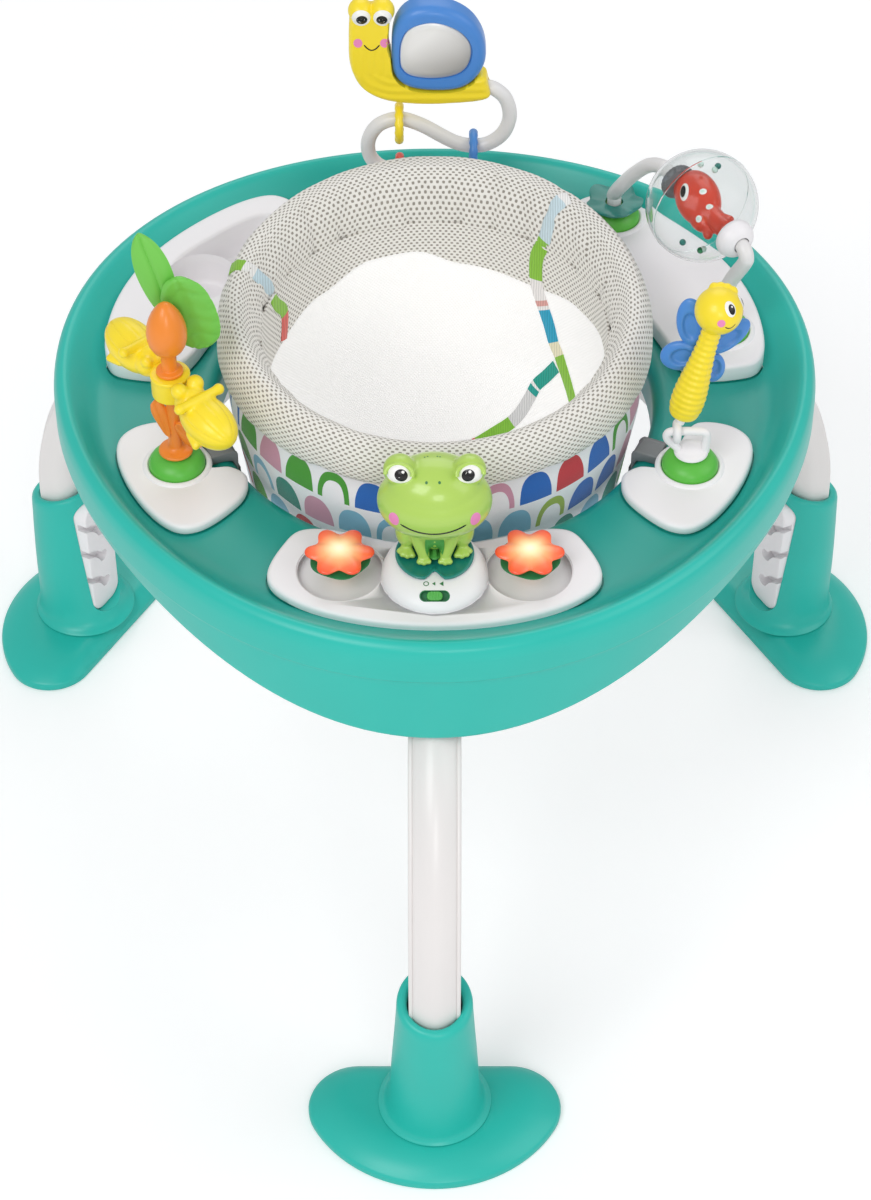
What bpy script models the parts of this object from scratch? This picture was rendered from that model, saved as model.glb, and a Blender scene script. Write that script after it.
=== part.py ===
"""Baby activity jumper: a three-legged play tray with a bouncing fabric seat and toys.

Metres, +Z up, the front of the toy towards -Y. Every piece is modelled about the tray's
upright axis. The assembly empty then moves that axis so that the world origin lies on the
floor at the middle of the whole footprint.
"""

import math

import bmesh
import bpy
from mathutils import Matrix, Vector

# Clearances
SEAT_GAP = 0.0003
RUNNING_GAP = 0.0004

# Tray
TRAY_WALL = 0.003
HOLE_RADIUS = 0.177
HOLE_WALL_DEPTH = 0.037
LIP_WIDTH = 0.010
DISH_HEIGHT = 0.457
DISH_FLAT_RADIUS = 0.268
RIM_RADIUS = 0.300
RIM_RISE = 0.025
RIM_HEIGHT = DISH_HEIGHT + RIM_RISE
RIM_LOBE = 0.0075
SHOULDER = 0.009
CREASE_DROP = 0.037
SKIRT_DROP = 0.040
SKIRT_EDGE_HEIGHT = RIM_HEIGHT - CREASE_DROP - SKIRT_DROP
SKIRT_WAVE = 0.025
TRAY_SEGMENTS = 40

# Underframe with its three leg sockets
FRAME_THICKNESS = 0.012
FRAME_DROP = 0.017
FRAME_TOP_HEIGHT = DISH_HEIGHT - FRAME_DROP
FRAME_OUTER_RADIUS = 0.226
SOCKET_WIDTH = 0.058
SOCKET_INNER_RADIUS = 0.214
SOCKET_OUTER_RADIUS = 0.272
SOCKET_DEPTH = 0.096
SOCKET_BOTTOM_HEIGHT = FRAME_TOP_HEIGHT - SOCKET_DEPTH
BOSS_RADIUS = 0.009
BOSS_RING_RADIUS = 0.206

# Legs, boots and feet
LEG_AZIMUTHS = {"front": -90.0, "right": 30.0, "left": 150.0}
LEG_WIDTH = 0.041
LEG_DEPTH = 0.043
LEG_STAND_RADIUS = 0.3965
LEG_BOTTOM_HEIGHT = 0.040
LEG_BEND_HEIGHT = 0.170
LEG_TOP_RADIUS = 0.262
LEG_TOP_DROP = 0.066
LEG_TOP_HEIGHT = FRAME_TOP_HEIGHT - LEG_TOP_DROP
LEG_TAIL = 0.044
BOOT_TOP_RADIUS = 0.0305
BOOT_WAIST_RADIUS = 0.0365
BOOT_FLANGE_RADIUS = 0.0465
BOOT_FLANGE_CENTRE = 0.386
BOOT_TOP_HEIGHT = 0.169
BOOT_TOP_SLOPE = 0.31
PANEL_WIDTH = 0.040
PANEL_BOTTOM_HEIGHT = 0.034
PANEL_TOP_HEIGHT = 0.166
PANEL_GAP = 0.0005
PANEL_DEPTH = 0.015
PANEL_BACK_RADIUS = LEG_STAND_RADIUS - LEG_DEPTH / 2 - PANEL_GAP
PANEL_FACE_RADIUS = PANEL_BACK_RADIUS - PANEL_DEPTH
SLOT_PITCH = 0.033
SLOT_FIRST_HEIGHT = 0.062
SLOT_POCKET = 0.013
SLOT_RAMP = 0.007
SLOT_DEPTH = 0.010
FOOT_HEIGHT = 0.020
FOOT_ARC_RADIUS = 0.114
FOOT_ARC_CENTRE = 0.346
FOOT_CORNER_RADIUS = 0.040

# Pods that hold the toys
POD_RISE = 0.009
POD_TOP_HEIGHT = DISH_HEIGHT + POD_RISE
REAR_POD_RISE = 0.0165
REAR_POD_TOP_HEIGHT = DISH_HEIGHT + REAR_POD_RISE
POD_EDGE = 0.003
TUB_FLOOR_DROP = 0.0135
TUB_FLOOR_HEIGHT = DISH_HEIGHT - TUB_FLOOR_DROP
TUB_WALL = 0.003
CUP_RADIUS = 0.0285
CUP_RING_RADIUS = 0.2335
CUP_AZIMUTH = 146.8
DOME_RADIUS = 0.0224
DOME_HEIGHT = 0.0145

# Pod outlines as (radius, azimuth) corners
TOY_POD = [(0.2655, -9), (0.2655, 9), (0.247, 14.8), (0.203, 14.2), (0.184, 9.5), (0.1875, 4.5),
           (0.2035, 1.5), (0.2065, -7), (0.215, -15), (0.247, -15.2)]
TOY_POD_AZIMUTH = 27.5
REAR_POD = [(0.277, -18), (0.277, 18), (0.262, 23.5), (0.217, 23), (0.2065, 12), (0.2065, -12),
            (0.217, -23), (0.262, -23.5)]
SIDE_POD = [(0.283, -25), (0.2865, -13), (0.2865, 3), (0.279, 17), (0.268, 26.5), (0.247, 29),
            (0.214, 28.5), (0.197, 21), (0.1915, 2), (0.197, -20), (0.212, -28.5), (0.242, -30.5),
            (0.270, -29.3)]
SIDE_POD_AZIMUTH = 32.0
CONSOLE = [(0.269, -24), (0.2735, -12), (0.2735, 12), (0.269, 24), (0.255, 30), (0.222, 32),
           (0.198, 31), (0.186, 23), (0.186, 8), (0.186, -8), (0.186, -23), (0.198, -31),
           (0.222, -32), (0.255, -30)]
TUB_CORNERS = [(0.2655, 124), (0.2655, 140), (0.2655, 158), (0.252, 163.5), (0.215, 163.5),
               (0.1985, 156), (0.1985, 140), (0.1985, 126), (0.212, 119.5), (0.252, 119.5)]
POCKET_CORNERS = [(0.257, 126), (0.260, 136), (0.260, 147), (0.232, 152), (0.2045, 147),
                  (0.2045, 136), (0.2045, 128), (0.214, 123), (0.243, 123)]

# Console with the flowers, the frog and the switch
CONSOLE_Y = -0.2215
FROG_Y = -0.2125
CONSOLE_DOME_RADIUS = 0.041
CONSOLE_DOME_HEIGHT = 0.013
FLOWER_X = 0.0720
FLOWER_Y = -0.2155
FLOWER_RADIUS = 0.0265
COLLAR_RADIUS = 0.0325
COLLAR_HEIGHT = 0.0105
BUTTON_STEM_RADIUS = 0.009
BUTTON_TRAVEL = 0.003
SWITCH_Y = -0.2525
SWITCH_RISE = 0.0085
SWITCH_HEIGHT = POD_TOP_HEIGHT + SWITCH_RISE
SWITCH_TILT = 38.0
SWITCH_SLOT_LENGTH = 0.022
SWITCH_KNOB_LENGTH = 0.012
SWITCH_KNOB_WIDTH = 0.007

# Palm toy
PALM_RING_RADIUS = 0.225
PALM_AZIMUTH = -154.4
PALM_STEM_RADIUS = 0.0052
SPINNER_RISE = 0.0786
SPINNER_BOTTOM_HEIGHT = POD_TOP_HEIGHT + SPINNER_RISE
SPINNER_HEIGHT = 0.0218
SPINNER_RADIUS = 0.015
BUG_REACH = 0.046
BUG_LENGTH = 0.062
BUG_WIDTH = 0.038
BUG_AZIMUTH = -50.0
BULB_RADIUS = 0.0157
BULB_RISE = 0.115
BULB_BOTTOM_HEIGHT = POD_TOP_HEIGHT + BULB_RISE
BULB_LENGTH = 0.052

# Dragonfly toy
DRAGONFLY_X = 0.201
DRAGONFLY_Y = -0.099
HOOK_HEIGHT = 0.0215
HOOK_BAR_RADIUS = 0.0030
HOOK_LEFT_REACH = 0.019
HOOK_RIGHT_REACH = 0.011
HOOK_FOOT_REACH = 0.0105
LINK_WIRE_RADIUS = 0.0032
DRAGONFLY_LEAN = 7.7
DRAGONFLY_SIDE_LEAN = 13.4
DRAGONFLY_TAIL = 0.014
DRAGONFLY_LENGTH = 0.088
DRAGONFLY_HEAD_RADIUS = 0.0185
WING_SPAN = 0.031
WING_THICKNESS = 0.008

# Fish ball toy
FISH_REAR_X = 0.153
FISH_REAR_Y = 0.207
FISH_FRONT_X = 0.236
FISH_FRONT_Y = 0.058
TOY_TUBE_RADIUS = 0.0062
BALL_AXIS_RISE = 0.100
BALL_AXIS_HEIGHT = REAR_POD_TOP_HEIGHT + BALL_AXIS_RISE
BALL_ALONG = 0.129
BALL_RADIUS = 0.0457
BALL_WALL = 0.0018
HUB_RADIUS = 0.0155
LEAF_DISC_RADIUS = 0.024

# Snail toy
SNAIL_Y = 0.240
SNAIL_TAIL_X = 0.034
SNAIL_TAIL_HEIGHT = 0.586
SNAIL_THICKNESS = 0.024
SHELL_THICKNESS = 0.026
MIRROR_WIDTH = 0.062
MIRROR_TALL = 0.056
MIRROR_THICKNESS = 0.002
TAIL_BORE_GAP = 0.0009
RING_RADIUS = 0.0145
RING_WIRE_RADIUS = 0.0035

SNAIL_BODY = [(0.0440, 0.5790), (0.0445, 0.5935), (0.0400, 0.6010), (0.0200, 0.6000), (-0.0200, 0.6100),
              (-0.0370, 0.6250), (-0.0370, 0.6630), (-0.0450, 0.6705), (-0.0525, 0.6650), (-0.0600, 0.6705),
              (-0.0690, 0.6620), (-0.0710, 0.6350), (-0.0700, 0.6120), (-0.0620, 0.5920), (-0.0450, 0.5790),
              (-0.0200, 0.5745), (0.0100, 0.5745)]
SNAIL_SHELL = [(0.0120, 0.5880), (0.0310, 0.5960), (0.0420, 0.6160), (0.0400, 0.6400), (0.0270, 0.6600),
               (0.0030, 0.6710), (-0.0200, 0.6680), (-0.0330, 0.6520), (-0.0360, 0.6250), (-0.0330, 0.6020),
               (-0.0180, 0.5900)]

# Seat
SEAT_ROLL_RADIUS = 0.172
SEAT_ROLL_INNER_RADIUS = 0.139
HOOP_RISE = 0.048
HOOP_TOP_HEIGHT = DISH_HEIGHT + HOOP_RISE
SEAT_ROLL_BACK_RISE = 0.072
SEAT_ROLL_BACK_HEIGHT = HOOP_TOP_HEIGHT + SEAT_ROLL_BACK_RISE
SEAT_ROLL_FRONT_RISE = 0.038
SEAT_ROLL_FRONT_HEIGHT = HOOP_TOP_HEIGHT + SEAT_ROLL_FRONT_RISE
HOOP_HEIGHT = 0.011
HOOP_INNER_RADIUS = 0.1415
HOOP_OUTER_RADIUS = 0.1640
SKIRT_CLOTH = 0.0025
SKIRT_FALL = 0.170
SKIRT_HEM_HEIGHT = HOOP_TOP_HEIGHT - SKIRT_FALL
SKIRT_HEM_RADIUS = 0.1505
SLING_DEPTH = 0.243
SLING_BOTTOM_HEIGHT = HOOP_TOP_HEIGHT - SLING_DEPTH
LEG_OPENING_RADIUS = 0.050
LEG_OPENING_AZIMUTHS = (-142.0, -38.0)
STRAP_AZIMUTHS = {"left": -156.0, "right": -24.0, "rear": 90.0}
STRAP_WIDTH = 0.020
STRAP_THICKNESS = 0.0015
CLIP_LENGTH = 0.022
CLIP_HEIGHT = 0.009

# Faces round the turned shapes
LEG_SIDES = 12
BOOT_SIDES = 16
SEAT_SEGMENTS = 30
BULB_SIDES = 10

# Colours, roughness
TEAL = ("teal moulding", "2DBBAD", 0.35)
WHITE = ("white moulding", "F1EDEF", 0.40)
LEG_WHITE = ("white tube", "E6E2E0", 0.35)
GREY = ("grey moulding", "6F7173", 0.50)
GREEN = ("green moulding", "62B84E", 0.40)
LILY_GREEN = ("dark green moulding", "1F8A7C", 0.40)
FROG_GREEN = ("frog green moulding", "B4D66A", 0.40)
ORANGE = ("orange moulding", "F08A2C", 0.40)
YELLOW = ("yellow moulding", "FFE030", 0.40)
BLUE = ("blue moulding", "3D7CC4", 0.40)
RED = ("red moulding", "D8432F", 0.40)
FLOWER = ("flower moulding", "F26A3C", 0.35)
MESH = ("mesh fabric", "D5D2CB", 0.90)
PRINT = ("printed fabric", "F0EDE8", 0.85)
CLOTH = ("white fabric", "F4F2EE", 0.85)
ELASTIC = ("elastic webbing", "8A8C8E", 0.90)
CLEAR = ("clear moulding", "E8F4F6", 0.05)
MIRROR = ("mirror film", "DADDE0", 0.08)


def polar(radius, azimuth, height=0.0):
    angle = math.radians(azimuth)
    return Vector((radius * math.cos(angle), radius * math.sin(angle), height))


def material(finish):
    name, colour, roughness = finish
    if name in bpy.data.materials:
        return bpy.data.materials[name]
    made = bpy.data.materials.new(name)
    made.use_nodes = True
    shader = made.node_tree.nodes["Principled BSDF"]
    srgb = [int(colour[i:i + 2], 16) / 255 for i in (0, 2, 4)]
    linear = [c / 12.92 if c <= 0.04045 else ((c + 0.055) / 1.055) ** 2.4 for c in srgb]
    shader.inputs["Base Color"].default_value = (*linear, 1.0)
    shader.inputs["Roughness"].default_value = roughness
    shader.inputs["Metallic"].default_value = 1.0 if finish is MIRROR else 0.0
    shader.inputs["Alpha"].default_value = 0.35 if finish is CLEAR else 1.0
    made.diffuse_color = (*linear, 1.0)
    return made


def add_object(name, data, finish, parent, group="parts"):
    made = bpy.data.objects.new(name, data)
    bpy.data.collections[COLLECTIONS[group]].objects.link(made)
    made.parent = parent
    if finish:
        data.materials.append(material(finish))
    return made


def add_piece(name, shape, finish, parent=None, smooth=40.0, group="parts"):
    """Turns a bmesh into a named piece with its faces pointing outwards."""
    bmesh.ops.recalc_face_normals(shape, faces=shape.faces)
    data = bpy.data.meshes.new(name)
    shape.to_mesh(data)
    shape.free()
    data.shade_smooth()
    data.set_sharp_from_angle(angle=math.radians(smooth))
    return add_object(name, data, finish, parent or stand, group)


def add_cutter(name, shape, parent=None):
    made = add_piece(name, shape, None, parent, group="cutters")
    made.hide_render = True
    made.display_type = "WIRE"
    return made


def combine(target, operand, operation):
    step = target.modifiers.new(operand.name, "BOOLEAN")
    step.operation = operation
    step.object = operand


def cut(target, shape):
    name = f"{target.name}_cut_{len(target.modifiers)}"
    combine(target, add_cutter(name, shape, target.parent), "DIFFERENCE")


def unite(target, shape):
    name = f"{target.name}_add_{len(target.modifiers)}"
    combine(target, add_cutter(name, shape, target.parent), "UNION")


def set_origin(piece, point):
    """Moves a piece's own origin to a point of the stand's frame, with its shape in place."""
    offset = Vector(point) - piece.location
    piece.data.transform(Matrix.Translation(-offset))
    piece.location = piece.location + offset


def loft(rings, closed=False):
    """Skins rings of points that hold the same count. Unless closed, the ends are filled."""
    shape = bmesh.new()
    rows = [[shape.verts.new(point) for point in ring] for ring in rings]
    pairs = list(zip(rows, rows[1:]))
    if closed:
        pairs.append((rows[-1], rows[0]))
    for lower, upper in pairs:
        for i in range(len(lower)):
            j = (i + 1) % len(lower)
            shape.faces.new((lower[i], lower[j], upper[j], upper[i]))
    if not closed:
        shape.faces.new(rows[0])
        shape.faces.new(rows[-1])
    return shape


def turned(profile, segments, centre=(0.0, 0.0, 0.0), closed=False):
    """Spins a profile of (radius, height) points about an upright axis through centre."""
    shape = bmesh.new()
    corners = [shape.verts.new((radius, 0.0, height)) for radius, height in profile]
    edges = [shape.edges.new(pair) for pair in zip(corners, corners[1:])]
    if closed:
        edges.append(shape.edges.new((corners[-1], corners[0])))
    bmesh.ops.spin(shape, geom=corners + edges, cent=(0, 0, 0), axis=(0, 0, 1),
                   angle=2 * math.pi, steps=segments, use_merge=True)
    bmesh.ops.remove_doubles(shape, verts=shape.verts, dist=1e-6)
    bmesh.ops.translate(shape, verts=shape.verts, vec=centre)
    return shape


def ball(radius, centre, scale=(1, 1, 1), turn=None, rings=6, segments=10):
    """A sphere, stretched and turned into an ellipsoid."""
    shape = bmesh.new()
    bmesh.ops.create_uvsphere(shape, u_segments=segments, v_segments=rings, radius=radius)
    spin = turn.to_4x4() if turn else Matrix()
    placing = Matrix.Translation(centre) @ spin @ Matrix.Diagonal((*scale, 1))
    bmesh.ops.transform(shape, matrix=placing, verts=shape.verts)
    return shape


def rod(start, end, radius, segments=12, end_radius=None):
    """A straight cylinder or cone between two points."""
    start, end = Vector(start), Vector(end)
    shape = bmesh.new()
    length = (end - start).length
    bmesh.ops.create_cone(shape, cap_ends=True, segments=segments, radius1=radius,
                          radius2=radius if end_radius is None else end_radius, depth=length)
    turn = Vector((0, 0, 1)).rotation_difference(end - start).to_matrix().to_4x4()
    placing = Matrix.Translation((start + end) / 2) @ turn
    bmesh.ops.transform(shape, matrix=placing, verts=shape.verts)
    return shape


def block(size, centre, turn=None):
    shape = bmesh.new()
    bmesh.ops.create_cube(shape, size=1.0)
    spin = turn.to_4x4() if turn else Matrix()
    placing = Matrix.Translation(centre) @ spin @ Matrix.Diagonal((*size, 1))
    bmesh.ops.transform(shape, matrix=placing, verts=shape.verts)
    return shape


def torus(ring_radius, wire_radius, centre, axis, segments=16, sides=6):
    """A closed round ring of wire about an axis."""
    profile = []
    for i in range(sides):
        angle = 2 * math.pi * i / sides
        profile.append((ring_radius + wire_radius * math.cos(angle), wire_radius * math.sin(angle)))
    shape = turned(profile, segments, closed=True)
    turn = Vector((0, 0, 1)).rotation_difference(Vector(axis)).to_matrix().to_4x4()
    bmesh.ops.transform(shape, matrix=Matrix.Translation(centre) @ turn, verts=shape.verts)
    return shape


def prism(outline, low, high, placing=None):
    """A flat outline of (x, y) points, raised from low to high."""
    shape = loft([[Vector((x, y, z)) for x, y in outline] for z in (low, high)])
    if placing:
        bmesh.ops.transform(shape, matrix=placing, verts=shape.verts)
    return shape


def smooth_loop(corners, steps):
    """A closed Catmull-Rom curve through its corners, with steps points for each."""
    points = []
    count = len(corners)
    for i in range(count):
        a, b, c, d = (Vector(corners[(i + k) % count]) for k in (-1, 0, 1, 2))
        for step in range(steps):
            t = step / steps
            points.append(0.5 * (2 * b + (c - a) * t + (2 * a - 5 * b + 4 * c - d) * t * t
                                 + (3 * b - a - 3 * c + d) * t ** 3))
    return points


def smooth_path(corners, steps):
    """An open Catmull-Rom curve that starts and ends on its outer corners."""
    first = 2 * Vector(corners[0]) - Vector(corners[1])
    last = 2 * Vector(corners[-1]) - Vector(corners[-2])
    knots = [first] + [Vector(c) for c in corners] + [last]
    points = []
    for a, b, c, d in zip(knots, knots[1:], knots[2:], knots[3:]):
        for step in range(steps):
            t = step / steps
            points.append(0.5 * (2 * b + (c - a) * t + (2 * a - 5 * b + 4 * c - d) * t * t
                                 + (3 * b - a - 3 * c + d) * t ** 3))
    return points + [Vector(corners[-1])]


def tube(name, points, radius, finish, sides=1):
    """A round tube along points, as a curve with a bevel and filled ends."""
    data = bpy.data.curves.new(name, "CURVE")
    data.dimensions = "3D"
    data.bevel_depth = radius
    data.bevel_resolution = sides
    data.use_fill_caps = True
    spline = data.splines.new("POLY")
    spline.points.add(len(points) - 1)
    for knot, point in zip(spline.points, points):
        knot.co = (*point, 1.0)
    return add_object(name, data, finish, stand)


def wave(azimuth):
    """Three lobes round the tray: 1 over each leg and -1 midway between two legs."""
    return math.cos(3 * math.radians(azimuth - LEG_AZIMUTHS["front"]))


def tray_profile():
    """The tray's wall in section: the outer skin from the hole to the skirt, then the inner."""
    shoulder = RIM_RADIUS + SHOULDER
    crease = RIM_HEIGHT - CREASE_DROP
    cove = RIM_RADIUS - DISH_FLAT_RADIUS
    rise = RIM_HEIGHT - DISH_HEIGHT
    outer = [
        (HOLE_RADIUS, DISH_HEIGHT - HOLE_WALL_DEPTH),
        (HOLE_RADIUS, DISH_HEIGHT - LIP_WIDTH),
        (HOLE_RADIUS + 0.3 * LIP_WIDTH, DISH_HEIGHT - 0.3 * LIP_WIDTH),
        (HOLE_RADIUS + LIP_WIDTH, DISH_HEIGHT),
        (DISH_FLAT_RADIUS, DISH_HEIGHT),
        (DISH_FLAT_RADIUS + 0.38 * cove, DISH_HEIGHT + 0.2 * rise),
        (DISH_FLAT_RADIUS + 0.69 * cove, DISH_HEIGHT + 0.54 * rise),
        (RIM_RADIUS - 0.4 * SHOULDER, RIM_HEIGHT - 0.06 * rise),
        (RIM_RADIUS, RIM_HEIGHT),
        (RIM_RADIUS + 0.6 * SHOULDER, RIM_HEIGHT - 0.4 * SHOULDER),
        (shoulder, RIM_HEIGHT - 1.5 * SHOULDER),
        (shoulder - 0.2 * SHOULDER, crease),
        (shoulder - 0.65 * SHOULDER, SKIRT_EDGE_HEIGHT),
    ]
    inner = []
    for i, (radius, height) in enumerate(outer):
        before = outer[max(i - 1, 0)]
        after = outer[min(i + 1, len(outer) - 1)]
        run = Vector((after[0] - before[0], after[1] - before[1])).normalized()
        side = Vector((run.y, -run.x))
        inner.append((radius + TRAY_WALL * side.x, height + TRAY_WALL * side.y))
    inner[0] = (HOLE_RADIUS + TRAY_WALL, outer[0][1])
    inner[3] = (HOLE_RADIUS + LIP_WIDTH, DISH_HEIGHT - TRAY_WALL)
    inner[4] = (DISH_FLAT_RADIUS, DISH_HEIGHT - TRAY_WALL)
    inner[-1] = (outer[-1][0] - TRAY_WALL, outer[-1][1])
    return outer + inner[::-1]


def lobed(point):
    """Pushes the tray's rim out over the legs and in between them."""
    radius = math.hypot(point.x, point.y)
    azimuth = math.degrees(math.atan2(point.y, point.x))
    share = (radius - DISH_FLAT_RADIUS) / (RIM_RADIUS - DISH_FLAT_RADIUS)
    share = min(max(share, 0.0), 1.0)
    grown = radius + RIM_LOBE * wave(azimuth) * share * share * (3 - 2 * share)
    return grown, azimuth


def make_tray():
    shape = turned(tray_profile(), TRAY_SEGMENTS, closed=True)
    for corner in shape.verts:
        if abs(corner.co.z - SKIRT_EDGE_HEIGHT) < 0.0005 and corner.co.length > RIM_RADIUS:
            azimuth = math.degrees(math.atan2(corner.co.y, corner.co.x))
            corner.co.z -= SKIRT_WAVE * wave(azimuth)
        grown, azimuth = lobed(corner.co)
        corner.co = polar(grown, azimuth, corner.co.z)
    tray = add_piece("tray_top", shape, TEAL)
    opening = [(r, a) for r, a in inset_outline(TUB_CORNERS, -SEAT_GAP)]
    cut(tray, prism(polar_points(opening), FRAME_TOP_HEIGHT, RIM_HEIGHT))


def make_underframe():
    """A ring that sleeves the hole's wall, with the sockets that the legs plug into."""
    inner = HOLE_RADIUS + TRAY_WALL + SEAT_GAP
    low = FRAME_TOP_HEIGHT - FRAME_THICKNESS
    ring = [(inner, low), (FRAME_OUTER_RADIUS, low), (FRAME_OUTER_RADIUS, FRAME_TOP_HEIGHT),
            (inner, FRAME_TOP_HEIGHT)]
    frame = add_piece("tray_underframe", turned(ring, TRAY_SEGMENTS, closed=True), WHITE)
    for azimuth in LEG_AZIMUTHS.values():
        height = FRAME_TOP_HEIGHT - 0.001 - SOCKET_BOTTOM_HEIGHT
        middle = polar((SOCKET_INNER_RADIUS + SOCKET_OUTER_RADIUS) / 2, azimuth,
                       SOCKET_BOTTOM_HEIGHT + height / 2)
        size = (SOCKET_OUTER_RADIUS - SOCKET_INNER_RADIUS, SOCKET_WIDTH, height)
        unite(frame, block(size, middle, Matrix.Rotation(math.radians(azimuth), 3, "Z")))
    for azimuth in LEG_AZIMUTHS.values():
        foot = polar(BOSS_RING_RADIUS, azimuth + 60, FRAME_TOP_HEIGHT - 0.004)
        head = polar(BOSS_RING_RADIUS, azimuth + 60, DISH_HEIGHT - TRAY_WALL - SEAT_GAP)
        unite(frame, rod(foot, head, BOSS_RADIUS))
    for azimuth in LEG_AZIMUTHS.values():
        cut(frame, leg_shape(azimuth, SEAT_GAP))


def leg_route():
    """The leg's centre line in section, as (radius, height), from its foot to its top end."""
    controls = [Vector((LEG_STAND_RADIUS, LEG_BEND_HEIGHT)),
                Vector((LEG_STAND_RADIUS, LEG_BEND_HEIGHT + 0.100)),
                Vector((LEG_TOP_RADIUS + 0.073, LEG_TOP_HEIGHT - 0.022)),
                Vector((LEG_TOP_RADIUS, LEG_TOP_HEIGHT))]
    route = [Vector((LEG_STAND_RADIUS, LEG_BOTTOM_HEIGHT))]
    for i in range(9):
        t = i / 8
        weights = ((1 - t) ** 3, 3 * t * (1 - t) ** 2, 3 * t * t * (1 - t), t ** 3)
        route.append(sum((w * c for w, c in zip(weights, controls)), Vector((0, 0))))
    heading = (controls[3] - controls[2]).normalized()
    route.append(controls[3] + heading * LEG_TAIL)
    return route


def leg_shape(azimuth, growth=0.0):
    """The leg's solid, or the hole that it fits when it is grown all round."""
    route = leg_route()
    route[0] = route[0] - Vector((0, growth))
    route[-1] = route[-1] + (route[-1] - route[-2]).normalized() * growth
    rings = []
    for i, knot in enumerate(route):
        run = (route[min(i + 1, len(route) - 1)] - route[max(i - 1, 0)]).normalized()
        side = Vector((run.y, -run.x))
        ring = []
        for k in range(LEG_SIDES):
            angle = 2 * math.pi * k / LEG_SIDES
            across = (LEG_WIDTH / 2 + growth) * math.sin(angle)
            out = (LEG_DEPTH / 2 + growth) * math.cos(angle)
            place = knot + side * out
            point = Vector((place.x, across, place.y))
            point.rotate(Matrix.Rotation(math.radians(azimuth), 3, "Z"))
            ring.append(point)
        rings.append(ring)
    return loft(rings)


def boot_ring(azimuth, radius, centre, height, slope=0.0):
    ring = []
    for k in range(BOOT_SIDES):
        angle = 2 * math.pi * k / BOOT_SIDES
        out = radius * math.cos(angle)
        point = Vector((centre + out, radius * math.sin(angle), height - slope * out))
        point.rotate(Matrix.Rotation(math.radians(azimuth), 3, "Z"))
        ring.append(point)
    return ring


def boot_shape(azimuth):
    """The boot's outside: a round flange that sweeps up to a slanted mouth."""
    top = LEG_STAND_RADIUS
    foot = BOOT_FLANGE_CENTRE
    return loft([
        boot_ring(azimuth, BOOT_FLANGE_RADIUS, foot, FOOT_HEIGHT + SEAT_GAP),
        boot_ring(azimuth, BOOT_FLANGE_RADIUS, foot, FOOT_HEIGHT + 0.0025),
        boot_ring(azimuth, 0.0405, foot + 0.003, 0.031),
        boot_ring(azimuth, BOOT_WAIST_RADIUS, foot + 0.006, 0.055),
        boot_ring(azimuth, (BOOT_WAIST_RADIUS + BOOT_TOP_RADIUS) / 2, top - 0.002, 0.110),
        boot_ring(azimuth, BOOT_TOP_RADIUS, top, BOOT_TOP_HEIGHT - 0.003, BOOT_TOP_SLOPE),
        boot_ring(azimuth, BOOT_TOP_RADIUS - 0.003, top, BOOT_TOP_HEIGHT, BOOT_TOP_SLOPE),
    ])


def panel_outline(growth):
    """The slot panel's front outline as (across, height), with round ends."""
    half = PANEL_WIDTH / 2 + growth
    low, high = PANEL_BOTTOM_HEIGHT - growth, PANEL_TOP_HEIGHT + growth
    corner = half * 0.7
    points = []
    for centre_x, centre_z, start in ((half - corner, low + corner, -90),
                                      (half - corner, high - corner, 0),
                                      (corner - half, high - corner, 90),
                                      (corner - half, low + corner, 180)):
        for k in range(4):
            angle = math.radians(start + 30 * k)
            points.append((centre_x + corner * math.cos(angle), centre_z + corner * math.sin(angle)))
    return points


def radial_prism(outline, azimuth, inner, outer):
    """Raises an (across, height) outline between two radii on one azimuth."""
    turn = Matrix.Rotation(math.radians(azimuth), 4, "Z")
    shape = loft([[Vector((radius, across, height)) for across, height in outline]
                  for radius in (inner, outer)])
    bmesh.ops.transform(shape, matrix=turn, verts=shape.verts)
    return shape


def slot_outline(height, side):
    """A pocket with a ramp that rises to the panel's edge."""
    half = SLOT_POCKET / 2
    reach = PANEL_WIDTH / 2 + 0.004
    points = [(-half - 0.004, height - half), (half - 0.004, height - half),
              (half + 0.001, height), (reach, height + 0.014), (reach, height + 0.014 + SLOT_RAMP),
              (half - 0.002, height + half + 0.001), (-half - 0.004, height + half)]
    return [(side * across, up) for across, up in points]


def make_leg(place, azimuth):
    side = -1 if place == "right" else 1
    add_piece(f"leg_{place}", leg_shape(azimuth), LEG_WHITE)
    foot_rings = [foot_ring(azimuth, 1.0, 0.0), foot_ring(azimuth, 1.0, 0.3 * FOOT_HEIGHT),
                  foot_ring(azimuth, 0.955, 0.55 * FOOT_HEIGHT),
                  foot_ring(azimuth, 0.75, 0.88 * FOOT_HEIGHT),
                  foot_ring(azimuth, 0.56, FOOT_HEIGHT)]
    add_piece(f"foot_{place}", loft(foot_rings), TEAL)
    boot = add_piece(f"boot_{place}", boot_shape(azimuth), TEAL)
    cut(boot, leg_shape(azimuth, SEAT_GAP))
    cut(boot, radial_prism(panel_outline(SEAT_GAP), azimuth, FOOT_ARC_CENTRE - 0.020,
                           PANEL_BACK_RADIUS + SEAT_GAP))
    panel = add_piece(f"slot_panel_{place}",
                      radial_prism(panel_outline(0.0), azimuth, PANEL_FACE_RADIUS, PANEL_BACK_RADIUS),
                      WHITE)
    for i in range(3):
        outline = slot_outline(SLOT_FIRST_HEIGHT + i * SLOT_PITCH, side)
        cut(panel, radial_prism(outline, azimuth, PANEL_FACE_RADIUS - 0.010,
                                PANEL_FACE_RADIUS + SLOT_DEPTH))


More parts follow.
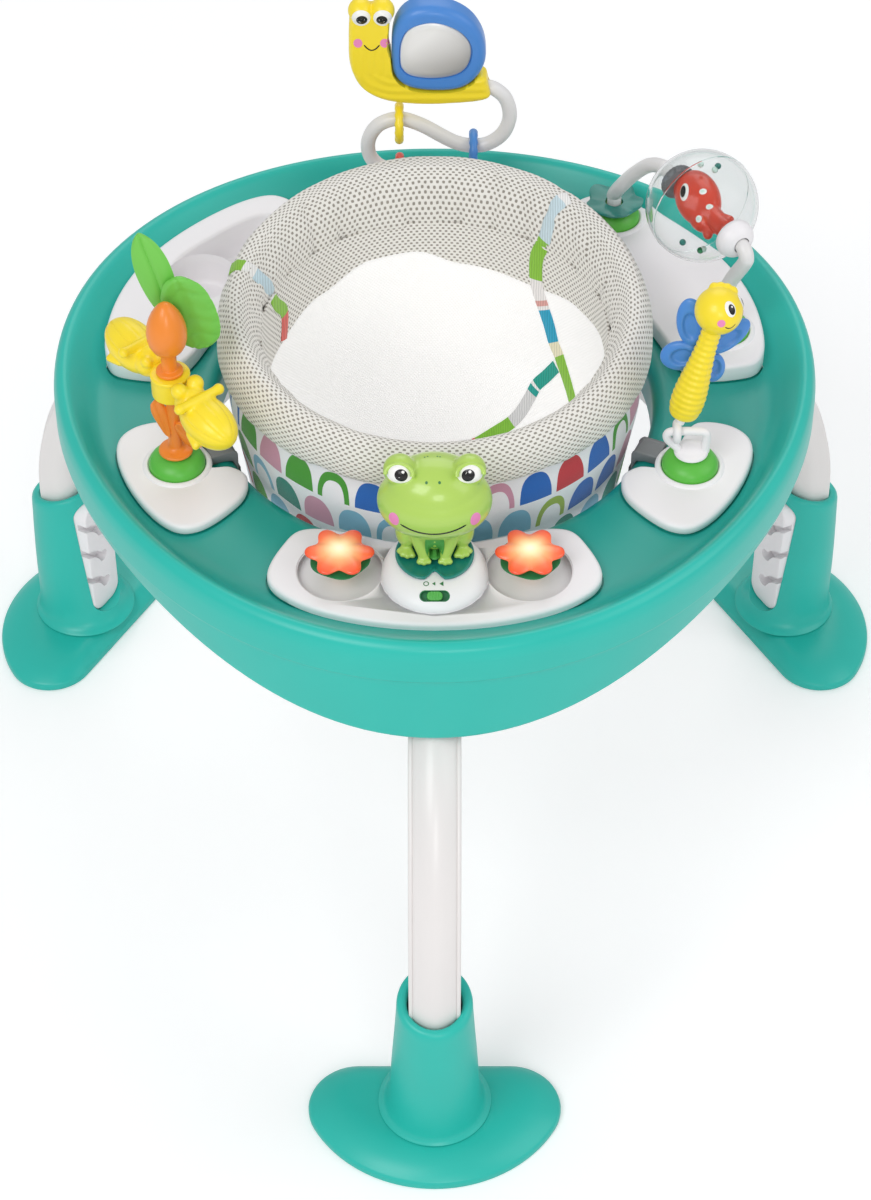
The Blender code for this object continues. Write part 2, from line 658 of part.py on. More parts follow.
def foot_ring(azimuth, scale, height):
    """The half-moon foot's outline, drawn in towards the boot's flange by scale."""
    corner = FOOT_CORNER_RADIUS
    chord = FOOT_ARC_CENTRE - 0.004
    reach = math.sqrt((FOOT_ARC_RADIUS - corner) ** 2 - (chord + corner - FOOT_ARC_CENTRE) ** 2)
    tangent = math.degrees(math.atan2(reach, chord + corner - FOOT_ARC_CENTRE))
    points = []
    for k in range(13):
        angle = math.radians(-tangent + 2 * tangent * k / 12)
        points.append((FOOT_ARC_CENTRE + FOOT_ARC_RADIUS * math.cos(angle),
                       FOOT_ARC_RADIUS * math.sin(angle)))
    for sign in (1, -1):
        arc = []
        for k in range(1, 6):
            angle = math.radians(tangent + (180 - tangent) * k / 5)
            arc.append((chord + corner + corner * math.cos(angle),
                        sign * (reach + corner * math.sin(angle))))
        points += arc if sign == 1 else arc[::-1]
    ring = []
    for out, across in points:
        point = Vector((BOOT_FLANGE_CENTRE + (out - BOOT_FLANGE_CENTRE) * scale, across * scale, height))
        point.rotate(Matrix.Rotation(math.radians(azimuth), 3, "Z"))
        ring.append(point)
    return ring


def inset_outline(corners, distance):
    """Draws a (radius, azimuth) outline in towards its middle by about a distance."""
    radii = [r for r, a in corners]
    azimuths = [a for r, a in corners]
    middle_r, middle_a = (min(radii) + max(radii)) / 2, (min(azimuths) + max(azimuths)) / 2
    half_r, half_a = (max(radii) - min(radii)) / 2, (max(azimuths) - min(azimuths)) / 2
    scale_r = 1 - distance / half_r
    scale_a = 1 - distance / (math.radians(half_a) * middle_r)
    return [(middle_r + (r - middle_r) * scale_r, middle_a + (a - middle_a) * scale_a)
            for r, a in corners]


def polar_points(corners, steps=3, limit=None):
    """The smooth loop through (radius, azimuth) corners, as (x, y) points."""
    points = []
    for radius, azimuth in smooth_loop(corners, steps):
        point = polar(min(radius, limit) if limit else radius, azimuth)
        points.append((point.x, point.y))
    return points


def pod_shape(corners, top):
    """A pod whose rim overhangs the tray's cove while its base stands on the flat dish."""
    rings = []
    for distance, height, limit in ((0.0005, DISH_HEIGHT + SEAT_GAP, DISH_FLAT_RADIUS - 0.0005),
                                    (0.0, top - POD_EDGE, None),
                                    (0.3 * POD_EDGE, top - 0.3 * POD_EDGE, None),
                                    (POD_EDGE, top, None)):
        outline = polar_points(inset_outline(corners, distance), limit=limit)
        rings.append([Vector((x, y, height)) for x, y in outline])
    return loft(rings)


def placed(corners, azimuth, mirrored=False):
    sign = -1 if mirrored else 1
    return [(radius, azimuth + sign * offset) for radius, offset in corners]


def make_pods():
    add_piece("palm_pod", pod_shape(placed(TOY_POD, -180 + TOY_POD_AZIMUTH), POD_TOP_HEIGHT), WHITE)
    add_piece("dragonfly_pod", pod_shape(placed(TOY_POD, -TOY_POD_AZIMUTH, True), POD_TOP_HEIGHT), WHITE)
    rear = add_piece("snail_pod", pod_shape(placed(REAR_POD, 90), REAR_POD_TOP_HEIGHT), WHITE)
    unite(rear, turned([(0, REAR_POD_TOP_HEIGHT + 0.006), (0.010, REAR_POD_TOP_HEIGHT + 0.006),
                        (0.016, REAR_POD_TOP_HEIGHT - 0.002), (0, REAR_POD_TOP_HEIGHT - 0.002)],
                       16, (0, SNAIL_Y, 0)))
    add_piece("fish_pod", pod_shape(placed(SIDE_POD, SIDE_POD_AZIMUTH, True), REAR_POD_TOP_HEIGHT), WHITE)
    make_snack_tray()


def make_snack_tray():
    """An insert with a tub that hangs through the tray, with a cup ring standing in it."""
    tray = add_piece("snack_tray", pod_shape(placed(SIDE_POD, 180 - SIDE_POD_AZIMUTH), REAR_POD_TOP_HEIGHT),
                     WHITE)
    tub_floor = TUB_FLOOR_HEIGHT - TUB_WALL
    unite(tray, prism(polar_points(TUB_CORNERS), tub_floor, DISH_HEIGHT + 0.004))
    cup = polar(CUP_RING_RADIUS, CUP_AZIMUTH)
    pocket = add_cutter("snack_pocket", loft([
        [Vector((x, y, height)) for x, y in polar_points(inset_outline(POCKET_CORNERS, distance))]
        for distance, height in ((0.002, TUB_FLOOR_HEIGHT), (-0.003, REAR_POD_TOP_HEIGHT + 0.004))]))
    cut(pocket, rod((cup.x, cup.y, tub_floor), (cup.x, cup.y, RIM_HEIGHT), CUP_RADIUS + TUB_WALL, 24))
    combine(tray, pocket, "DIFFERENCE")
    cut(tray, rod((cup.x, cup.y, TUB_FLOOR_HEIGHT), (cup.x, cup.y, RIM_HEIGHT), CUP_RADIUS, 24))


def dome_shape(x, y, base):
    return turned([(0, base + DOME_HEIGHT), (0.6 * DOME_RADIUS, base + DOME_HEIGHT),
                   (0.8 * DOME_RADIUS, base + 0.78 * DOME_HEIGHT),
                   (0.94 * DOME_RADIUS, base + 0.45 * DOME_HEIGHT),
                   (DOME_RADIUS, base + 0.1 * DOME_HEIGHT), (DOME_RADIUS, base), (0, base)], 12, (x, y, 0))


def make_domes():
    palm = polar(PALM_RING_RADIUS, PALM_AZIMUTH)
    front = POD_TOP_HEIGHT + SEAT_GAP
    rear = REAR_POD_TOP_HEIGHT + SEAT_GAP
    add_piece("palm_dome", dome_shape(palm.x, palm.y, front), GREEN)
    add_piece("dragonfly_dome", dome_shape(DRAGONFLY_X, DRAGONFLY_Y, front), GREEN)
    add_piece("fish_dome_rear", dome_shape(FISH_REAR_X, FISH_REAR_Y, rear), GREEN)
    add_piece("fish_dome_front", dome_shape(FISH_FRONT_X, FISH_FRONT_Y, rear), GREEN)


def round_ring(radius, x, y, height, segments=16):
    return [Vector((x + radius * math.cos(2 * math.pi * k / segments),
                    y + radius * math.sin(2 * math.pi * k / segments), height)) for k in range(segments)]


def switch_frame():
    """The switch lies in the console's sloping front."""
    tilt = Matrix.Rotation(math.radians(SWITCH_TILT), 4, "X")
    return Matrix.Translation((0, SWITCH_Y, SWITCH_HEIGHT)) @ tilt


def make_console():
    pod = add_piece("console_pod", pod_shape(placed(CONSOLE, -90), POD_TOP_HEIGHT), WHITE)
    top = POD_TOP_HEIGHT + CONSOLE_DOME_HEIGHT
    low = POD_TOP_HEIGHT - 0.002
    unite(pod, loft([round_ring(CONSOLE_DOME_RADIUS, 0, CONSOLE_Y, low),
                     round_ring(CONSOLE_DOME_RADIUS - 0.0025, 0, CONSOLE_Y + 0.003,
                                POD_TOP_HEIGHT + 0.55 * CONSOLE_DOME_HEIGHT),
                     round_ring(CONSOLE_DOME_RADIUS - 0.010, 0, CONSOLE_Y + 0.007, top)]))
    for side in (-1, 1):
        unite(pod, loft([round_ring(COLLAR_RADIUS - draw, side * FLOWER_X, FLOWER_Y, height)
                         for draw, height in ((0, low), (0.002, POD_TOP_HEIGHT + 0.6 * COLLAR_HEIGHT),
                                              (0.0045, POD_TOP_HEIGHT + COLLAR_HEIGHT))]))
    base = DISH_HEIGHT + SEAT_GAP
    cavity = polar_points(inset_outline(placed(CONSOLE, -90), 0.008), 2)
    cut(pod, prism(cavity, base - 0.002, base + 0.005))
    cut(pod, rod((0, FROG_Y, base), (0, FROG_Y, top - 0.006), 0.026, 24))
    for side in (-1, 1):
        hole_top = (side * FLOWER_X, FLOWER_Y, POD_TOP_HEIGHT + COLLAR_HEIGHT + 0.002)
        hole_floor = (side * FLOWER_X, FLOWER_Y, POD_TOP_HEIGHT - 0.001)
        cut(pod, rod(hole_floor, hole_top, BUTTON_STEM_RADIUS + RUNNING_GAP, 20))
    slot = block((SWITCH_SLOT_LENGTH, SWITCH_KNOB_WIDTH + 2 * RUNNING_GAP, 0.012), (0, 0, 0.002))
    bmesh.ops.transform(slot, matrix=switch_frame(), verts=slot.verts)
    cut(pod, slot)
    plate = polar_points(inset_outline(placed(CONSOLE, -90), 0.008 + SEAT_GAP), 2)
    add_piece("console_base", prism(plate, base, base + 0.0015), WHITE)
    module_low = base + 0.0015 + SEAT_GAP
    add_piece("sound_module", rod((0, FROG_Y, module_low), (0, FROG_Y, top - 0.006 - SEAT_GAP),
                                  0.026 - SEAT_GAP, 20), GREY)
    knob = add_piece("switch_knob", block((SWITCH_KNOB_LENGTH, SWITCH_KNOB_WIDTH, 0.0085),
                                          (0, 0, 0.0085 / 2 - 0.004 + SEAT_GAP)), GREEN)
    knob.data.transform(switch_frame())
    set_origin(knob, (0, SWITCH_Y, SWITCH_HEIGHT))


def make_flower(place, side):
    """A six-petal push button on a stem that slides in its collar."""
    collar_top = POD_TOP_HEIGHT + COLLAR_HEIGHT
    stem_low = POD_TOP_HEIGHT - 0.001 + BUTTON_TRAVEL + RUNNING_GAP
    petal_low = collar_top + BUTTON_TRAVEL + 0.001
    rings = [round_ring(BUTTON_STEM_RADIUS, 0, 0, height, 24) for height in (stem_low, petal_low)]
    for scale, height in ((0.97, petal_low), (1.0, petal_low + 0.0025), (0.50, petal_low + 0.0065)):
        ring = []
        for k in range(24):
            angle = 2 * math.pi * k / 24
            radius = scale * FLOWER_RADIUS * (0.87 + 0.13 * math.cos(6 * angle))
            ring.append(Vector((radius * math.cos(angle), radius * math.sin(angle), height)))
        rings.append(ring)
    flower = add_piece(f"flower_{place}", loft(rings), FLOWER)
    flower.location = (side * FLOWER_X, FLOWER_Y, 0)


def make_frog():
    top = POD_TOP_HEIGHT + CONSOLE_DOME_HEIGHT + SEAT_GAP
    pad = []
    for k in range(25):
        angle = math.radians(-90 + 16 + (360 - 32) * k / 24)
        pad.append((0.0295 * math.cos(angle), FROG_Y + 0.0295 * math.sin(angle)))
    pad.append((0, FROG_Y - 0.017))
    add_piece("lily_pad", prism(pad, top, top + 0.0025), LILY_GREEN)
    feet = top + 0.0025 + SEAT_GAP
    frog = add_piece("frog", turned([(0, feet + 0.034), (0.016, feet + 0.030), (0.0215, feet + 0.014),
                                     (0.0185, feet), (0, feet)], 16, (0, FROG_Y, 0)), FROG_GREEN)
    unite(frog, ball(1, (0, FROG_Y, feet + 0.0575), (0.0435, 0.031, 0.0325), rings=8, segments=16))
    for side in (-1, 1):
        unite(frog, ball(0.0132, (side * 0.0265, FROG_Y - 0.002, feet + 0.0830)))
        unite(frog, ball(1, (side * 0.0225, FROG_Y - 0.004, feet + 0.0135), (0.0105, 0.0125, 0.013)))
        unite(frog, rod((side * 0.0115, FROG_Y - 0.0190, feet + 0.0030),
                        (side * 0.0075, FROG_Y - 0.0165, feet + 0.022), 0.0052, 8))


def make_palm():
    """A post with a collar that turns on it, a bulb on top, and the leaves behind the bulb."""
    axis = polar(PALM_RING_RADIUS, PALM_AZIMUTH)
    foot = POD_TOP_HEIGHT + DOME_HEIGHT + 2 * SEAT_GAP
    spin_top = SPINNER_BOTTOM_HEIGHT + SPINNER_HEIGHT
    low_stop = SPINNER_BOTTOM_HEIGHT - RUNNING_GAP
    high_stop = spin_top + RUNNING_GAP
    bulb = [(share * BULB_RADIUS, BULB_BOTTOM_HEIGHT + rise * BULB_LENGTH)
            for share, rise in ((0, 1.0), (0.38, 0.95), (0.8, 0.7), (1.0, 0.42), (0.92, 0.2), (0.57, 0.06),
                                (0.38, 0))]
    post = add_piece("palm_post", turned(bulb + [
        (0.006, high_stop + 0.0035), (0.0105, high_stop + 0.003), (0.0105, high_stop),
        (PALM_STEM_RADIUS, high_stop), (PALM_STEM_RADIUS, low_stop), (0.0085, low_stop),
        (0.0085, low_stop - 0.003), (PALM_STEM_RADIUS, low_stop - 0.0035), (PALM_STEM_RADIUS, foot + 0.005),
        (0.008, foot + 0.0035), (0.0135, foot + 0.0015), (0.0135, foot), (0, foot)], BULB_SIDES, axis),
                     ORANGE)
    left = Matrix.Rotation(math.radians(-22), 3, "Y")
    right = Matrix.Rotation(math.radians(28), 3, "Y")
    stem = low_stop - foot
    upper = axis + Vector((-1.54 * PALM_STEM_RADIUS, 0, foot + 0.57 * stem))
    lower = axis + Vector((1.92 * PALM_STEM_RADIUS, 0, foot + 0.30 * stem))
    unite(post, ball(1, upper, (0.0060, 0.0035, 0.26 * stem), left, 6, 8))
    unite(post, ball(1, lower, (0.0085, 0.0040, 0.25 * stem), right, 6, 8))

    spinner = add_piece("palm_spinner", turned([
        (SPINNER_RADIUS, spin_top), (SPINNER_RADIUS, SPINNER_BOTTOM_HEIGHT),
        (PALM_STEM_RADIUS + RUNNING_GAP, SPINNER_BOTTOM_HEIGHT),
        (PALM_STEM_RADIUS + RUNNING_GAP, spin_top)], 16, axis, closed=True), YELLOW)
    for azimuth in (BUG_AZIMUTH, BUG_AZIMUTH + 180):
        turn = Matrix.Rotation(math.radians(azimuth), 3, "Z")
        middle = axis + polar(BUG_REACH, azimuth, SPINNER_BOTTOM_HEIGHT + SPINNER_HEIGHT / 2)
        inner = axis + polar(SPINNER_RADIUS - 0.006, azimuth, middle.z)
        unite(spinner, rod(inner, middle, 0.0075, 10))
        unite(spinner, ball(1, middle, (BUG_LENGTH / 2, BUG_WIDTH / 2, BUG_WIDTH / 2), turn))
        for side in (-1, 1):
            knob = middle + turn @ Vector((-0.014, side * 0.012, 0.014))
            unite(spinner, ball(0.0065, knob, rings=6, segments=8))
    set_origin(spinner, (axis.x, axis.y, SPINNER_BOTTOM_HEIGHT))

    bulb_back = BULB_RADIUS * math.cos(math.pi / BULB_SIDES)
    behind = axis + Vector((0, bulb_back + SEAT_GAP + 0.0022, 0))
    round_leaf = []
    long_leaf = []
    for k in range(20):
        angle = 2 * math.pi * k / 20
        round_leaf.append((0.0195 * math.cos(angle), 0.0365 * math.sin(angle)))
        long_leaf.append((0.0150 * math.cos(angle) * (1 - 0.25 * math.sin(angle)), 0.040 * math.sin(angle)))
    upright = Matrix.Rotation(math.radians(90), 4, "X")
    bulb_middle = BULB_BOTTOM_HEIGHT + BULB_LENGTH / 2
    round_place = (Matrix.Translation(behind + Vector((0.016, 0, bulb_middle - 0.001)))
                   @ Matrix.Rotation(math.radians(-14), 4, "Y"))
    long_place = (Matrix.Translation(behind + Vector((-0.006, 0, bulb_middle + 0.023)))
                  @ Matrix.Rotation(math.radians(-16), 4, "Y"))
    leaves = add_piece("palm_leaves", prism(round_leaf, -0.0022, 0.0022, round_place @ upright), GREEN)
    unite(leaves, prism(long_leaf, -0.0021, 0.0021, long_place @ upright))


def make_dragonfly():
    """A base loop, and the toy that swings on the loop's bar by its link."""
    foot = POD_TOP_HEIGHT + DOME_HEIGHT + 2 * SEAT_GAP
    base = Vector((DRAGONFLY_X, DRAGONFLY_Y, foot))
    bar = base + Vector((0, 0, HOOK_HEIGHT))
    post_radius = HOOK_BAR_RADIUS + 0.0002
    left, right = bar - Vector((HOOK_LEFT_REACH, 0, 0)), bar + Vector((HOOK_RIGHT_REACH, 0, 0))
    cap = turned([(0, foot + 0.004), (0.010, foot + 0.004), (0.0135, foot + 0.0015), (0.0135, foot),
                  (0, foot)], 16, (DRAGONFLY_X, DRAGONFLY_Y, 0))
    hook = add_piece("dragonfly_hook", cap, WHITE)
    # The left post bends outward, clear of the link that hangs beside it
    elbow = left - Vector((0, 0, 0.0100))
    unite(hook, rod(elbow, left + Vector((0, 0, HOOK_BAR_RADIUS)), post_radius, 8))
    unite(hook, rod(base + Vector((-HOOK_FOOT_REACH, 0, 0.002)), elbow + Vector((0, 0, 0.001)), post_radius, 8))
    unite(hook, rod(base + Vector((HOOK_RIGHT_REACH, 0, 0.002)), right + Vector((0, 0, HOOK_BAR_RADIUS)),
                    post_radius, 8))
    unite(hook, rod(left, right, HOOK_BAR_RADIUS, 8))

    swing = bpy.data.objects.new("dragonfly_swing", None)
    bpy.data.collections[COLLECTIONS["parts"]].objects.link(swing)
    swing.parent = stand
    swing.location = left + Vector((post_radius + RUNNING_GAP + LINK_WIRE_RADIUS, 0, 0))
    tilt = (Matrix.Rotation(math.radians(-DRAGONFLY_LEAN), 3, "X")
            @ Matrix.Rotation(math.radians(DRAGONFLY_SIDE_LEAN), 3, "Y"))
    up = tilt @ Vector((0, 0, 1))
    ring = HOOK_BAR_RADIUS + RUNNING_GAP + LINK_WIRE_RADIUS
    link = add_piece("dragonfly_link", torus(ring, LINK_WIRE_RADIUS, (0, 0, 0), (1, 0, 0)), WHITE, swing)
    tail_start = up * (ring + 0.001)
    unite(link, rod(tail_start, up * DRAGONFLY_TAIL, 0.0036, 8))

    body_low = DRAGONFLY_TAIL + SEAT_GAP
    profile = [(0, body_low + DRAGONFLY_LENGTH)]
    for share, radius in ((0.98, 0.0075), (0.80, 0.0078), (0.62, 0.0090), (0.42, 0.0112), (0.22, 0.0128),
                          (0.08, 0.0115), (0.0, 0.0070)):
        profile.append((radius, body_low + share * DRAGONFLY_LENGTH))
    profile.append((0, body_low))
    shape = turned(profile, 14)
    bmesh.ops.transform(shape, matrix=tilt.to_4x4(), verts=shape.verts)
    body = add_piece("dragonfly_body", shape, YELLOW, swing)
    head = up * (body_low + DRAGONFLY_LENGTH + 0.010)
    unite(body, ball(DRAGONFLY_HEAD_RADIUS, head, rings=10, segments=14))

    wings = None
    for level, reach, size, lean in ((0.66, 0.019, WING_SPAN, 34), (0.43, 0.017, 0.8 * WING_SPAN, -28)):
        for side in (-1, 1):
            middle = Vector((side * reach, 0.0140, body_low + level * DRAGONFLY_LENGTH))
            turn = Matrix.Rotation(math.radians(side * (90 - lean)), 3, "Y")
            shape = ball(1, (0, 0, 0), (0.36 * size, WING_THICKNESS / 2, 0.5 * size), turn, 6, 8)
            bmesh.ops.translate(shape, verts=shape.verts, vec=middle)
            bmesh.ops.transform(shape, matrix=tilt.to_4x4(), verts=shape.verts)
            if wings is None:
                wings = add_piece("dragonfly_wings", shape, BLUE, swing)
            else:
                unite(wings, shape)
    spine = block((0.020, 0.0045, 0.030), (0, 0.0144, body_low + 0.54 * DRAGONFLY_LENGTH))
    bmesh.ops.transform(spine, matrix=tilt.to_4x4(), verts=spine.verts)
    unite(wings, spine)


def fish_point(along, height):
    """A point in the upright plane through the fish toy's two domes."""
    start = Vector((FISH_REAR_X, FISH_REAR_Y, 0))
    run = (Vector((FISH_FRONT_X, FISH_FRONT_Y, 0)) - start).normalized()
    return start + run * along + Vector((0, 0, height))


def make_fish_toy():
    foot = REAR_POD_TOP_HEIGHT + DOME_HEIGHT + 2 * SEAT_GAP
    span = math.hypot(FISH_FRONT_X - FISH_REAR_X, FISH_FRONT_Y - FISH_REAR_Y)
    axis = BALL_AXIS_HEIGHT
    ball_end = BALL_ALONG + BALL_RADIUS
    corners = [(0, foot), (0, foot + 0.005), (0.0003, foot + 0.011), (0.013, axis - 0.055),
               (0.029, axis - 0.034), (0.050, axis - 0.0115), (0.070, axis), (0.082, axis), (BALL_ALONG, axis),
               (ball_end, axis), (ball_end + 0.0115, axis), (ball_end + 0.0165, axis - 0.0012),
               (ball_end + 0.0205, axis - 0.0065), (ball_end + 0.0183, axis - 0.015),
               (span + 0.0045, axis - 0.048), (span + 0.0003, foot + 0.012), (span, foot + 0.006), (span, foot)]
    path = smooth_path([fish_point(*corner) for corner in corners], 2)
    tube("fish_tube", path, TOY_TUBE_RADIUS, LEG_WHITE)
    disc = []
    for k in range(24):
        angle = 2 * math.pi * k / 24
        radius = LEAF_DISC_RADIUS * (0.92 + 0.08 * math.cos(5 * angle))
        disc.append((FISH_REAR_X + radius * math.cos(angle), FISH_REAR_Y + radius * math.sin(angle)))
    leaf = add_piece("fish_leaf_disc", prism(disc, foot, foot + 0.003), LILY_GREEN)
    cut(leaf, rod((FISH_REAR_X, FISH_REAR_Y, foot - 0.005), (FISH_REAR_X, FISH_REAR_Y, foot + 0.008),
                  TOY_TUBE_RADIUS + 2 * RUNNING_GAP, 16))

    spin = bpy.data.objects.new("ball_spin", None)
    bpy.data.collections[COLLECTIONS["parts"]].objects.link(spin)
    spin.parent = stand
    spin.location = fish_point(BALL_ALONG, axis)
    run = fish_point(1, 0) - fish_point(0, 0)
    spin.rotation_euler = Vector((0, 0, 1)).rotation_difference(run).to_euler()
    bore = TOY_TUBE_RADIUS + RUNNING_GAP
    shell_profile = []
    inner_profile = []
    start = math.asin(bore / BALL_RADIUS)
    inner_start = math.asin(bore / (BALL_RADIUS - BALL_WALL))
    for k in range(9):
        angle = start + (math.pi - 2 * start) * k / 8
        inner_angle = inner_start + (math.pi - 2 * inner_start) * k / 8
        shell_profile.append((BALL_RADIUS * math.sin(angle), BALL_RADIUS * math.cos(angle)))
        inner_profile.append(((BALL_RADIUS - BALL_WALL) * math.sin(inner_angle),
                              (BALL_RADIUS - BALL_WALL) * math.cos(inner_angle)))
    add_piece("ball_shell", turned(shell_profile + inner_profile[::-1], 16, closed=True), CLEAR, spin)
    seat = BALL_RADIUS + SEAT_GAP
    hub_profile = []
    for k in range(4):
        across = bore + (0.87 * HUB_RADIUS - bore) * k / 3
        hub_profile.append((across, math.sqrt(seat ** 2 - across ** 2) + 0.0004))
    hub_profile += [(HUB_RADIUS, seat + 0.0005), (0.97 * HUB_RADIUS, seat + 0.004),
                    (0.81 * HUB_RADIUS, seat + 0.0075), (0.61 * HUB_RADIUS, seat + 0.0095),
                    (bore, seat + 0.010)]
    add_piece("ball_hub", turned(hub_profile, 14, closed=True), WHITE, spin)
    fish = add_piece("fish", ball(1, (0, 0, 0), (0.0200, 0.0155, 0.0285), rings=8, segments=12), RED, spin)
    cut(fish, rod((0, 0, -0.04), (0, 0, 0.04), bore, 14))


def snail_route():
    """The S tube's centre line in its upright plane, as (x, height), from the pod to the tail."""
    foot = REAR_POD_TOP_HEIGHT + 0.006 + SEAT_GAP
    return [(0.0, foot), (0.0, foot + 0.003), (-0.001, foot + 0.009), (-0.012, 0.4975),
            (-0.030, 0.5000), (-0.046, 0.5030), (-0.0555, 0.515), (-0.056, 0.532),
            (-0.047, 0.547), (-0.030, 0.5530), (-0.012, 0.547),
            (0.008, 0.534), (0.020, 0.5275), (0.033, 0.5250), (0.046, 0.5275), (0.058, 0.538),
            (0.0635, 0.555), (0.060, 0.573), (0.0505, 0.5835), (0.042, SNAIL_TAIL_HEIGHT),
            (0.034, SNAIL_TAIL_HEIGHT),
            (0.027, SNAIL_TAIL_HEIGHT)]


def upright_plate(outline, thickness, edge, grow=0.0):
    """An (x, height) outline, raised both ways from the snail's plane, with rounded edges."""
    middle_x = sum(x for x, z in outline) / len(outline)
    middle_z = sum(z for x, z in outline) / len(outline)
    span = max(x for x, z in outline) - middle_x
    rings = []
    half = thickness / 2 + grow
    for depth, inset in ((-half, edge), (-half + 0.4 * edge, 0.25 * edge), (-half + edge, 0),
                         (half - edge, 0), (half - 0.4 * edge, 0.25 * edge), (half, edge)):
        scale = 1 - (inset - grow) / span
        rings.append([Vector((middle_x + (x - middle_x) * scale, SNAIL_Y + depth,
                              middle_z + (z - middle_z) * scale)) for x, z in outline])
    return loft(rings)


def make_snail():
    foot_path = smooth_path([Vector((x, SNAIL_Y, height)) for x, height in snail_route()], 2)
    tube("snail_tube", foot_path, TOY_TUBE_RADIUS, LEG_WHITE)
    tail = Vector((SNAIL_TAIL_X, SNAIL_Y, SNAIL_TAIL_HEIGHT))
    body_loop = [(p.x, p.y) for p in smooth_loop([Vector(c) for c in SNAIL_BODY], 2)]
    shell_loop = [(p.x, p.y) for p in smooth_loop([Vector(c) for c in SNAIL_SHELL], 2)]
    body = add_piece("snail_body", upright_plate(body_loop, SNAIL_THICKNESS, 0.004), YELLOW)
    cut(body, upright_plate(shell_loop, SHELL_THICKNESS + 0.004, 0.0001, SEAT_GAP))
    cut(body, rod((0.0265, SNAIL_Y, SNAIL_TAIL_HEIGHT), (0.060, SNAIL_Y, SNAIL_TAIL_HEIGHT),
                  TOY_TUBE_RADIUS + TAIL_BORE_GAP, 16))
    shell = add_piece("snail_shell", upright_plate(shell_loop, SHELL_THICKNESS, 0.004), BLUE)
    front = SNAIL_Y - SHELL_THICKNESS / 2
    oval = [(0.001 + MIRROR_WIDTH / 2 * math.cos(2 * math.pi * k / 24),
             0.6255 + MIRROR_TALL / 2 * math.sin(2 * math.pi * k / 24)) for k in range(24)]
    mirror_shape = loft([[Vector((x, y, z)) for x, z in oval]
                         for y in (front - SEAT_GAP - MIRROR_THICKNESS, front - SEAT_GAP)])
    mirror = add_piece("snail_mirror", mirror_shape, MIRROR)
    for piece in (body, shell, mirror):
        set_origin(piece, tail)
    hang = RING_RADIUS - RING_WIRE_RADIUS - TOY_TUBE_RADIUS - RUNNING_GAP
    for name, finish, x, height in (("ring_red", RED, -0.030, 0.5000),
                                    ("ring_yellow", YELLOW, -0.030, 0.5530),
                                    ("ring_blue", BLUE, 0.033, 0.5250)):
        shape = torus(RING_RADIUS, RING_WIRE_RADIUS, (x, SNAIL_Y, height - hang), (1, 0, 0))
        ring = add_piece(name, shape, finish)
        set_origin(ring, (x, SNAIL_Y, height))


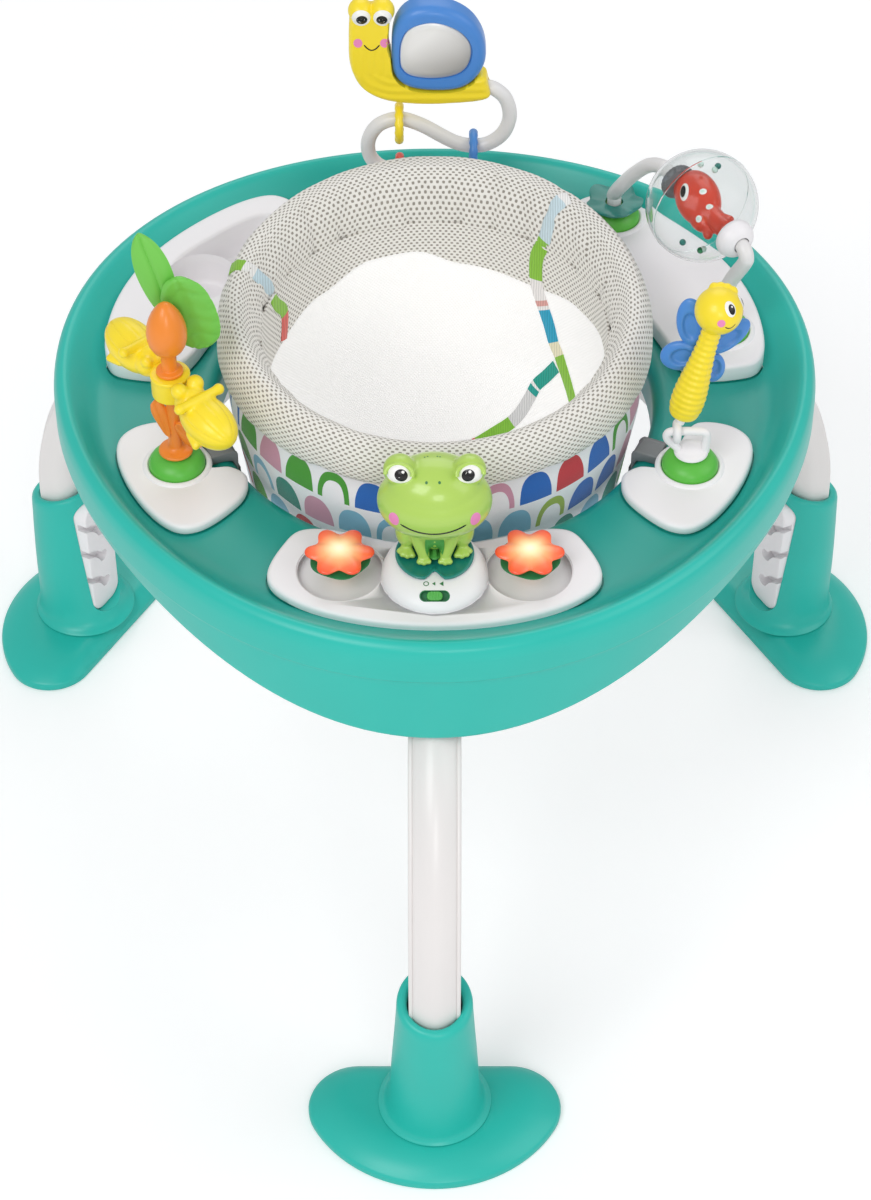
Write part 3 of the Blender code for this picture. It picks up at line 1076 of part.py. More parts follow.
def make_seat():
    """A hoop that carries the padded collar, the outer skirt and the inner sling."""
    bounce = bpy.data.objects.new("seat_bounce", None)
    bpy.data.collections[COLLECTIONS["parts"]].objects.link(bounce)
    bounce.parent = stand
    low = HOOP_TOP_HEIGHT - HOOP_HEIGHT
    hoop = [(HOOP_OUTER_RADIUS, HOOP_TOP_HEIGHT), (HOOP_OUTER_RADIUS, low), (HOOP_INNER_RADIUS, low),
            (HOOP_INNER_RADIUS, HOOP_TOP_HEIGHT)]
    add_piece("seat_hoop", turned(hoop, SEAT_SEGMENTS, closed=True), WHITE, bounce)

    base = HOOP_TOP_HEIGHT + SEAT_GAP
    mid = (SEAT_ROLL_RADIUS + SEAT_ROLL_INNER_RADIUS) / 2
    section = [(SEAT_ROLL_RADIUS - 0.006, base, 0), (SEAT_ROLL_RADIUS, base + 0.016, 0.15),
               (SEAT_ROLL_RADIUS - 0.001, base + 0.032, 0.7),
               (SEAT_ROLL_RADIUS - 0.008, base + 0.046, 0.97),
               (mid, base + 0.0545, 1), (SEAT_ROLL_INNER_RADIUS + 0.007, base + 0.047, 0.97),
               (SEAT_ROLL_INNER_RADIUS, base + 0.030, 0.6), (SEAT_ROLL_INNER_RADIUS + 0.003, base, 0)]
    shape = turned([(r, z) for r, z, share in section], 40, closed=True)
    rise = {round(r, 5): share for r, z, share in section}
    swing = (SEAT_ROLL_BACK_HEIGHT - SEAT_ROLL_FRONT_HEIGHT) / 2
    mean = (SEAT_ROLL_BACK_HEIGHT + SEAT_ROLL_FRONT_HEIGHT) / 2 - (base + 0.0545)
    for corner in shape.verts:
        radius = math.hypot(corner.co.x, corner.co.y)
        share = rise[min(rise, key=lambda r: abs(r - radius))]
        azimuth = math.atan2(corner.co.y, corner.co.x)
        pucker = 0.0012 * math.cos(9 * azimuth) * share
        corner.co.z += share * (mean + swing * math.sin(azimuth)) + pucker
    add_piece("seat_collar", shape, MESH, bounce, smooth=70)

    skirt_top = HOOP_OUTER_RADIUS + SEAT_GAP
    hem = SKIRT_HEM_RADIUS - SKIRT_CLOTH
    cloth_rings(bounce, "seat_skirt", PRINT, [
        (skirt_top, HOOP_TOP_HEIGHT), (skirt_top, low),
        *((hem + (skirt_top - hem) * out, low - (low - SKIRT_HEM_HEIGHT) * drop)
          for out, drop in ((1.07, 0.18), (0.675, 0.465), (0.31, 0.75))),
        (hem, SKIRT_HEM_HEIGHT)], SKIRT_CLOTH)
    sling_top = HOOP_INNER_RADIUS - SEAT_GAP - SKIRT_CLOTH
    sling_drop = low - SLING_BOTTOM_HEIGHT
    sling = cloth_rings(bounce, "seat_sling", CLOTH, [
        (sling_top, HOOP_TOP_HEIGHT), (sling_top, low),
        *((HOOP_INNER_RADIUS * out, SLING_BOTTOM_HEIGHT + sling_drop * rise)
          for out, rise in ((0.94, 0.767), (0.862, 0.509), (0.707, 0.25), (0.438, 0.069))),
        (0, SLING_BOTTOM_HEIGHT)], SKIRT_CLOTH)
    for azimuth in LEG_OPENING_AZIMUTHS:
        inner = polar(0.21 * HOOP_INNER_RADIUS, azimuth, SLING_BOTTOM_HEIGHT + 0.29 * sling_drop)
        outer = polar(0.99 * HOOP_INNER_RADIUS, azimuth, SLING_BOTTOM_HEIGHT + 0.16 * sling_drop)
        cut(sling, rod(inner, outer, LEG_OPENING_RADIUS, 20))


def cloth_rings(parent, name, finish, profile, thickness):
    """A sewn shell: the profile is its inner face, and the cloth's thickness lies outside."""
    outer = []
    for i, (radius, height) in enumerate(profile):
        before, after = profile[max(i - 1, 0)], profile[min(i + 1, len(profile) - 1)]
        run = Vector((after[0] - before[0], after[1] - before[1])).normalized()
        outer.append((max(radius - thickness * run.y, 0), height + thickness * run.x))
    if profile[-1][0] == 0:
        outer[-1] = (0, profile[-1][1] - thickness)
        return add_piece(name, turned(profile[::-1] + outer, SEAT_SEGMENTS), finish, parent, smooth=70)
    return add_piece(name, turned(profile + outer[::-1], SEAT_SEGMENTS, closed=True), finish, parent,
                     smooth=70)


def make_straps():
    """Three elastic straps that hang the seat's hem from clips on the tray's lip."""
    lip = HOLE_RADIUS + LIP_WIDTH
    top = DISH_HEIGHT + CLIP_HEIGHT
    wall = HOLE_RADIUS - 0.0012
    for place, azimuth in STRAP_AZIMUTHS.items():
        turn = Matrix.Rotation(math.radians(azimuth), 4, "Z")
        section = [(wall - 0.0022, DISH_HEIGHT - 0.017), (wall - 0.0022, top - 0.003), (wall + 0.002, top),
                   (wall + CLIP_LENGTH, top), (wall + CLIP_LENGTH, DISH_HEIGHT + SEAT_GAP + 0.0002),
                   (lip - 0.0002, DISH_HEIGHT + SEAT_GAP + 0.0002),
                   (HOLE_RADIUS + 0.0020, DISH_HEIGHT - 0.0018),
                   (wall, DISH_HEIGHT - 0.009), (wall, DISH_HEIGHT - 0.017)]
        clip = loft([[Vector((radius, across, height)) for radius, height in section]
                     for across in (-STRAP_WIDTH / 2, STRAP_WIDTH / 2)])
        bmesh.ops.transform(clip, matrix=turn, verts=clip.verts)
        add_piece(f"strap_clip_{place}", clip, GREY)
        high = Vector((wall - 0.0022 - SEAT_GAP - STRAP_THICKNESS / 2, 0, DISH_HEIGHT - 0.012))
        end = Vector((SKIRT_HEM_RADIUS + 0.0006 + STRAP_THICKNESS / 2, 0, SKIRT_HEM_HEIGHT + 0.003))
        strap = block((STRAP_THICKNESS, STRAP_WIDTH - 0.002, (high - end).length), (high + end) / 2,
                      Vector((0, 0, 1)).rotation_difference(high - end).to_matrix())
        bmesh.ops.transform(strap, matrix=turn, verts=strap.verts)
        add_piece(f"strap_{place}", strap, ELASTIC)


for old in list(bpy.data.objects):
    bpy.data.objects.remove(old, do_unlink=True)

COLLECTIONS = {"parts": "Baby activity jumper", "cutters": "Cutters"}
for title in COLLECTIONS.values():
    bpy.context.scene.collection.children.link(bpy.data.collections.new(title))

FRONT_REACH = FOOT_ARC_CENTRE + FOOT_ARC_RADIUS
REAR_REACH = RIM_RADIUS + SHOULDER - RIM_LOBE
stand = bpy.data.objects.new("stand", None)
bpy.data.collections[COLLECTIONS["parts"]].objects.link(stand)
stand.location = (0, (FRONT_REACH - REAR_REACH) / 2, 0)

make_tray()
make_underframe()
for leg_place, leg_azimuth in LEG_AZIMUTHS.items():
    make_leg(leg_place, leg_azimuth)
make_pods()
make_domes()
make_console()
make_flower("left", -1)
make_flower("right", 1)
make_frog()
make_palm()
make_dragonfly()
make_fish_toy()
make_snail()
make_seat()
make_straps()
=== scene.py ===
"""The looks of the baby activity jumper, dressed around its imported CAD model."""

import math

import bmesh
import bpy
from mathutils import Matrix, Vector


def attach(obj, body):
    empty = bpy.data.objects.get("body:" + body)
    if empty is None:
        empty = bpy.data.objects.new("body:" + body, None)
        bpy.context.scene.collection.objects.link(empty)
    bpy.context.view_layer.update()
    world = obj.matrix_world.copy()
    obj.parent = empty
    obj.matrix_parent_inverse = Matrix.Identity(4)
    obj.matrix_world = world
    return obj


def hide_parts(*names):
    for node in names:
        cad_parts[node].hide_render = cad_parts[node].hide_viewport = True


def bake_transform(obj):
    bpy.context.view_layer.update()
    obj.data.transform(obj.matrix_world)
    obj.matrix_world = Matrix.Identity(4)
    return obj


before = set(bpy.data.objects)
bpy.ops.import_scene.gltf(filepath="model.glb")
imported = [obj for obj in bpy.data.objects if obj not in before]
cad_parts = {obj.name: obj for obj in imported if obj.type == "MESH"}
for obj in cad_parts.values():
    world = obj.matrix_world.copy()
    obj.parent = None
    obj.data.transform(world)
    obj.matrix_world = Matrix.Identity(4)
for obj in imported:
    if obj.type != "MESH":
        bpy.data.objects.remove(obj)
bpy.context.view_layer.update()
bpy.ops.object.select_all(action="DESELECT")


# Camera, floor and lights.
# The toy stands on a seamless white studio floor. Large soft lamps from the front, the left and above
# leave only a faint shadow under the tray and round the feet.

CAMERA_HEIGHT = 2.0987
CAMERA_BACK = -1.7940
CAMERA_PITCH = 45.13
FOCAL_LENGTH = 91.74

bpy.ops.object.camera_add(location=(0, CAMERA_BACK, CAMERA_HEIGHT),
                          rotation=(math.radians(90 - CAMERA_PITCH), 0, 0))
camera = bpy.context.object
camera.data.lens = FOCAL_LENGTH
camera.data.sensor_width = 36
camera.data.shift_x = 0.0007
bpy.context.scene.camera = camera
bpy.context.scene.view_settings.view_transform = "Standard"


def linear(colour):
    """A hex sRGB colour, as the linear colour that a shader takes."""
    srgb = [int(colour[i:i + 2], 16) / 255 for i in (0, 2, 4)]
    return (*(c / 12.92 if c <= 0.04045 else ((c + 0.055) / 1.055) ** 2.4 for c in srgb), 1.0)


def add_node(tree, kind, settings=None, links=None):
    """Adds a node, sets its properties and sockets by name, and links sockets to it."""
    node = tree.nodes.new(kind)
    for key, value in (settings or {}).items():
        if isinstance(key, str) and hasattr(node, key):
            setattr(node, key, value)
        else:
            node.inputs[key].default_value = value
    for key, source in (links or {}).items():
        tree.links.new(source, node.inputs[key])
    return node


def new_material(name, settings):
    """A new material with its shader's inputs set by name, its node tree and its shader."""
    made = bpy.data.materials.new(name)
    made.use_nodes = True
    shader = made.node_tree.nodes["Principled BSDF"]
    for key, value in settings.items():
        shader.inputs[key].default_value = value
    return made, made.node_tree, shader


# Seamless white paper: matt, and shown as plain white to the camera where no shadow falls
paper, tree, shader = new_material("white studio paper", {
    "Base Color": linear("F7F7F7"), "Roughness": 0.9, "Specular IOR Level": 0.1, "Emission Color": (0.2, 0.2, 0.2, 1)})
lift = add_node(tree, "ShaderNodeLightPath")
tree.links.new(lift.outputs["Is Camera Ray"], shader.inputs["Emission Strength"])

bpy.ops.mesh.primitive_plane_add(size=16, location=(0, 3, 0))
floor = bpy.context.object
floor.name = "studio_floor"
floor.data.materials.append(paper)

world = bpy.data.worlds.new("studio")
bpy.context.scene.world = world
world.use_nodes = True
room = world.node_tree
surroundings = room.nodes["Background"]
surroundings.inputs["Color"].default_value = linear("F2F3F5")
surroundings.inputs["Strength"].default_value = 0.60
backdrop = add_node(room, "ShaderNodeBackground", {"Color": (1, 1, 1, 1), "Strength": 1.0})
ray = add_node(room, "ShaderNodeLightPath")
shown = add_node(room, "ShaderNodeMixShader", None, {0: ray.outputs["Is Camera Ray"],
                                                     1: surroundings.outputs[0], 2: backdrop.outputs[0]})
room.links.new(shown.outputs[0], room.nodes["World Output"].inputs["Surface"])

for lamp_name, lamp_place, lamp_size, lamp_power in (
        ("key", (-1.5, -2.2, 3.0), 1.8, 44),
        ("front", (0.35, -3.0, 1.7), 1.0, 14),
        ("fill", (2.4, -0.6, 2.2), 2.0, 16),
        ("back", (0.2, 2.4, 2.8), 2.2, 20)):
    bpy.ops.object.light_add(type="AREA", location=lamp_place)
    lamp = bpy.context.object
    lamp.name = f"{lamp_name}_softbox"
    lamp.data.size = lamp_size
    lamp.data.energy = lamp_power
    aim = Vector((0, 0.05, 0.35)) - Vector(lamp_place)
    lamp.rotation_euler = aim.to_track_quat("-Z", "Y").to_euler()
bpy.ops.object.select_all(action="DESELECT")


# The tray.
# One large moulding in teal polypropylene: a flat dish round the seat hole, a rolled rim that rises
# towards each leg, and an outer skirt that hangs lowest over the legs.

AXIS_Y = 0.07925
MM = 0.001
HOLE_RADIUS = 177.0
DISH_HEIGHT = 457.0
DISH_FLAT_RADIUS = 268.0
RIM_RADIUS = 300.0
RIM_HEIGHT = 482.0
RIM_LOBE = 7.5
SKIRT_TOP = 445.0
SKIRT_EDGE = 405.0
SKIRT_WAVE = 25.0
TRAY_STEPS = 180
# Radii in metres between which the painted shade in the dish fades out towards the rim
SHADE_FROM, SHADE_TO = 0.262, 0.298


def texture(tree, kind, settings):
    """A texture that is laid out in the piece's own space."""
    place = add_node(tree, "ShaderNodeTexCoord")
    return add_node(tree, f"ShaderNodeTex{kind}", settings, {"Vector": place.outputs["Object"]}).outputs["Fac"]


def raise_relief(tree, shader, height, strength, distance):
    """Gives a material relief from a height, by a strength and a distance in metres."""
    bump = add_node(tree, "ShaderNodeBump", {"Strength": strength, "Distance": distance}, {"Height": height})
    tree.links.new(bump.outputs["Normal"], shader.inputs["Normal"])


def moulded_plastic(name, colour, roughness, grain=0.5, streak=0.05, sheen=0.0):
    """Injection-moulded plastic: even colour with a faint cloudiness, and a fine eroded grain."""
    made, tree, shader = new_material(name, {"IOR": 1.49, "Coat Weight": sheen, "Coat Roughness": 0.12})
    cloud = texture(tree, "Noise", {"Scale": 14.0, "Detail": 2.0})
    rgb = linear(colour)[:3]
    tone = add_node(tree, "ShaderNodeMix", {"data_type": "RGBA"}, {"Factor": cloud})
    tone.inputs[6].default_value = (*(c * (1 - streak) for c in rgb), 1)
    tone.inputs[7].default_value = (*(min(c * (1 + streak), 1) for c in rgb), 1)
    tree.links.new(tone.outputs[2], shader.inputs["Base Color"])
    wear = add_node(tree, "ShaderNodeMapRange", {"To Min": roughness - 0.04, "To Max": roughness + 0.05},
                    {"Value": cloud})
    tree.links.new(wear.outputs["Result"], shader.inputs["Roughness"])
    raise_relief(tree, shader, texture(tree, "Noise", {"Scale": 1000 / grain, "Detail": 3.0}), 0.10, 0.0002)
    return made


# Polypropylene with a satin, spark-eroded surface: soft broad highlights and no mirror reflections
teal_plastic = moulded_plastic("satin teal polypropylene", "26BDAF", 0.34)
white_plastic = moulded_plastic("satin white polypropylene", "F3F0F2", 0.38, streak=0.015)


def faces_outward(piece):
    """Turns a closed piece's faces outward, by the sign of its volume."""
    work = bmesh.new()
    work.from_mesh(piece.data)
    bmesh.ops.recalc_face_normals(work, faces=work.faces)
    if work.calc_volume(signed=True) < 0:
        bmesh.ops.reverse_faces(work, faces=work.faces)
    work.to_mesh(piece.data)
    work.free()
    return piece


def lone(piece):
    """Makes a piece the only one that is selected, and the active one."""
    if bpy.context.object and bpy.context.mode != "OBJECT":
        bpy.ops.object.mode_set(mode="OBJECT")
    bpy.ops.object.select_all(action="DESELECT")
    piece.select_set(True)
    bpy.context.view_layer.objects.active = piece


def finish_mesh(piece, material, angle=35):
    """Applies the piece's modifiers, moves its place into its mesh, and smooths its soft edges."""
    lone(piece)
    for step in list(piece.modifiers):
        bpy.ops.object.modifier_apply(modifier=step.name)
    bpy.ops.object.transform_apply(location=True, rotation=True, scale=True)
    piece.data.materials.clear()
    piece.data.materials.append(material)
    bpy.ops.object.shade_smooth_by_angle(angle=math.radians(angle))
    return piece


def enter(piece, body, node=None):
    """Says which CAD node a piece stands for, if any, and which body it is on."""
    if node:
        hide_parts(node)
    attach(piece, body)


def dress(piece, material, angle, body, node=None):
    """Finishes a piece's mesh and enters it."""
    enter(finish_mesh(piece, material, angle), body, node)


def spun(name, profile, steps, centre=(0.0, 0.0), closed=False):
    """Draws a section of (radius, height) in mm by extruding a point, and spins it upright."""
    bpy.ops.mesh.primitive_plane_add(size=1, location=(0, 0, 0))
    piece = bpy.context.object
    piece.name = name
    bpy.ops.object.mode_set(mode="EDIT")
    bpy.ops.mesh.merge(type="CENTER")
    start = Vector((profile[0][0] * MM, 0, profile[0][1] * MM))
    bpy.ops.transform.translate(value=start)
    for before, after in zip(profile, profile[1:]):
        step = ((after[0] - before[0]) * MM, 0, (after[1] - before[1]) * MM)
        bpy.ops.mesh.extrude_region_move(TRANSFORM_OT_translate={"value": step})
    bpy.ops.mesh.select_all(action="SELECT")
    if closed:
        work = bmesh.from_edit_mesh(piece.data)
        work.edges.new([corner for corner in work.verts if len(corner.link_edges) == 1])
        bmesh.update_edit_mesh(piece.data)
    bpy.ops.mesh.spin(steps=steps, angle=2 * math.pi, center=(0, 0, 0), axis=(0, 0, 1))
    bpy.ops.mesh.select_all(action="SELECT")
    bpy.ops.mesh.remove_doubles(threshold=0.00002)
    bpy.ops.mesh.normals_make_consistent(inside=False)
    bpy.ops.transform.translate(value=(centre[0] * MM, centre[1] * MM, 0))
    bpy.ops.object.mode_set(mode="OBJECT")
    return faces_outward(piece)


def rounded(points, radius, steps=3):
    """Rounds the inner corners of a chain of (x, y) points."""
    chain = [points[0]]
    for before, corner, after in zip(points, points[1:], points[2:]):
        to_before = Vector(before) - Vector(corner)
        to_after = Vector(after) - Vector(corner)
        reach = min(radius, to_before.length * 0.45, to_after.length * 0.45)
        first = Vector(corner) + to_before.normalized() * reach
        last = Vector(corner) + to_after.normalized() * reach
        for step in range(steps + 1):
            t = step / steps
            chain.append(tuple((1 - t) ** 2 * first + 2 * t * (1 - t) * Vector(corner) + t * t * last))
    return chain + [points[-1]]


def wave(azimuth):
    """1 over each leg, and -1 halfway between two legs."""
    return math.cos(3 * (azimuth + math.pi / 2))


def lobed_radius(radius, azimuth):
    """The tray's rim stands out over each leg and draws in between two legs."""
    share = min(max((radius - DISH_FLAT_RADIUS) / (RIM_RADIUS - DISH_FLAT_RADIUS), 0), 1)
    return radius + RIM_LOBE * wave(azimuth) * share * share * (3 - 2 * share)


outer_skin = rounded([
    (HOLE_RADIUS, 420), (HOLE_RADIUS, 448), (180, 454), (187, DISH_HEIGHT), (262, DISH_HEIGHT),
    (273, 459), (281, 464.5), (289, 473), (295, 479.5), (RIM_RADIUS, RIM_HEIGHT), (306, 478.5),
    (308.6, 470), (308.8, 447.2), (307.3, 446.2), (306.6, SKIRT_TOP - 2), (303.6, SKIRT_EDGE + 1.2),
    (302.8, SKIRT_EDGE)], 4)
inner_skin = [(300.2, SKIRT_EDGE), (303.6, SKIRT_TOP), (304.6, 468), (300, 477.8), (292, 470.5),
              (283, 461), (274, 455.6), (262, 454), (187, 454), (182, 451), (180, 446), (180, 420)]

# Painted shade: the dish is coloured a darker teal than the rim, for the shade that falls in it, though the
# polypropylene is the same
tray_plastic_with_painted_shade = teal_plastic.copy()
tray_plastic_with_painted_shade.name = "satin teal polypropylene of the tray"
tree = tray_plastic_with_painted_shade.node_tree
shader = tree.nodes["Principled BSDF"]
tone = shader.inputs["Base Color"].links[0].from_socket
place = add_node(tree, "ShaderNodeTexCoord")
level = add_node(tree, "ShaderNodeVectorMath", {"operation": "MULTIPLY_ADD"}, {"Vector": place.outputs["Object"]})
level.inputs[1].default_value = (1, 1, 0)
level.inputs[2].default_value = (0, -AXIS_Y, 0)
from_axis = add_node(tree, "ShaderNodeVectorMath", {"operation": "LENGTH"}, {"Vector": level.outputs["Vector"]})
# Painted shade at full strength inside the dish, fading to none towards the rim
depth = add_node(tree, "ShaderNodeMapRange", {"From Min": SHADE_FROM, "From Max": SHADE_TO, "To Min": 0.7,
                                              "To Max": 0.0}, {"Value": from_axis.outputs["Value"]})
painted_dish_shade = add_node(tree, "ShaderNodeMix", {"data_type": "RGBA"}, {"Factor": depth.outputs["Result"]})
tree.links.new(tone, painted_dish_shade.inputs[6])
# The colour of the painted shade in the dish
painted_dish_shade.inputs[7].default_value = linear("159084")
tree.links.new(painted_dish_shade.outputs[2], shader.inputs["Base Color"])

tray = spun("tray", outer_skin + inner_skin, TRAY_STEPS, closed=True)
for corner in tray.data.vertices:
    radius = math.hypot(corner.co.x, corner.co.y) / MM
    azimuth = math.atan2(corner.co.y, corner.co.x)
    height = corner.co.z / MM
    if radius > 290 and height < SKIRT_TOP:
        height -= SKIRT_WAVE * wave(azimuth) * (SKIRT_TOP - height) / (SKIRT_TOP - SKIRT_EDGE)
    grown = lobed_radius(radius, azimuth)
    corner.co = (grown * MM * math.cos(azimuth), grown * MM * math.sin(azimuth) + AXIS_Y, height * MM)
dress(tray, tray_plastic_with_painted_shade, 35, "stand", "tray_top")


# The underframe.
# A white moulded ring is screwed under the dish, with three sockets that the leg tubes are pushed into.
# Its shape is as modelled, so it only takes a finish.


def finish_node(name, material):
    """Gives its material to a CAD node that shows as modelled."""
    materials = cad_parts[name].data.materials
    materials.clear()
    materials.append(material)


finish_node("tray_underframe", white_plastic)


# The legs.
# Three identical steel tubes with a D section, powder-coated in a warm white. A round bead runs down each
# edge of the curved outer face, with a groove beside it. They bend inwards under the tray.

LEG_AZIMUTHS = {"front": -90.0, "right": 30.0, "left": 150.0}
LEG_STAND_RADIUS = 396.5
LEG_BOTTOM = 42.0
LEG_BEND_START = 170.0
LEG_TOP_RADIUS = 262.0
LEG_TOP = 374.0
LEG_TAIL = 40.0
LEG_FACE = 20.5
LEG_BEAD = 2.1


def lofted(name, rings, caps=True):
    """Shapes a grid into a skin through rings of points in mm, closes its seam and fills its ends."""
    around = len(rings[0])
    bpy.ops.object.select_all(action="DESELECT")
    bpy.ops.mesh.primitive_grid_add(x_subdivisions=around, y_subdivisions=len(rings) - 1, size=1)
    piece = bpy.context.object
    piece.name = name
    places = [coordinate * MM for ring in rings for k in range(around + 1) for coordinate in ring[k % around]]
    piece.data.vertices.foreach_set("co", places)
    bpy.ops.object.mode_set(mode="EDIT")
    bpy.ops.mesh.select_all(action="SELECT")
    bpy.ops.mesh.remove_doubles(threshold=0.000005)
    if caps:
        bpy.ops.mesh.fill_holes(sides=0)
    bpy.ops.object.mode_set(mode="OBJECT")
    return faces_outward(piece)


def on_each_leg(pattern, material, angle, name, node):
    """Finishes a pattern, stands a copy with its own mesh at each leg, and removes the pattern."""
    axis = Matrix.Translation((0, AXIS_Y, 0))
    pattern.data.transform(axis)
    finish_mesh(pattern, material, angle)
    for place, azimuth in LEG_AZIMUTHS.items():
        lone(pattern)
        bpy.ops.object.duplicate(linked=False)
        twin = bpy.context.object
        twin.name = f"{name}_{place}"
        twin.data.transform(axis @ Matrix.Rotation(math.radians(azimuth), 4, "Z") @ axis.inverted())
        enter(twin, "stand", f"{node}_{place}")
    bpy.data.objects.remove(pattern)


def leg_section():
    """Half of the D section as (out, across), from the middle of the outer face to the middle of the back."""
    half = [(13 + 7.0 * math.cos(math.pi / 2 * k / 8), 16.6 * k / 8) for k in range(9)]
    half += [(11.9, 17.1)]
    half += [(10.6 + LEG_BEAD * math.sin(math.radians(a)), 18.4 + LEG_BEAD * math.cos(math.radians(a)))
             for a in (115, 85, 55, 25, -5)]
    half += [(4.0, LEG_FACE)] + [(-2 - 18 * math.sin(math.radians(a)), LEG_FACE * math.cos(math.radians(a)))
                                 for a in (0, 15, 30, 45, 60, 75, 90)]
    return half


half_section = leg_section()
whole_section = half_section + [(out, -across) for out, across in reversed(half_section[1:-1])]
bend = [Vector((LEG_STAND_RADIUS, LEG_BEND_START)), Vector((LEG_STAND_RADIUS, LEG_BEND_START + 100)),
        Vector((LEG_TOP_RADIUS + 73, LEG_TOP - 22)), Vector((LEG_TOP_RADIUS, LEG_TOP))]
leg_line = [Vector((LEG_STAND_RADIUS, LEG_BOTTOM)), Vector((LEG_STAND_RADIUS, 110))]
for i in range(25):
    t = i / 24
    leg_line.append((1 - t) ** 3 * bend[0] + 3 * t * (1 - t) ** 2 * bend[1]
                    + 3 * t * t * (1 - t) * bend[2] + t ** 3 * bend[3])
leg_line.append(leg_line[-1] + (leg_line[-1] - leg_line[-2]).normalized() * LEG_TAIL)
leg_rings = []
for i, knot in enumerate(leg_line):
    run = (leg_line[min(i + 1, len(leg_line) - 1)] - leg_line[max(i - 1, 0)]).normalized()
    leg_rings.append([(knot.x + out * run.y, across, knot.y - out * run.x) for out, across in whole_section])
# Powder coat over steel: a warm white with a slight orange-peel texture and a soft, wide gloss
powder_coat = moulded_plastic("warm white powder coat", "E9E5E3", 0.30, grain=1.6, streak=0.01)
on_each_leg(lofted("leg_pattern", leg_rings), powder_coat, 40, "leg_tube", "leg")


# The boots.
# Each leg stands in a hollow teal boot, moulded like the tray. Its round flange sweeps up to a slanted
# mouth with a thick rounded lip, and a pocket in its inner side takes the slot panel.

FLANGE_RADIUS = 46.5
FLANGE_CENTRE = 386.0
MOUTH_SLOPE = 0.31
PANEL_WIDTH = 40.0
PANEL_BOTTOM = 34.0
PANEL_TOP = 166.0
PANEL_FACE = 359.5
PANEL_BACK = 374.5
PANEL_CORNER = 14.0

boot_rings = []
for radius, centre, height, slope in (
        (30, FLANGE_CENTRE, 20.3, 0), (FLANGE_RADIUS - 0.8, FLANGE_CENTRE, 20.3, 0),
        (FLANGE_RADIUS, FLANGE_CENTRE, 20.9, 0), (FLANGE_RADIUS, FLANGE_CENTRE, 21.5, 0),
        (FLANGE_RADIUS - 0.9, FLANGE_CENTRE + 0.1, 22.4, 0), (44.0, 386.6, 23.4, 0), (42.0, 387.6, 25.4, 0),
        (40.0, 389.0, 29.2, 0), (38.3, 390.4, 36, 0), (37.2, 391.4, 45, 0), (36.5, 392.1, 57, 0),
        (35.6, 393.2, 75, 0), (34.5, 394.2, 95, 0), (33.3, 395.0, 113, 0.03), (32.2, 395.7, 130, 0.10),
        (31.2, 396.2, 146, 0.20), (30.6, 396.5, 158, 0.27), (30.4, 396.5, 163.6, MOUTH_SLOPE),
        (29.9, 396.5, 166.0, MOUTH_SLOPE), (28.7, 396.5, 167.8, MOUTH_SLOPE), (27.0, 396.5, 168.7, MOUTH_SLOPE),
        (25.2, 396.5, 168.7, MOUTH_SLOPE), (23.5, 396.5, 167.8, MOUTH_SLOPE),
        (22.3, 396.5, 166.0, MOUTH_SLOPE), (21.9, 396.5, 163.0, MOUTH_SLOPE), (21.8, 396.5, 140, 0.1),
        (21.8, 396.5, 118, 0)):
    boot_rings.append([(centre + radius * math.cos(a), radius * math.sin(a),
                        height - slope * radius * math.cos(a))
                       for a in (2 * math.pi * k / 64 for k in range(64))])
boot = lofted("boot_pattern", boot_rings)


def panel_outline(growth):
    """The slot panel's rounded outline as (across, height)."""
    half, corner = PANEL_WIDTH / 2 + growth, PANEL_CORNER + growth
    points = []
    for across, height, start in ((1, PANEL_BOTTOM - growth, -90), (1, PANEL_TOP + growth, 0),
                                  (-1, PANEL_TOP + growth, 90), (-1, PANEL_BOTTOM - growth, 180)):
        middle = height - corner if height > 100 else height + corner
        for k in range(9):
            angle = math.radians(start + 90 * k / 8)
            points.append((across * (half - corner) + corner * math.cos(angle),
                           middle + corner * math.sin(angle)))
    return points


def bar(name, outline, near, far):
    """Raises an (across, height) outline between two distances from the tray's axis."""
    return lofted(name, [[(radius, across, height) for across, height in outline] for radius in (near, far)])


def combined(piece, tool, operation):
    """Joins a closed shape on a piece or cuts it out, and removes it."""
    lone(piece)
    step = piece.modifiers.new("combine", "BOOLEAN")
    step.operation, step.solver, step.object = operation, "EXACT", tool
    bpy.ops.object.modifier_apply(modifier=step.name)
    bpy.data.objects.remove(tool)


def cut_away(piece, tool):
    """Cuts one piece's shape out of another, and removes the tool."""
    combined(piece, tool, "DIFFERENCE")


cut_away(boot, bar("panel_pocket", panel_outline(0.5), PANEL_FACE - 30, PANEL_BACK + 0.5))
on_each_leg(boot, teal_plastic, 35, "boot_sleeve", "boot")


# The slot panels.
# A white moulded plate snaps into each boot. Hook-shaped slots stand one above another in it, each a round
# pocket with a channel that climbs to the plate's edge.

SLOT_PITCH = 33.0
SLOT_FIRST = 62.0
SLOT_DEPTH = 10.0


def rounded_edges(piece, width, segments):
    """Rounds a piece's sharp edges by a width in mm."""
    lone(piece)
    step = piece.modifiers.new("round", "BEVEL")
    step.width, step.segments = width * MM, segments
    step.limit_method, step.angle_limit = "ANGLE", math.radians(50)
    bpy.ops.object.modifier_apply(modifier=step.name)


def slot_path(height, side):
    """A round pocket and its climbing channel, as one outline."""
    middle, half = -1.5, 6.0
    pocket = [(middle + half * math.cos(math.radians(a)), height + half * math.sin(math.radians(a)))
              for a in range(75, 331, 15)]
    channel = [(middle + 6.2, height - 1.0), (middle + 9.5, height + 4.5), (14.5, height + 9.8),
               (24.5, height + 14.0), (24.5, height + 21.5), (13.0, height + 16.8),
               (middle + 7.0, height + 11.5), (middle + 3.6, height + 7.2)]
    return [(side * across, up) for across, up in pocket + rounded(channel, 3)]


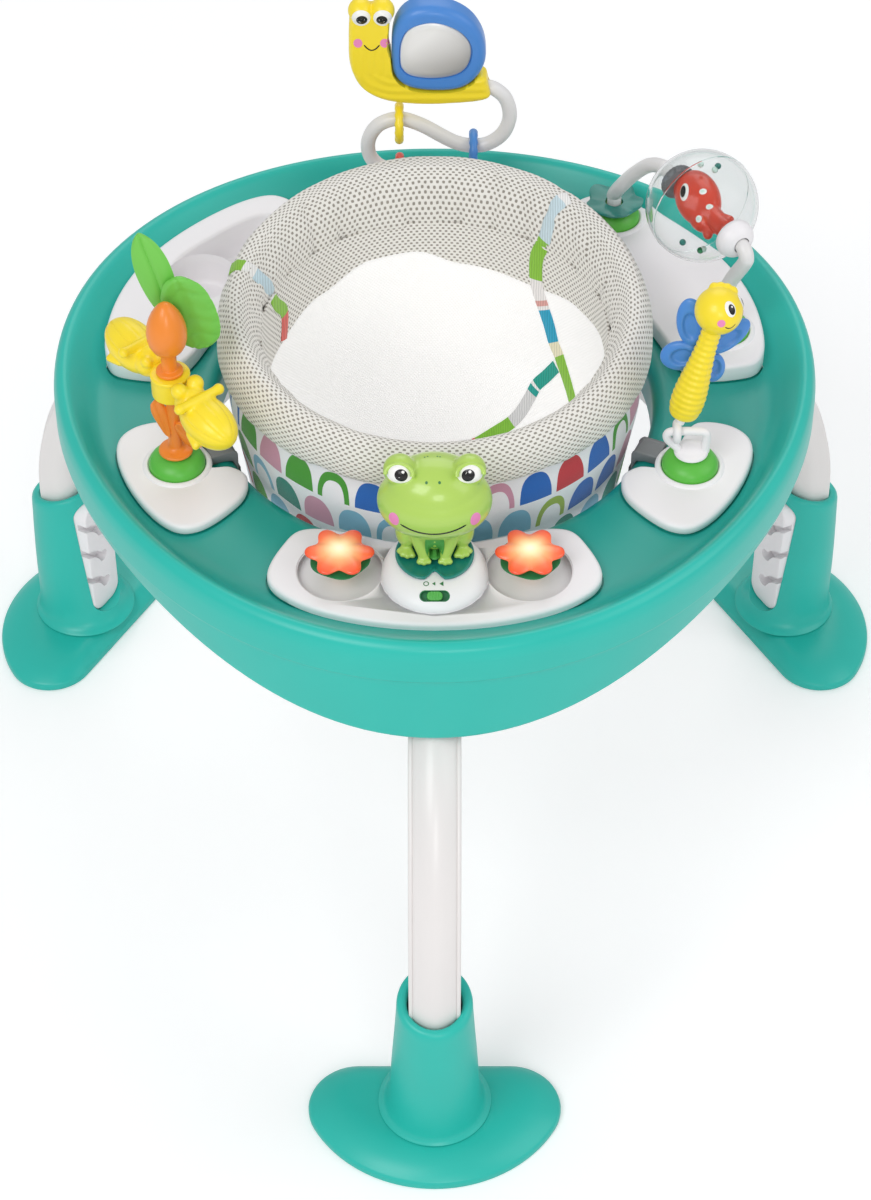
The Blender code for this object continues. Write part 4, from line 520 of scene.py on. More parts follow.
for place, azimuth in LEG_AZIMUTHS.items():
    side = -1 if place == "right" else 1
    plate = bar(f"slot_plate_{place}", panel_outline(0.0), PANEL_FACE, PANEL_BACK)
    rounded_edges(plate, 1.6, 3)
    for i in range(3):
        cut_away(plate, bar("slot_tool", slot_path(SLOT_FIRST + i * SLOT_PITCH, side),
                            PANEL_FACE - 5, PANEL_FACE + SLOT_DEPTH))
    plate.data.transform(Matrix.Translation((0, AXIS_Y, 0)) @ Matrix.Rotation(math.radians(azimuth), 4, "Z"))
    dress(plate, white_plastic, 40, "stand", f"slot_panel_{place}")


# The feet.
# Half-moon plates in the same teal plastic, straight towards the tray's middle and round outside. The top
# falls softly from the boot's flange to a thin lip round the edge.

FOOT_RADIUS = 114.0
FOOT_CENTRE = 346.0
FOOT_CORNER = 40.0

foot_chord = FOOT_CENTRE - 4
foot_reach = math.sqrt((FOOT_RADIUS - FOOT_CORNER) ** 2 - (foot_chord + FOOT_CORNER - FOOT_CENTRE) ** 2)
foot_tangent = math.degrees(math.atan2(foot_reach, foot_chord + FOOT_CORNER - FOOT_CENTRE))
foot_edge = [(FOOT_CENTRE + FOOT_RADIUS * math.cos(a), FOOT_RADIUS * math.sin(a))
             for a in (math.radians(-foot_tangent + 2 * foot_tangent * k / 40) for k in range(41))]
for sign in (1, -1):
    corner_arc = [(foot_chord + FOOT_CORNER + FOOT_CORNER * math.cos(a),
                   sign * (foot_reach + FOOT_CORNER * math.sin(a)))
                  for a in (math.radians(foot_tangent + (180 - foot_tangent) * k / 16) for k in range(1, 17))]
    foot_edge += corner_arc if sign == 1 else corner_arc[::-1]
foot_rings = []
for scale, height in ((0.5, 0), (0.985, 0), (0.999, 0.8), (1.0, 2.2), (1.0, 4.6), (0.994, 6.6), (0.984, 7.8),
                      (0.972, 8.5), (0.955, 9.6), (0.92, 11.6), (0.87, 13.9), (0.81, 16.1), (0.74, 17.9),
                      (0.66, 19.2), (0.58, 19.9), (0.50, 20.0), (0.2, 20.0)):
    foot_rings.append([(FLANGE_CENTRE + (out - FLANGE_CENTRE) * scale, across * scale, height)
                       for out, across in foot_edge])
on_each_leg(lofted("foot_pattern", foot_rings), teal_plastic, 35, "foot_plate", "foot")


# The toy pods.
# White moulded plates snap into the dish and carry the toys. Their tops have a soft rounded edge, and a thin
# dark gap shows where they meet the tray.

POD_TOP = 466.0
REAR_POD_TOP = 473.5
POD_EDGE = 3.2
TOY_POD = [(265.5, -9), (265.5, 9), (247, 14.8), (203, 14.2), (184, 9.5), (187.5, 4.5), (203.5, 1.5),
           (206.5, -7), (215, -15), (247, -15.2)]
REAR_POD = [(277, -18), (277, 18), (262, 23.5), (217, 23), (206.5, 12), (206.5, -12), (217, -23), (262, -23.5)]
SIDE_POD = [(283, -25), (286.5, -13), (286.5, 3), (279, 17), (268, 26.5), (247, 29), (214, 28.5), (197, 21),
            (191.5, 2), (197, -20), (212, -28.5), (242, -30.5), (270, -29.3)]
CONSOLE = [(269, -24), (273.5, -12), (273.5, 12), (269, 24), (255, 30), (222, 32), (198, 31), (186, 23),
           (186, 8), (186, -8), (186, -23), (198, -31), (222, -32), (255, -30)]


def about_axis(radius, angle, height):
    """A point in mm by its radius and its angle in radians about the tray's axis."""
    return (radius * math.cos(angle), radius * math.sin(angle) + AXIS_Y / MM, height)


def ring_point(radius, azimuth, height):
    """A point in mm by its radius and its azimuth in degrees about the tray's axis."""
    return about_axis(radius, math.radians(azimuth), height)


def spline(p, q, r, s, t):
    """A place between q and r, on a smooth curve that passes p before them and s after them."""
    return 0.5 * (2 * q + (r - p) * t + (2 * p - 5 * q + 4 * r - s) * t * t + (3 * q - p - 3 * r + s) * t ** 3)


def loop_through(corners, steps):
    """A smooth closed loop through (a, b) corners."""
    points = [Vector(corner) for corner in corners]
    return [spline(points[i - 1], points[i], points[(i + 1) % len(points)], points[(i + 2) % len(points)], k / steps)
            for i in range(len(points)) for k in range(steps)]


def drawn_in(corners, distance):
    """Draws a (radius, azimuth) outline in towards its middle by about a distance in mm."""
    radii, azimuths = [r for r, a in corners], [a for r, a in corners]
    middle = Vector(((min(radii) + max(radii)) / 2, (min(azimuths) + max(azimuths)) / 2))
    half_r, half_a = (max(radii) - min(radii)) / 2, (max(azimuths) - min(azimuths)) / 2
    scale_r = 1 - distance / half_r
    scale_a = 1 - distance / (math.radians(half_a) * middle.x)
    return [(middle.x + (r - middle.x) * scale_r, middle.y + (a - middle.y) * scale_a) for r, a in corners]


def outline_ring(corners, azimuth, mirrored, distance, height, limit=None, steps=8):
    """One level of a pod's wall: its outline drawn in by a distance, at a height."""
    sign = -1 if mirrored else 1
    return [ring_point(min(p.x, limit) if limit else p.x, azimuth + sign * p.y, height)
            for p in loop_through(drawn_in(corners, distance), steps)]


def pod(name, corners, azimuth, top, mirrored=False):
    """A pod's shell from its narrow foot on the dish, over its rounded edge, to its flat top."""
    levels = [(6.0, DISH_HEIGHT + 0.3), (1.5, DISH_HEIGHT + 0.3), (0.5, DISH_HEIGHT + 1.0),
              (0.0, DISH_HEIGHT + 2.2), (0.0, top - POD_EDGE)]
    levels += [(POD_EDGE * (1 - math.cos(a)), top - POD_EDGE * (1 - math.sin(a)))
               for a in (math.pi / 2 * k / 5 for k in range(1, 6))]
    levels += [(8.0, top)]
    rings = [outline_ring(corners, azimuth, mirrored, inset, height,
                          DISH_FLAT_RADIUS - 0.5 - inset if height < DISH_HEIGHT + 2 else None)
             for inset, height in levels]
    return lofted(name, rings)


for name, corners, azimuth, top, mirrored in (
        ("palm_pod", TOY_POD, -152.5, POD_TOP, False), ("dragonfly_pod", TOY_POD, -27.5, POD_TOP, True),
        ("fish_pod", SIDE_POD, 32.0, REAR_POD_TOP, True), ("snail_pod", REAR_POD, 90.0, REAR_POD_TOP, False)):
    shell = pod(f"{name}_shell", corners, azimuth, top, mirrored)
    dress(shell, white_plastic, 50, "stand", name)

# The dish has a narrow groove round every pod, where the dark gap shows
for corners, azimuth, mirrored in ((TOY_POD, -152.5, False), (TOY_POD, -27.5, True), (SIDE_POD, 32.0, True),
                                   (SIDE_POD, 148.0, False), (REAR_POD, 90.0, False), (CONSOLE, -90, False)):
    groove_rings = [outline_ring(corners, azimuth, mirrored, inset, height)
                    for inset, height in ((1.6, 455.2), (-0.9, 455.2), (-1.1, 458.6), (1.6, 458.6))]
    cut_away(tray, lofted("pod_groove", groove_rings + [groove_rings[0]], caps=False))

# The snail's pod also has a boss that the tube's foot stands in
boss = spun("snail_tube_boss", rounded([(20.5, REAR_POD_TOP - 0.5), (19.5, REAR_POD_TOP + 0.3),
                                        (15.5, REAR_POD_TOP + 2.0), (12.0, REAR_POD_TOP + 5.6),
                                        (9.5, REAR_POD_TOP + 6.0), (6.9, REAR_POD_TOP + 5.6),
                                        (6.8, REAR_POD_TOP - 0.5)], 1.2), 48, (0, 240 + AXIS_Y / MM), True)
dress(boss, white_plastic, 50, "stand")


# The snack tray.
# A white insert like the pods, with a tub for finger food and a round cup well that stands in the tub.

TUB_FLOOR = 443.5
TUB_WALL = 3.0
CUP_RADIUS = 28.5
CUP_CENTRE = ring_point(233.5, 146.8, 0)
TUB = [(265.5, 124), (265.5, 140), (265.5, 158), (252, 163.5), (215, 163.5), (198.5, 156), (198.5, 140),
       (198.5, 126), (212, 119.5), (252, 119.5)]
POCKET = [(257, 126), (260, 136), (260, 147), (232, 152), (204.5, 147), (204.5, 136), (204.5, 128), (214, 123),
          (243, 123)]

snack = pod("snack_insert", SIDE_POD, 148.0, REAR_POD_TOP)
tub = lofted("tub", [outline_ring(TUB, 0, False, inset, height) for inset, height in
                     ((4.0, TUB_FLOOR - TUB_WALL), (1.2, TUB_FLOOR - TUB_WALL + 0.8), (0.2, TUB_FLOOR),
                      (0.0, 450), (0.0, 462))])
combined(snack, tub, "UNION")
hollow = lofted("snack_hollow", [outline_ring(POCKET, 0, False, inset, height) for inset, height in
                                 ((6.0, TUB_FLOOR), (2.6, TUB_FLOOR + 0.7), (1.0, TUB_FLOOR + 2.8), (0.2, 452),
                                  (-1.4, REAR_POD_TOP - 2.4), (-2.6, REAR_POD_TOP - 0.7), (-4.6, REAR_POD_TOP),
                                  (-4.8, REAR_POD_TOP + 5))])
cut_away(hollow, spun("cup_wall", rounded([(0, 436), (CUP_RADIUS + TUB_WALL + 0.6, 436),
                                           (CUP_RADIUS + TUB_WALL, 470), (CUP_RADIUS + 0.6, REAR_POD_TOP + 1.2),
                                           (0, REAR_POD_TOP + 1.2)], 1.4), 96, CUP_CENTRE[:2]))
cut_away(snack, hollow)
cut_away(snack, spun("cup_hollow", rounded([(0, TUB_FLOOR), (CUP_RADIUS - 3.0, TUB_FLOOR),
                                            (CUP_RADIUS - 0.6, TUB_FLOOR + 3), (CUP_RADIUS, 466),
                                            (CUP_RADIUS + 1.8, REAR_POD_TOP + 0.4), (CUP_RADIUS + 3, 480),
                                            (0, 480)], 1.6), 96, CUP_CENTRE[:2]))
dress(snack, white_plastic, 40, "stand", "snack_tray")

# The tray's dish has an opening that the tub hangs through
cut_away(tray, lofted("tub_opening", [outline_ring(TUB, 0, False, -1.0, height) for height in (430, 470)]))


# The green domes.
# Each toy's foot plugs into a green polypropylene dome that sits in a raised white ring of its pod.

DOME_RADIUS = 22.4
DOME_HEIGHT = 14.5
PALM_AXIS = ring_point(225, -154.4, 0)
DRAGONFLY_AXIS = (201.0, -99.0 + AXIS_Y / MM)
FISH_REAR_AXIS = (153.0, 207.0 + AXIS_Y / MM)
FISH_FRONT_AXIS = (236.0, 58.0 + AXIS_Y / MM)

green_plastic = moulded_plastic("satin green polypropylene", "5FBE45", 0.36)
for name, place, base in (("palm_dome", PALM_AXIS, POD_TOP), ("dragonfly_dome", DRAGONFLY_AXIS, POD_TOP),
                          ("fish_dome_rear", FISH_REAR_AXIS, REAR_POD_TOP),
                          ("fish_dome_front", FISH_FRONT_AXIS, REAR_POD_TOP)):
    cap = [(0, base + 0.3), (DOME_RADIUS, base + 0.3), (DOME_RADIUS, base + 1.6)]
    cap += [(DOME_RADIUS * math.cos(a) ** 0.85, base + 1.6 + (DOME_HEIGHT - 1.6) * math.sin(a))
            for a in (math.radians(8 * k) for k in range(1, 10))]
    cap += [(3.0, base + DOME_HEIGHT), (0, base + DOME_HEIGHT)]
    dome = spun(f"{name}_cap", cap, 64, place[:2])
    dress(dome, green_plastic, 35, "stand", name)
    collar = spun(f"{name}_ring", rounded([(DOME_RADIUS + 0.5, base - 0.5), (DOME_RADIUS + 0.5, base + 1.7),
                                           (DOME_RADIUS + 2.2, base + 2.2), (DOME_RADIUS + 4.4, base + 1.0),
                                           (DOME_RADIUS + 5.2, base - 0.3)], 0.9), 64, place[:2], True)
    dress(collar, white_plastic, 35, "stand")


# The seat's hoop.
# A white moulded ring inside the seat's fabric, which its cloth is sewn round. It only takes a finish.
finish_node("seat_hoop", white_plastic)


# The seat's mesh collar.
# A padded tube of polyester spacer mesh, sewn round the hoop. It stands higher at the back, where it leans
# against the child, and gathers a little where the printed tapes cross it.

COLLAR_BASE = 505.4
COLLAR_RISE = 17.0
COLLAR_CROWN = 559.6
MESH_PITCH = 5.3
TAPE_AZIMUTHS = (50.0, 168.0)
FOLD_AZIMUTHS = (70.0, 135.0)
UNROLL_RADIUS = 150.0
# Strength of the knit's painted glow
PAINTED_KNIT_GLOW = 0.13
PUFF_FRAMES = 20
PUFF_PRESSURE = 4
PUFF_REACH = 0.0035
SEWN_BELOW = 0.5085


def woven(name, roughness):
    """Starts a cloth material, and gives it with its tree, its shader, and its UV in mm as u and v."""
    made, tree, shader = new_material(name, {"Roughness": roughness, "Specular IOR Level": 0.25,
                                             "Sheen Weight": 0.25, "Sheen Roughness": 0.5})
    place = add_node(tree, "ShaderNodeUVMap", {"uv_map": "unrolled"})
    split = add_node(tree, "ShaderNodeSeparateXYZ", None, {"Vector": place.outputs["UV"]})
    return made, tree, shader, split.outputs["X"], split.outputs["Y"]


def sum_of(tree, operation, first, second=None, third=None):
    """One step of arithmetic in a material, on sockets or plain numbers."""
    step = tree.nodes.new("ShaderNodeMath")
    step.operation = operation
    for socket, value in zip(step.inputs, (first, second, third)):
        if isinstance(value, (int, float)):
            socket.default_value = value
        elif value is not None:
            tree.links.new(value, socket)
    return step.outputs[0]


def hole_pattern(tree, u, v, across, along, wide=False):
    """1 in the middle of each hole of a staggered net, falling to -1 between holes.

    A wide hole is stretched along u and squeezed along v, like a slot.
    """
    wave_u = sum_of(tree, "COSINE", sum_of(tree, "MULTIPLY", u, 2 * math.pi / across))
    wave_v = sum_of(tree, "COSINE", sum_of(tree, "MULTIPLY", v, 2 * math.pi / along))
    if wide:
        root = sum_of(tree, "POWER", sum_of(tree, "ABSOLUTE", wave_u, 0.0), 0.5)
        wave_u = sum_of(tree, "MULTIPLY", root, sum_of(tree, "SIGN", wave_u, 0.0))
        wave_v = sum_of(tree, "MULTIPLY", wave_v, sum_of(tree, "ABSOLUTE", wave_v, 0.0))
    return sum_of(tree, "MULTIPLY", wave_u, wave_v)


def shade_between(tree, factor, low, high, from_low=0.0, from_high=1.0):
    """Two colours mixed by a factor that is spread between two levels."""
    spread = add_node(tree, "ShaderNodeMapRange", {"From Min": from_low, "From Max": from_high},
                      {"Value": factor})
    blend = add_node(tree, "ShaderNodeMix", {"data_type": "RGBA"}, {"Factor": spread.outputs["Result"]})
    for index, colour in ((6, low), (7, high)):
        if isinstance(colour, str):
            blend.inputs[index].default_value = linear(colour)
        else:
            tree.links.new(colour, blend.inputs[index])
    return blend.outputs[2]


# Polyester mesh over a white knit lining. The mesh shows rows of slots 5.3 mm apart, each row staggered from the next,
# painted dark as the shade inside them. The knit is white with a fine dimple, painted a little darker in each dimple as
# shade.
seat_cloth, tree, shader, u, v = woven("polyester mesh and dimpled knit", 0.85)
net = hole_pattern(tree, u, v, MESH_PITCH, MESH_PITCH * 1.1, wide=True)
net_with_hole_shade = shade_between(tree, net, "EAE7E1", "979288", 0.12, 0.55)
dimple = hole_pattern(tree, u, v, 3.4, 3.4)
knit_with_dimple_shade = shade_between(tree, dimple, "FAF9F8", "E3E1E0", 0.35, 0.85)
above = add_node(tree, "ShaderNodeAttribute", {"attribute_name": "above_seam"})
is_mesh = sum_of(tree, "SMOOTH_MIN", sum_of(tree, "MAXIMUM", above.outputs["Fac"], 0.0), 1.0, 0.1)
tree.links.new(shade_between(tree, is_mesh, knit_with_dimple_shade, net_with_hole_shade, 0.0, 0.9), shader.inputs["Base Color"])
# Painted glow: the knit gives off a little light of its own, standing in for light that comes through it, which keeps
# the bucket nearly white
tree.links.new(shade_between(tree, is_mesh, "FFFFFF", "000000"), shader.inputs["Emission Color"])
shader.inputs["Emission Strength"].default_value = PAINTED_KNIT_GLOW
seam_near = sum_of(tree, "SUBTRACT", 1.0, sum_of(tree, "MINIMUM", sum_of(
    tree, "ABSOLUTE", sum_of(tree, "MULTIPLY", above.outputs["Fac"], 0.6)), 1.0))
net_depth = sum_of(tree, "MULTIPLY", sum_of(tree, "MAXIMUM", net, 0.0), -1.0)
knit_depth = sum_of(tree, "MULTIPLY", dimple, -0.25)
depth = sum_of(tree, "ADD", sum_of(tree, "MULTIPLY", net_depth, is_mesh),
               sum_of(tree, "MULTIPLY", knit_depth, sum_of(tree, "SUBTRACT", 1.0, is_mesh)))
raise_relief(tree, shader, sum_of(tree, "ADD", depth, seam_near), 0.55, 0.0009)


def along_profile(profile, radius, height):
    """How far along a section, in mm, the nearest place to a (radius, height) lies."""
    best, reached, start = None, 0.0, 0.0
    for before, after in zip(profile, profile[1:]):
        a, b, p = Vector(before), Vector(after), Vector((radius, height))
        run = b - a
        share = min(max((p - a).dot(run) / run.length_squared, 0), 1)
        gap = (a + run * share - p).length
        if best is None or gap < best:
            best, reached = gap, start + share * run.length
        start += run.length
    return reached


def unroll(piece, profile, offset=0.0, rise=None):
    """Gives a ring-shaped piece a UV map in mm: round the axis, and along its section."""
    layer = piece.data.uv_layers.new(name="unrolled")
    spots = []
    for corner in piece.data.vertices:
        x, y, z = corner.co.x / MM, (corner.co.y - AXIS_Y) / MM, corner.co.z / MM
        azimuth = math.atan2(y, x)
        lift = rise(math.hypot(x, y), z, azimuth) if rise else 0.0
        spots.append((azimuth, along_profile(profile, math.hypot(x, y), z - lift) + offset))
    for face in piece.data.polygons:
        angles = [spots[piece.data.loops[i].vertex_index][0] for i in face.loop_indices]
        wrap = max(angles) - min(angles) > math.pi
        for i in face.loop_indices:
            azimuth, distance = spots[piece.data.loops[i].vertex_index]
            if wrap and azimuth < 0:
                azimuth += 2 * math.pi
            layer.data[i].uv = (azimuth * UNROLL_RADIUS, distance)


def circle(count):
    """Angles in even steps round a whole turn."""
    return [2 * math.pi * k / count for k in range(count)]


def collar_lift(azimuth):
    """How much higher the collar's crown stands at an azimuth in radians."""
    return COLLAR_RISE * math.sin(azimuth)


collar_section = [(142, 505.4), (139.4, 507.6), (138.9, 514), (139.0, 524), (139.6, 535), (141.2, 545.5),
                  (144.3, 553.5), (149, 558.3), (154.5, 559.6), (160, 557.5), (165.4, 551.5), (169.6, 543),
                  (171.6, 533), (172.2, 523), (171.8, 515), (170, 508.5), (166, 505.6)]


def collar_share(height):
    """How much of the collar's rise towards the back a level takes."""
    share = min(max((height - COLLAR_BASE) / (COLLAR_CROWN - COLLAR_BASE), 0), 1)
    return share * share * (3 - 2 * share)


fine_section = []
for i in range(len(collar_section) * 2):
    whole, half = divmod(i, 2)
    a, b = Vector(collar_section[whole]), Vector(collar_section[(whole + 1) % len(collar_section)])
    fine_section.append(tuple((a + b) / 2 if half else a))
start_rings = []
for azimuth in circle(200):
    ring = []
    for radius, height in fine_section:
        inset = Vector((155.5 - radius, 532 - height)).normalized() * 1.2 if height > 508 else Vector((0, 0))
        ring.append(about_axis(radius + inset.x, azimuth,
                               height + inset.y + collar_share(height) * collar_lift(azimuth)))
    start_rings.append(ring)
start_rings.append(start_rings[0])
collar = lofted("seat_mesh_collar", start_rings, caps=False)
lone(collar)
start_places = [corner.co.copy() for corner in collar.data.vertices]
pad = collar.copy()
pad.data = collar.data.copy()
bpy.context.collection.objects.link(pad)
lone(pad)
puff = pad.modifiers.new("puff", "CLOTH")
held = pad.vertex_groups.new(name="held")
for corner in pad.data.vertices:
    held.add([corner.index], 1.0 if corner.co.z < SEWN_BELOW else 0.0, "REPLACE")
puff.settings.vertex_group_mass = "held"
puff.settings.quality = 5
puff.settings.mass = 0.2
puff.settings.use_pressure = True
puff.settings.uniform_pressure_force = PUFF_PRESSURE
puff.settings.effector_weights.gravity = 0
puff.settings.shrink_min = -0.02
puff.point_cache.frame_start = 1
puff.point_cache.frame_end = PUFF_FRAMES
for step in range(1, PUFF_FRAMES + 1):
    bpy.context.scene.frame_set(step)
shaped = pad.evaluated_get(bpy.context.evaluated_depsgraph_get())
puffed = [corner.co.copy() for corner in shaped.data.vertices]
bpy.data.objects.remove(pad)
bpy.context.scene.frame_set(1)
for corner, start, end in zip(collar.data.vertices, start_places, puffed):
    move = end - start
    move.length = min(move.length, PUFF_REACH)
    corner.co = start + move
for corner in collar.data.vertices:
    x, y, z = corner.co.x, corner.co.y - AXIS_Y, corner.co.z
    azimuth = math.degrees(math.atan2(y, x))
    radius = math.hypot(x, y)
    level = collar_share(z / MM - collar_share(540) * collar_lift(math.radians(azimuth)))
    gather = 0.5 * math.sin(math.radians(azimuth * 31)) + 0.5 * math.sin(math.radians(azimuth * 19 + 40))
    inner = 1 if radius < 0.150 else 0
    draw = 0.45 * MM * gather * (1 - 0.5 * level)
    for seam in TAPE_AZIMUTHS:
        apart = abs((azimuth - seam + 180) % 360 - 180) * math.radians(1) * 155
        draw -= 1.4 * MM * math.exp(-(apart / 5.5) ** 2) * (-1 if inner else 1)
    for fold in FOLD_AZIMUTHS:
        apart = (azimuth - fold) * math.radians(1) * 145
        if inner:
            draw += 2.6 * MM * math.exp(-(apart / 4.2) ** 2) * min(1, max(0, (z / MM - 505) / 12))
    radius += draw
    corner.co.x = radius * math.cos(math.radians(azimuth))
    corner.co.y = radius * math.sin(math.radians(azimuth)) + AXIS_Y
unroll(collar, collar_section + [collar_section[0]], 0.0,
       lambda radius, height, azimuth: collar_share(height - 0.5 * collar_lift(azimuth)) * collar_lift(azimuth))
above_seam = collar.data.attributes.new("above_seam", "FLOAT", "POINT")
above_seam.data.foreach_set("value", [20.0] * len(collar.data.vertices))
dress(collar, seat_cloth, 80, "seat", "seat_collar")


# The seat's bucket.
# Mesh goes on down inside the collar to a curved seam. Below it hangs a bucket of white dimpled knit, with two
# bound leg openings at its front.

SLING_CLOTH = 1.6
LEG_OPENINGS = (-142.0, -38.0)
LEG_OPENING_RADIUS = 49.0
LEG_OPENING_HEIGHT = 316.0
SEAM_HEIGHTS = [(-180, 468), (-140, 478), (-90, 486), (-45, 487), (-10, 494), (8, 494), (30, 487), (54, 478),
                (81, 481.5), (97, 493), (113, 491.5), (133, 477.5), (158, 466.5), (180, 468)]
bucket_section = [(139.6, 522), (138.9, 512), (138.4, 500), (137.9, 488), (137.0, 475), (135.5, 460), (133, 442),
                  (130, 422), (126.5, 400), (122, 380), (116.5, 360), (109.5, 341), (100, 322), (88, 305), (75, 289),
                  (60, 277.5), (42, 269), (22, 264.2), (5, 263), (0, 262.9)]


def seam_height(azimuth):
    """The height of the seam between mesh and knit, by azimuth in degrees."""
    for (a, low), (b, high) in zip(SEAM_HEIGHTS, SEAM_HEIGHTS[1:]):
        if a <= azimuth <= b:
            t = (azimuth - a) / (b - a)
            return low + (high - low) * t * t * (3 - 2 * t)
    return SEAM_HEIGHTS[0][1]


def smooth_section(section, steps):
    """More points along an open section, on a smooth curve through its own."""
    ends = [Vector(section[0])] + [Vector(p) for p in section] + [Vector(section[-1])]
    points = [tuple(spline(*near, step / steps)) for near in zip(ends, ends[1:], ends[2:], ends[3:])
              for step in range(steps)]
    return points + [tuple(section[-1])]


bucket_levels = smooth_section(bucket_section, 3)
bucket_rings = []
for radius, height in bucket_levels:
    slack = min(max((500 - height) / 120, 0), 1) * (1 if radius > 30 else radius / 30)
    ring = []
    for azimuth in circle(160):
        swell = slack * (1.3 * math.sin(3 * azimuth + 0.6) + 0.8 * math.sin(7 * azimuth + height / 30)) - 0.6 * slack
        ring.append(about_axis(radius + swell, azimuth, height))
    bucket_rings.append(ring)
bucket = lofted("seat_bucket", bucket_rings[:-1])


def opening_distance(place, azimuth):
    """How far from the middle of a leg opening a place on the bucket lies, in mm."""
    x, y, z = place.x / MM, (place.y - AXIS_Y) / MM, place.z / MM
    apart = math.radians((math.degrees(math.atan2(y, x)) - azimuth + 180) % 360 - 180) * math.hypot(x, y)
    return math.hypot(apart, (z - LEG_OPENING_HEIGHT) * 1.25)


def is_open(face):
    """Whether a face is the cap over the bucket, or lies in a leg opening."""
    middle = face.calc_center_median()
    return len(face.verts) > 100 or any(opening_distance(middle, azimuth) < LEG_OPENING_RADIUS - 3
                                        for azimuth in LEG_OPENINGS)


work = bmesh.new()
work.from_mesh(bucket.data)
gone = [face for face in work.faces if is_open(face)]
bmesh.ops.delete(work, geom=gone, context="FACES")
rims = [edge for edge in work.edges if edge.is_boundary and edge.verts[0].co.z < 0.45]
rim_places = {}
for edge in rims:
    for corner in edge.verts:
        rim_places.setdefault(corner, []).append(edge)
for step in range(6):
    moved = {}
    for corner, edges in rim_places.items():
        others = [edge.other_vert(corner).co for edge in edges]
        moved[corner] = corner.co * 0.4 + sum(others, Vector()) / len(others) * 0.6
    for corner, place in moved.items():
        corner.co = place

# The rims are walked in the mesh's own order, so that each run numbers their bindings alike
rim_loops = []
left = dict.fromkeys(rims)
while left:
    edge = next(iter(left))
    del left[edge]
    chain = [edge.verts[0], edge.verts[1]]
    while True:
        following = [other for other in rim_places[chain[-1]] if other in left]
        if not following:
            break
        del left[following[0]]
        chain.append(following[0].other_vert(chain[-1]))
    rim_loops.append([corner.co.copy() for corner in chain[:-1]])
work.to_mesh(bucket.data)
work.free()
knit_above = bucket.data.attributes.new("above_seam", "FLOAT", "POINT")
heights = []
for corner in bucket.data.vertices:
    azimuth = math.degrees(math.atan2(corner.co.y - AXIS_Y, corner.co.x))
    heights.append(corner.co.z / MM - seam_height(azimuth))
knit_above.data.foreach_set("value", heights)
unroll(bucket, bucket_section, -17.0)
for loop in bucket.data.uv_layers["unrolled"].data:
    loop.uv.y = -loop.uv.y


def thickened(piece, thickness):
    """Gives a cloth its thickness in mm."""
    step = piece.modifiers.new("cloth", "SOLIDIFY")
    step.thickness, step.offset = thickness * MM, -1


thickened(bucket, SLING_CLOTH)
dress(bucket, seat_cloth, 80, "seat", "seat_sling")


def tube_along(name, places, radius, closed=True, sides=4):
    """A round tube through places in metres, from a curve that is made a mesh."""
    bpy.ops.object.select_all(action="DESELECT")
    bpy.ops.curve.primitive_nurbs_path_add()
    line = bpy.context.object
    line.name = name
    line.data.splines.clear()
    spline = line.data.splines.new("NURBS")
    spline.points.add(len(places) - 1)
    for point, place in zip(spline.points, places):
        point.co = (*place, 1)
    spline.use_cyclic_u = closed
    spline.use_endpoint_u = not closed
    spline.order_u = 4
    line.location = (0, 0, 0)
    line.data.resolution_u = 3
    line.data.bevel_depth = radius
    line.data.bevel_resolution = sides
    line.data.use_fill_caps = True
    bpy.ops.object.convert(target="MESH")
    return bpy.context.object


# Folded knit tape binds the leg openings. Its colour is painted darker in the grooves between its ribs, as shade
CORD_RADIUS = 0.0021
tape, tree, shader, _, _ = woven("white knit tape", 0.8)
ribs = texture(tree, "Wave", {"Scale": 90.0, "Distortion": 1.5, "wave_type": "BANDS"})
tree.links.new(shade_between(tree, ribs, "DADBDC", "F3F2F0"), shader.inputs["Base Color"])
raise_relief(tree, shader, ribs, 0.4, 0.0005)
for number, loop in enumerate(rim_loops, 1):
    if len(loop) > 20:
        rim = tube_along(f"leg_opening_binding_{number}", loop[::2], CORD_RADIUS)
        dress(rim, tape, 80, "seat")

# Printed tape is sewn over the seams inside the seat: down both sides of the collar, and across the bucket from
# the right. Its print is plain blocks of colour in a row.
TAPE_WIDTH = 11.0
WIDE_TAPE_WIDTH = 13.0
TAPE_REACH = 0.004


def stopped(tree, factor, stops, interpolation="CONSTANT"):
    """The colour that a factor picks from (position, colour) stops."""
    ramp = add_node(tree, "ShaderNodeValToRGB", None, {"Fac": factor})
    ramp.color_ramp.interpolation = interpolation
    for index, (position, colour) in enumerate(stops):
        stop = ramp.color_ramp.elements[index] if index < 2 else ramp.color_ramp.elements.new(position)
        stop.position, stop.color = position, linear(colour)
    return ramp.outputs["Color"]


def dyed_over_weave_and_rib_shade(tree, shader, colour, weave_and_rib_shade):
    """Colours a cloth, multiplied by a second colour: on the tapes painted shade in the grooves between their ribs, on
    the skirt the fine grid of its weave.
    """
    product = add_node(tree, "ShaderNodeMix", {"data_type": "RGBA", "blend_type": "MULTIPLY", "Factor": 1.0})
    tree.links.new(colour, product.inputs[6])
    tree.links.new(weave_and_rib_shade, product.inputs[7])
    tree.links.new(product.outputs[2], shader.inputs["Base Color"])


def striped_tape(name, blocks):
    """Knit tape printed with blocks of colour, from (share of its length, colour) pairs."""
    made, tree, shader, _, v = woven(name, 0.8)
    ribs = texture(tree, "Wave", {"Scale": 160.0, "Distortion": 2.0})
    # The print is darkened by painted shade in the grooves between the tape's ribs
    dyed_over_weave_and_rib_shade(tree, shader, stopped(tree, v, blocks), shade_between(tree, ribs, "E4E4E4", "FFFFFF"))
    raise_relief(tree, shader, ribs, 0.35, 0.0004)
    return made


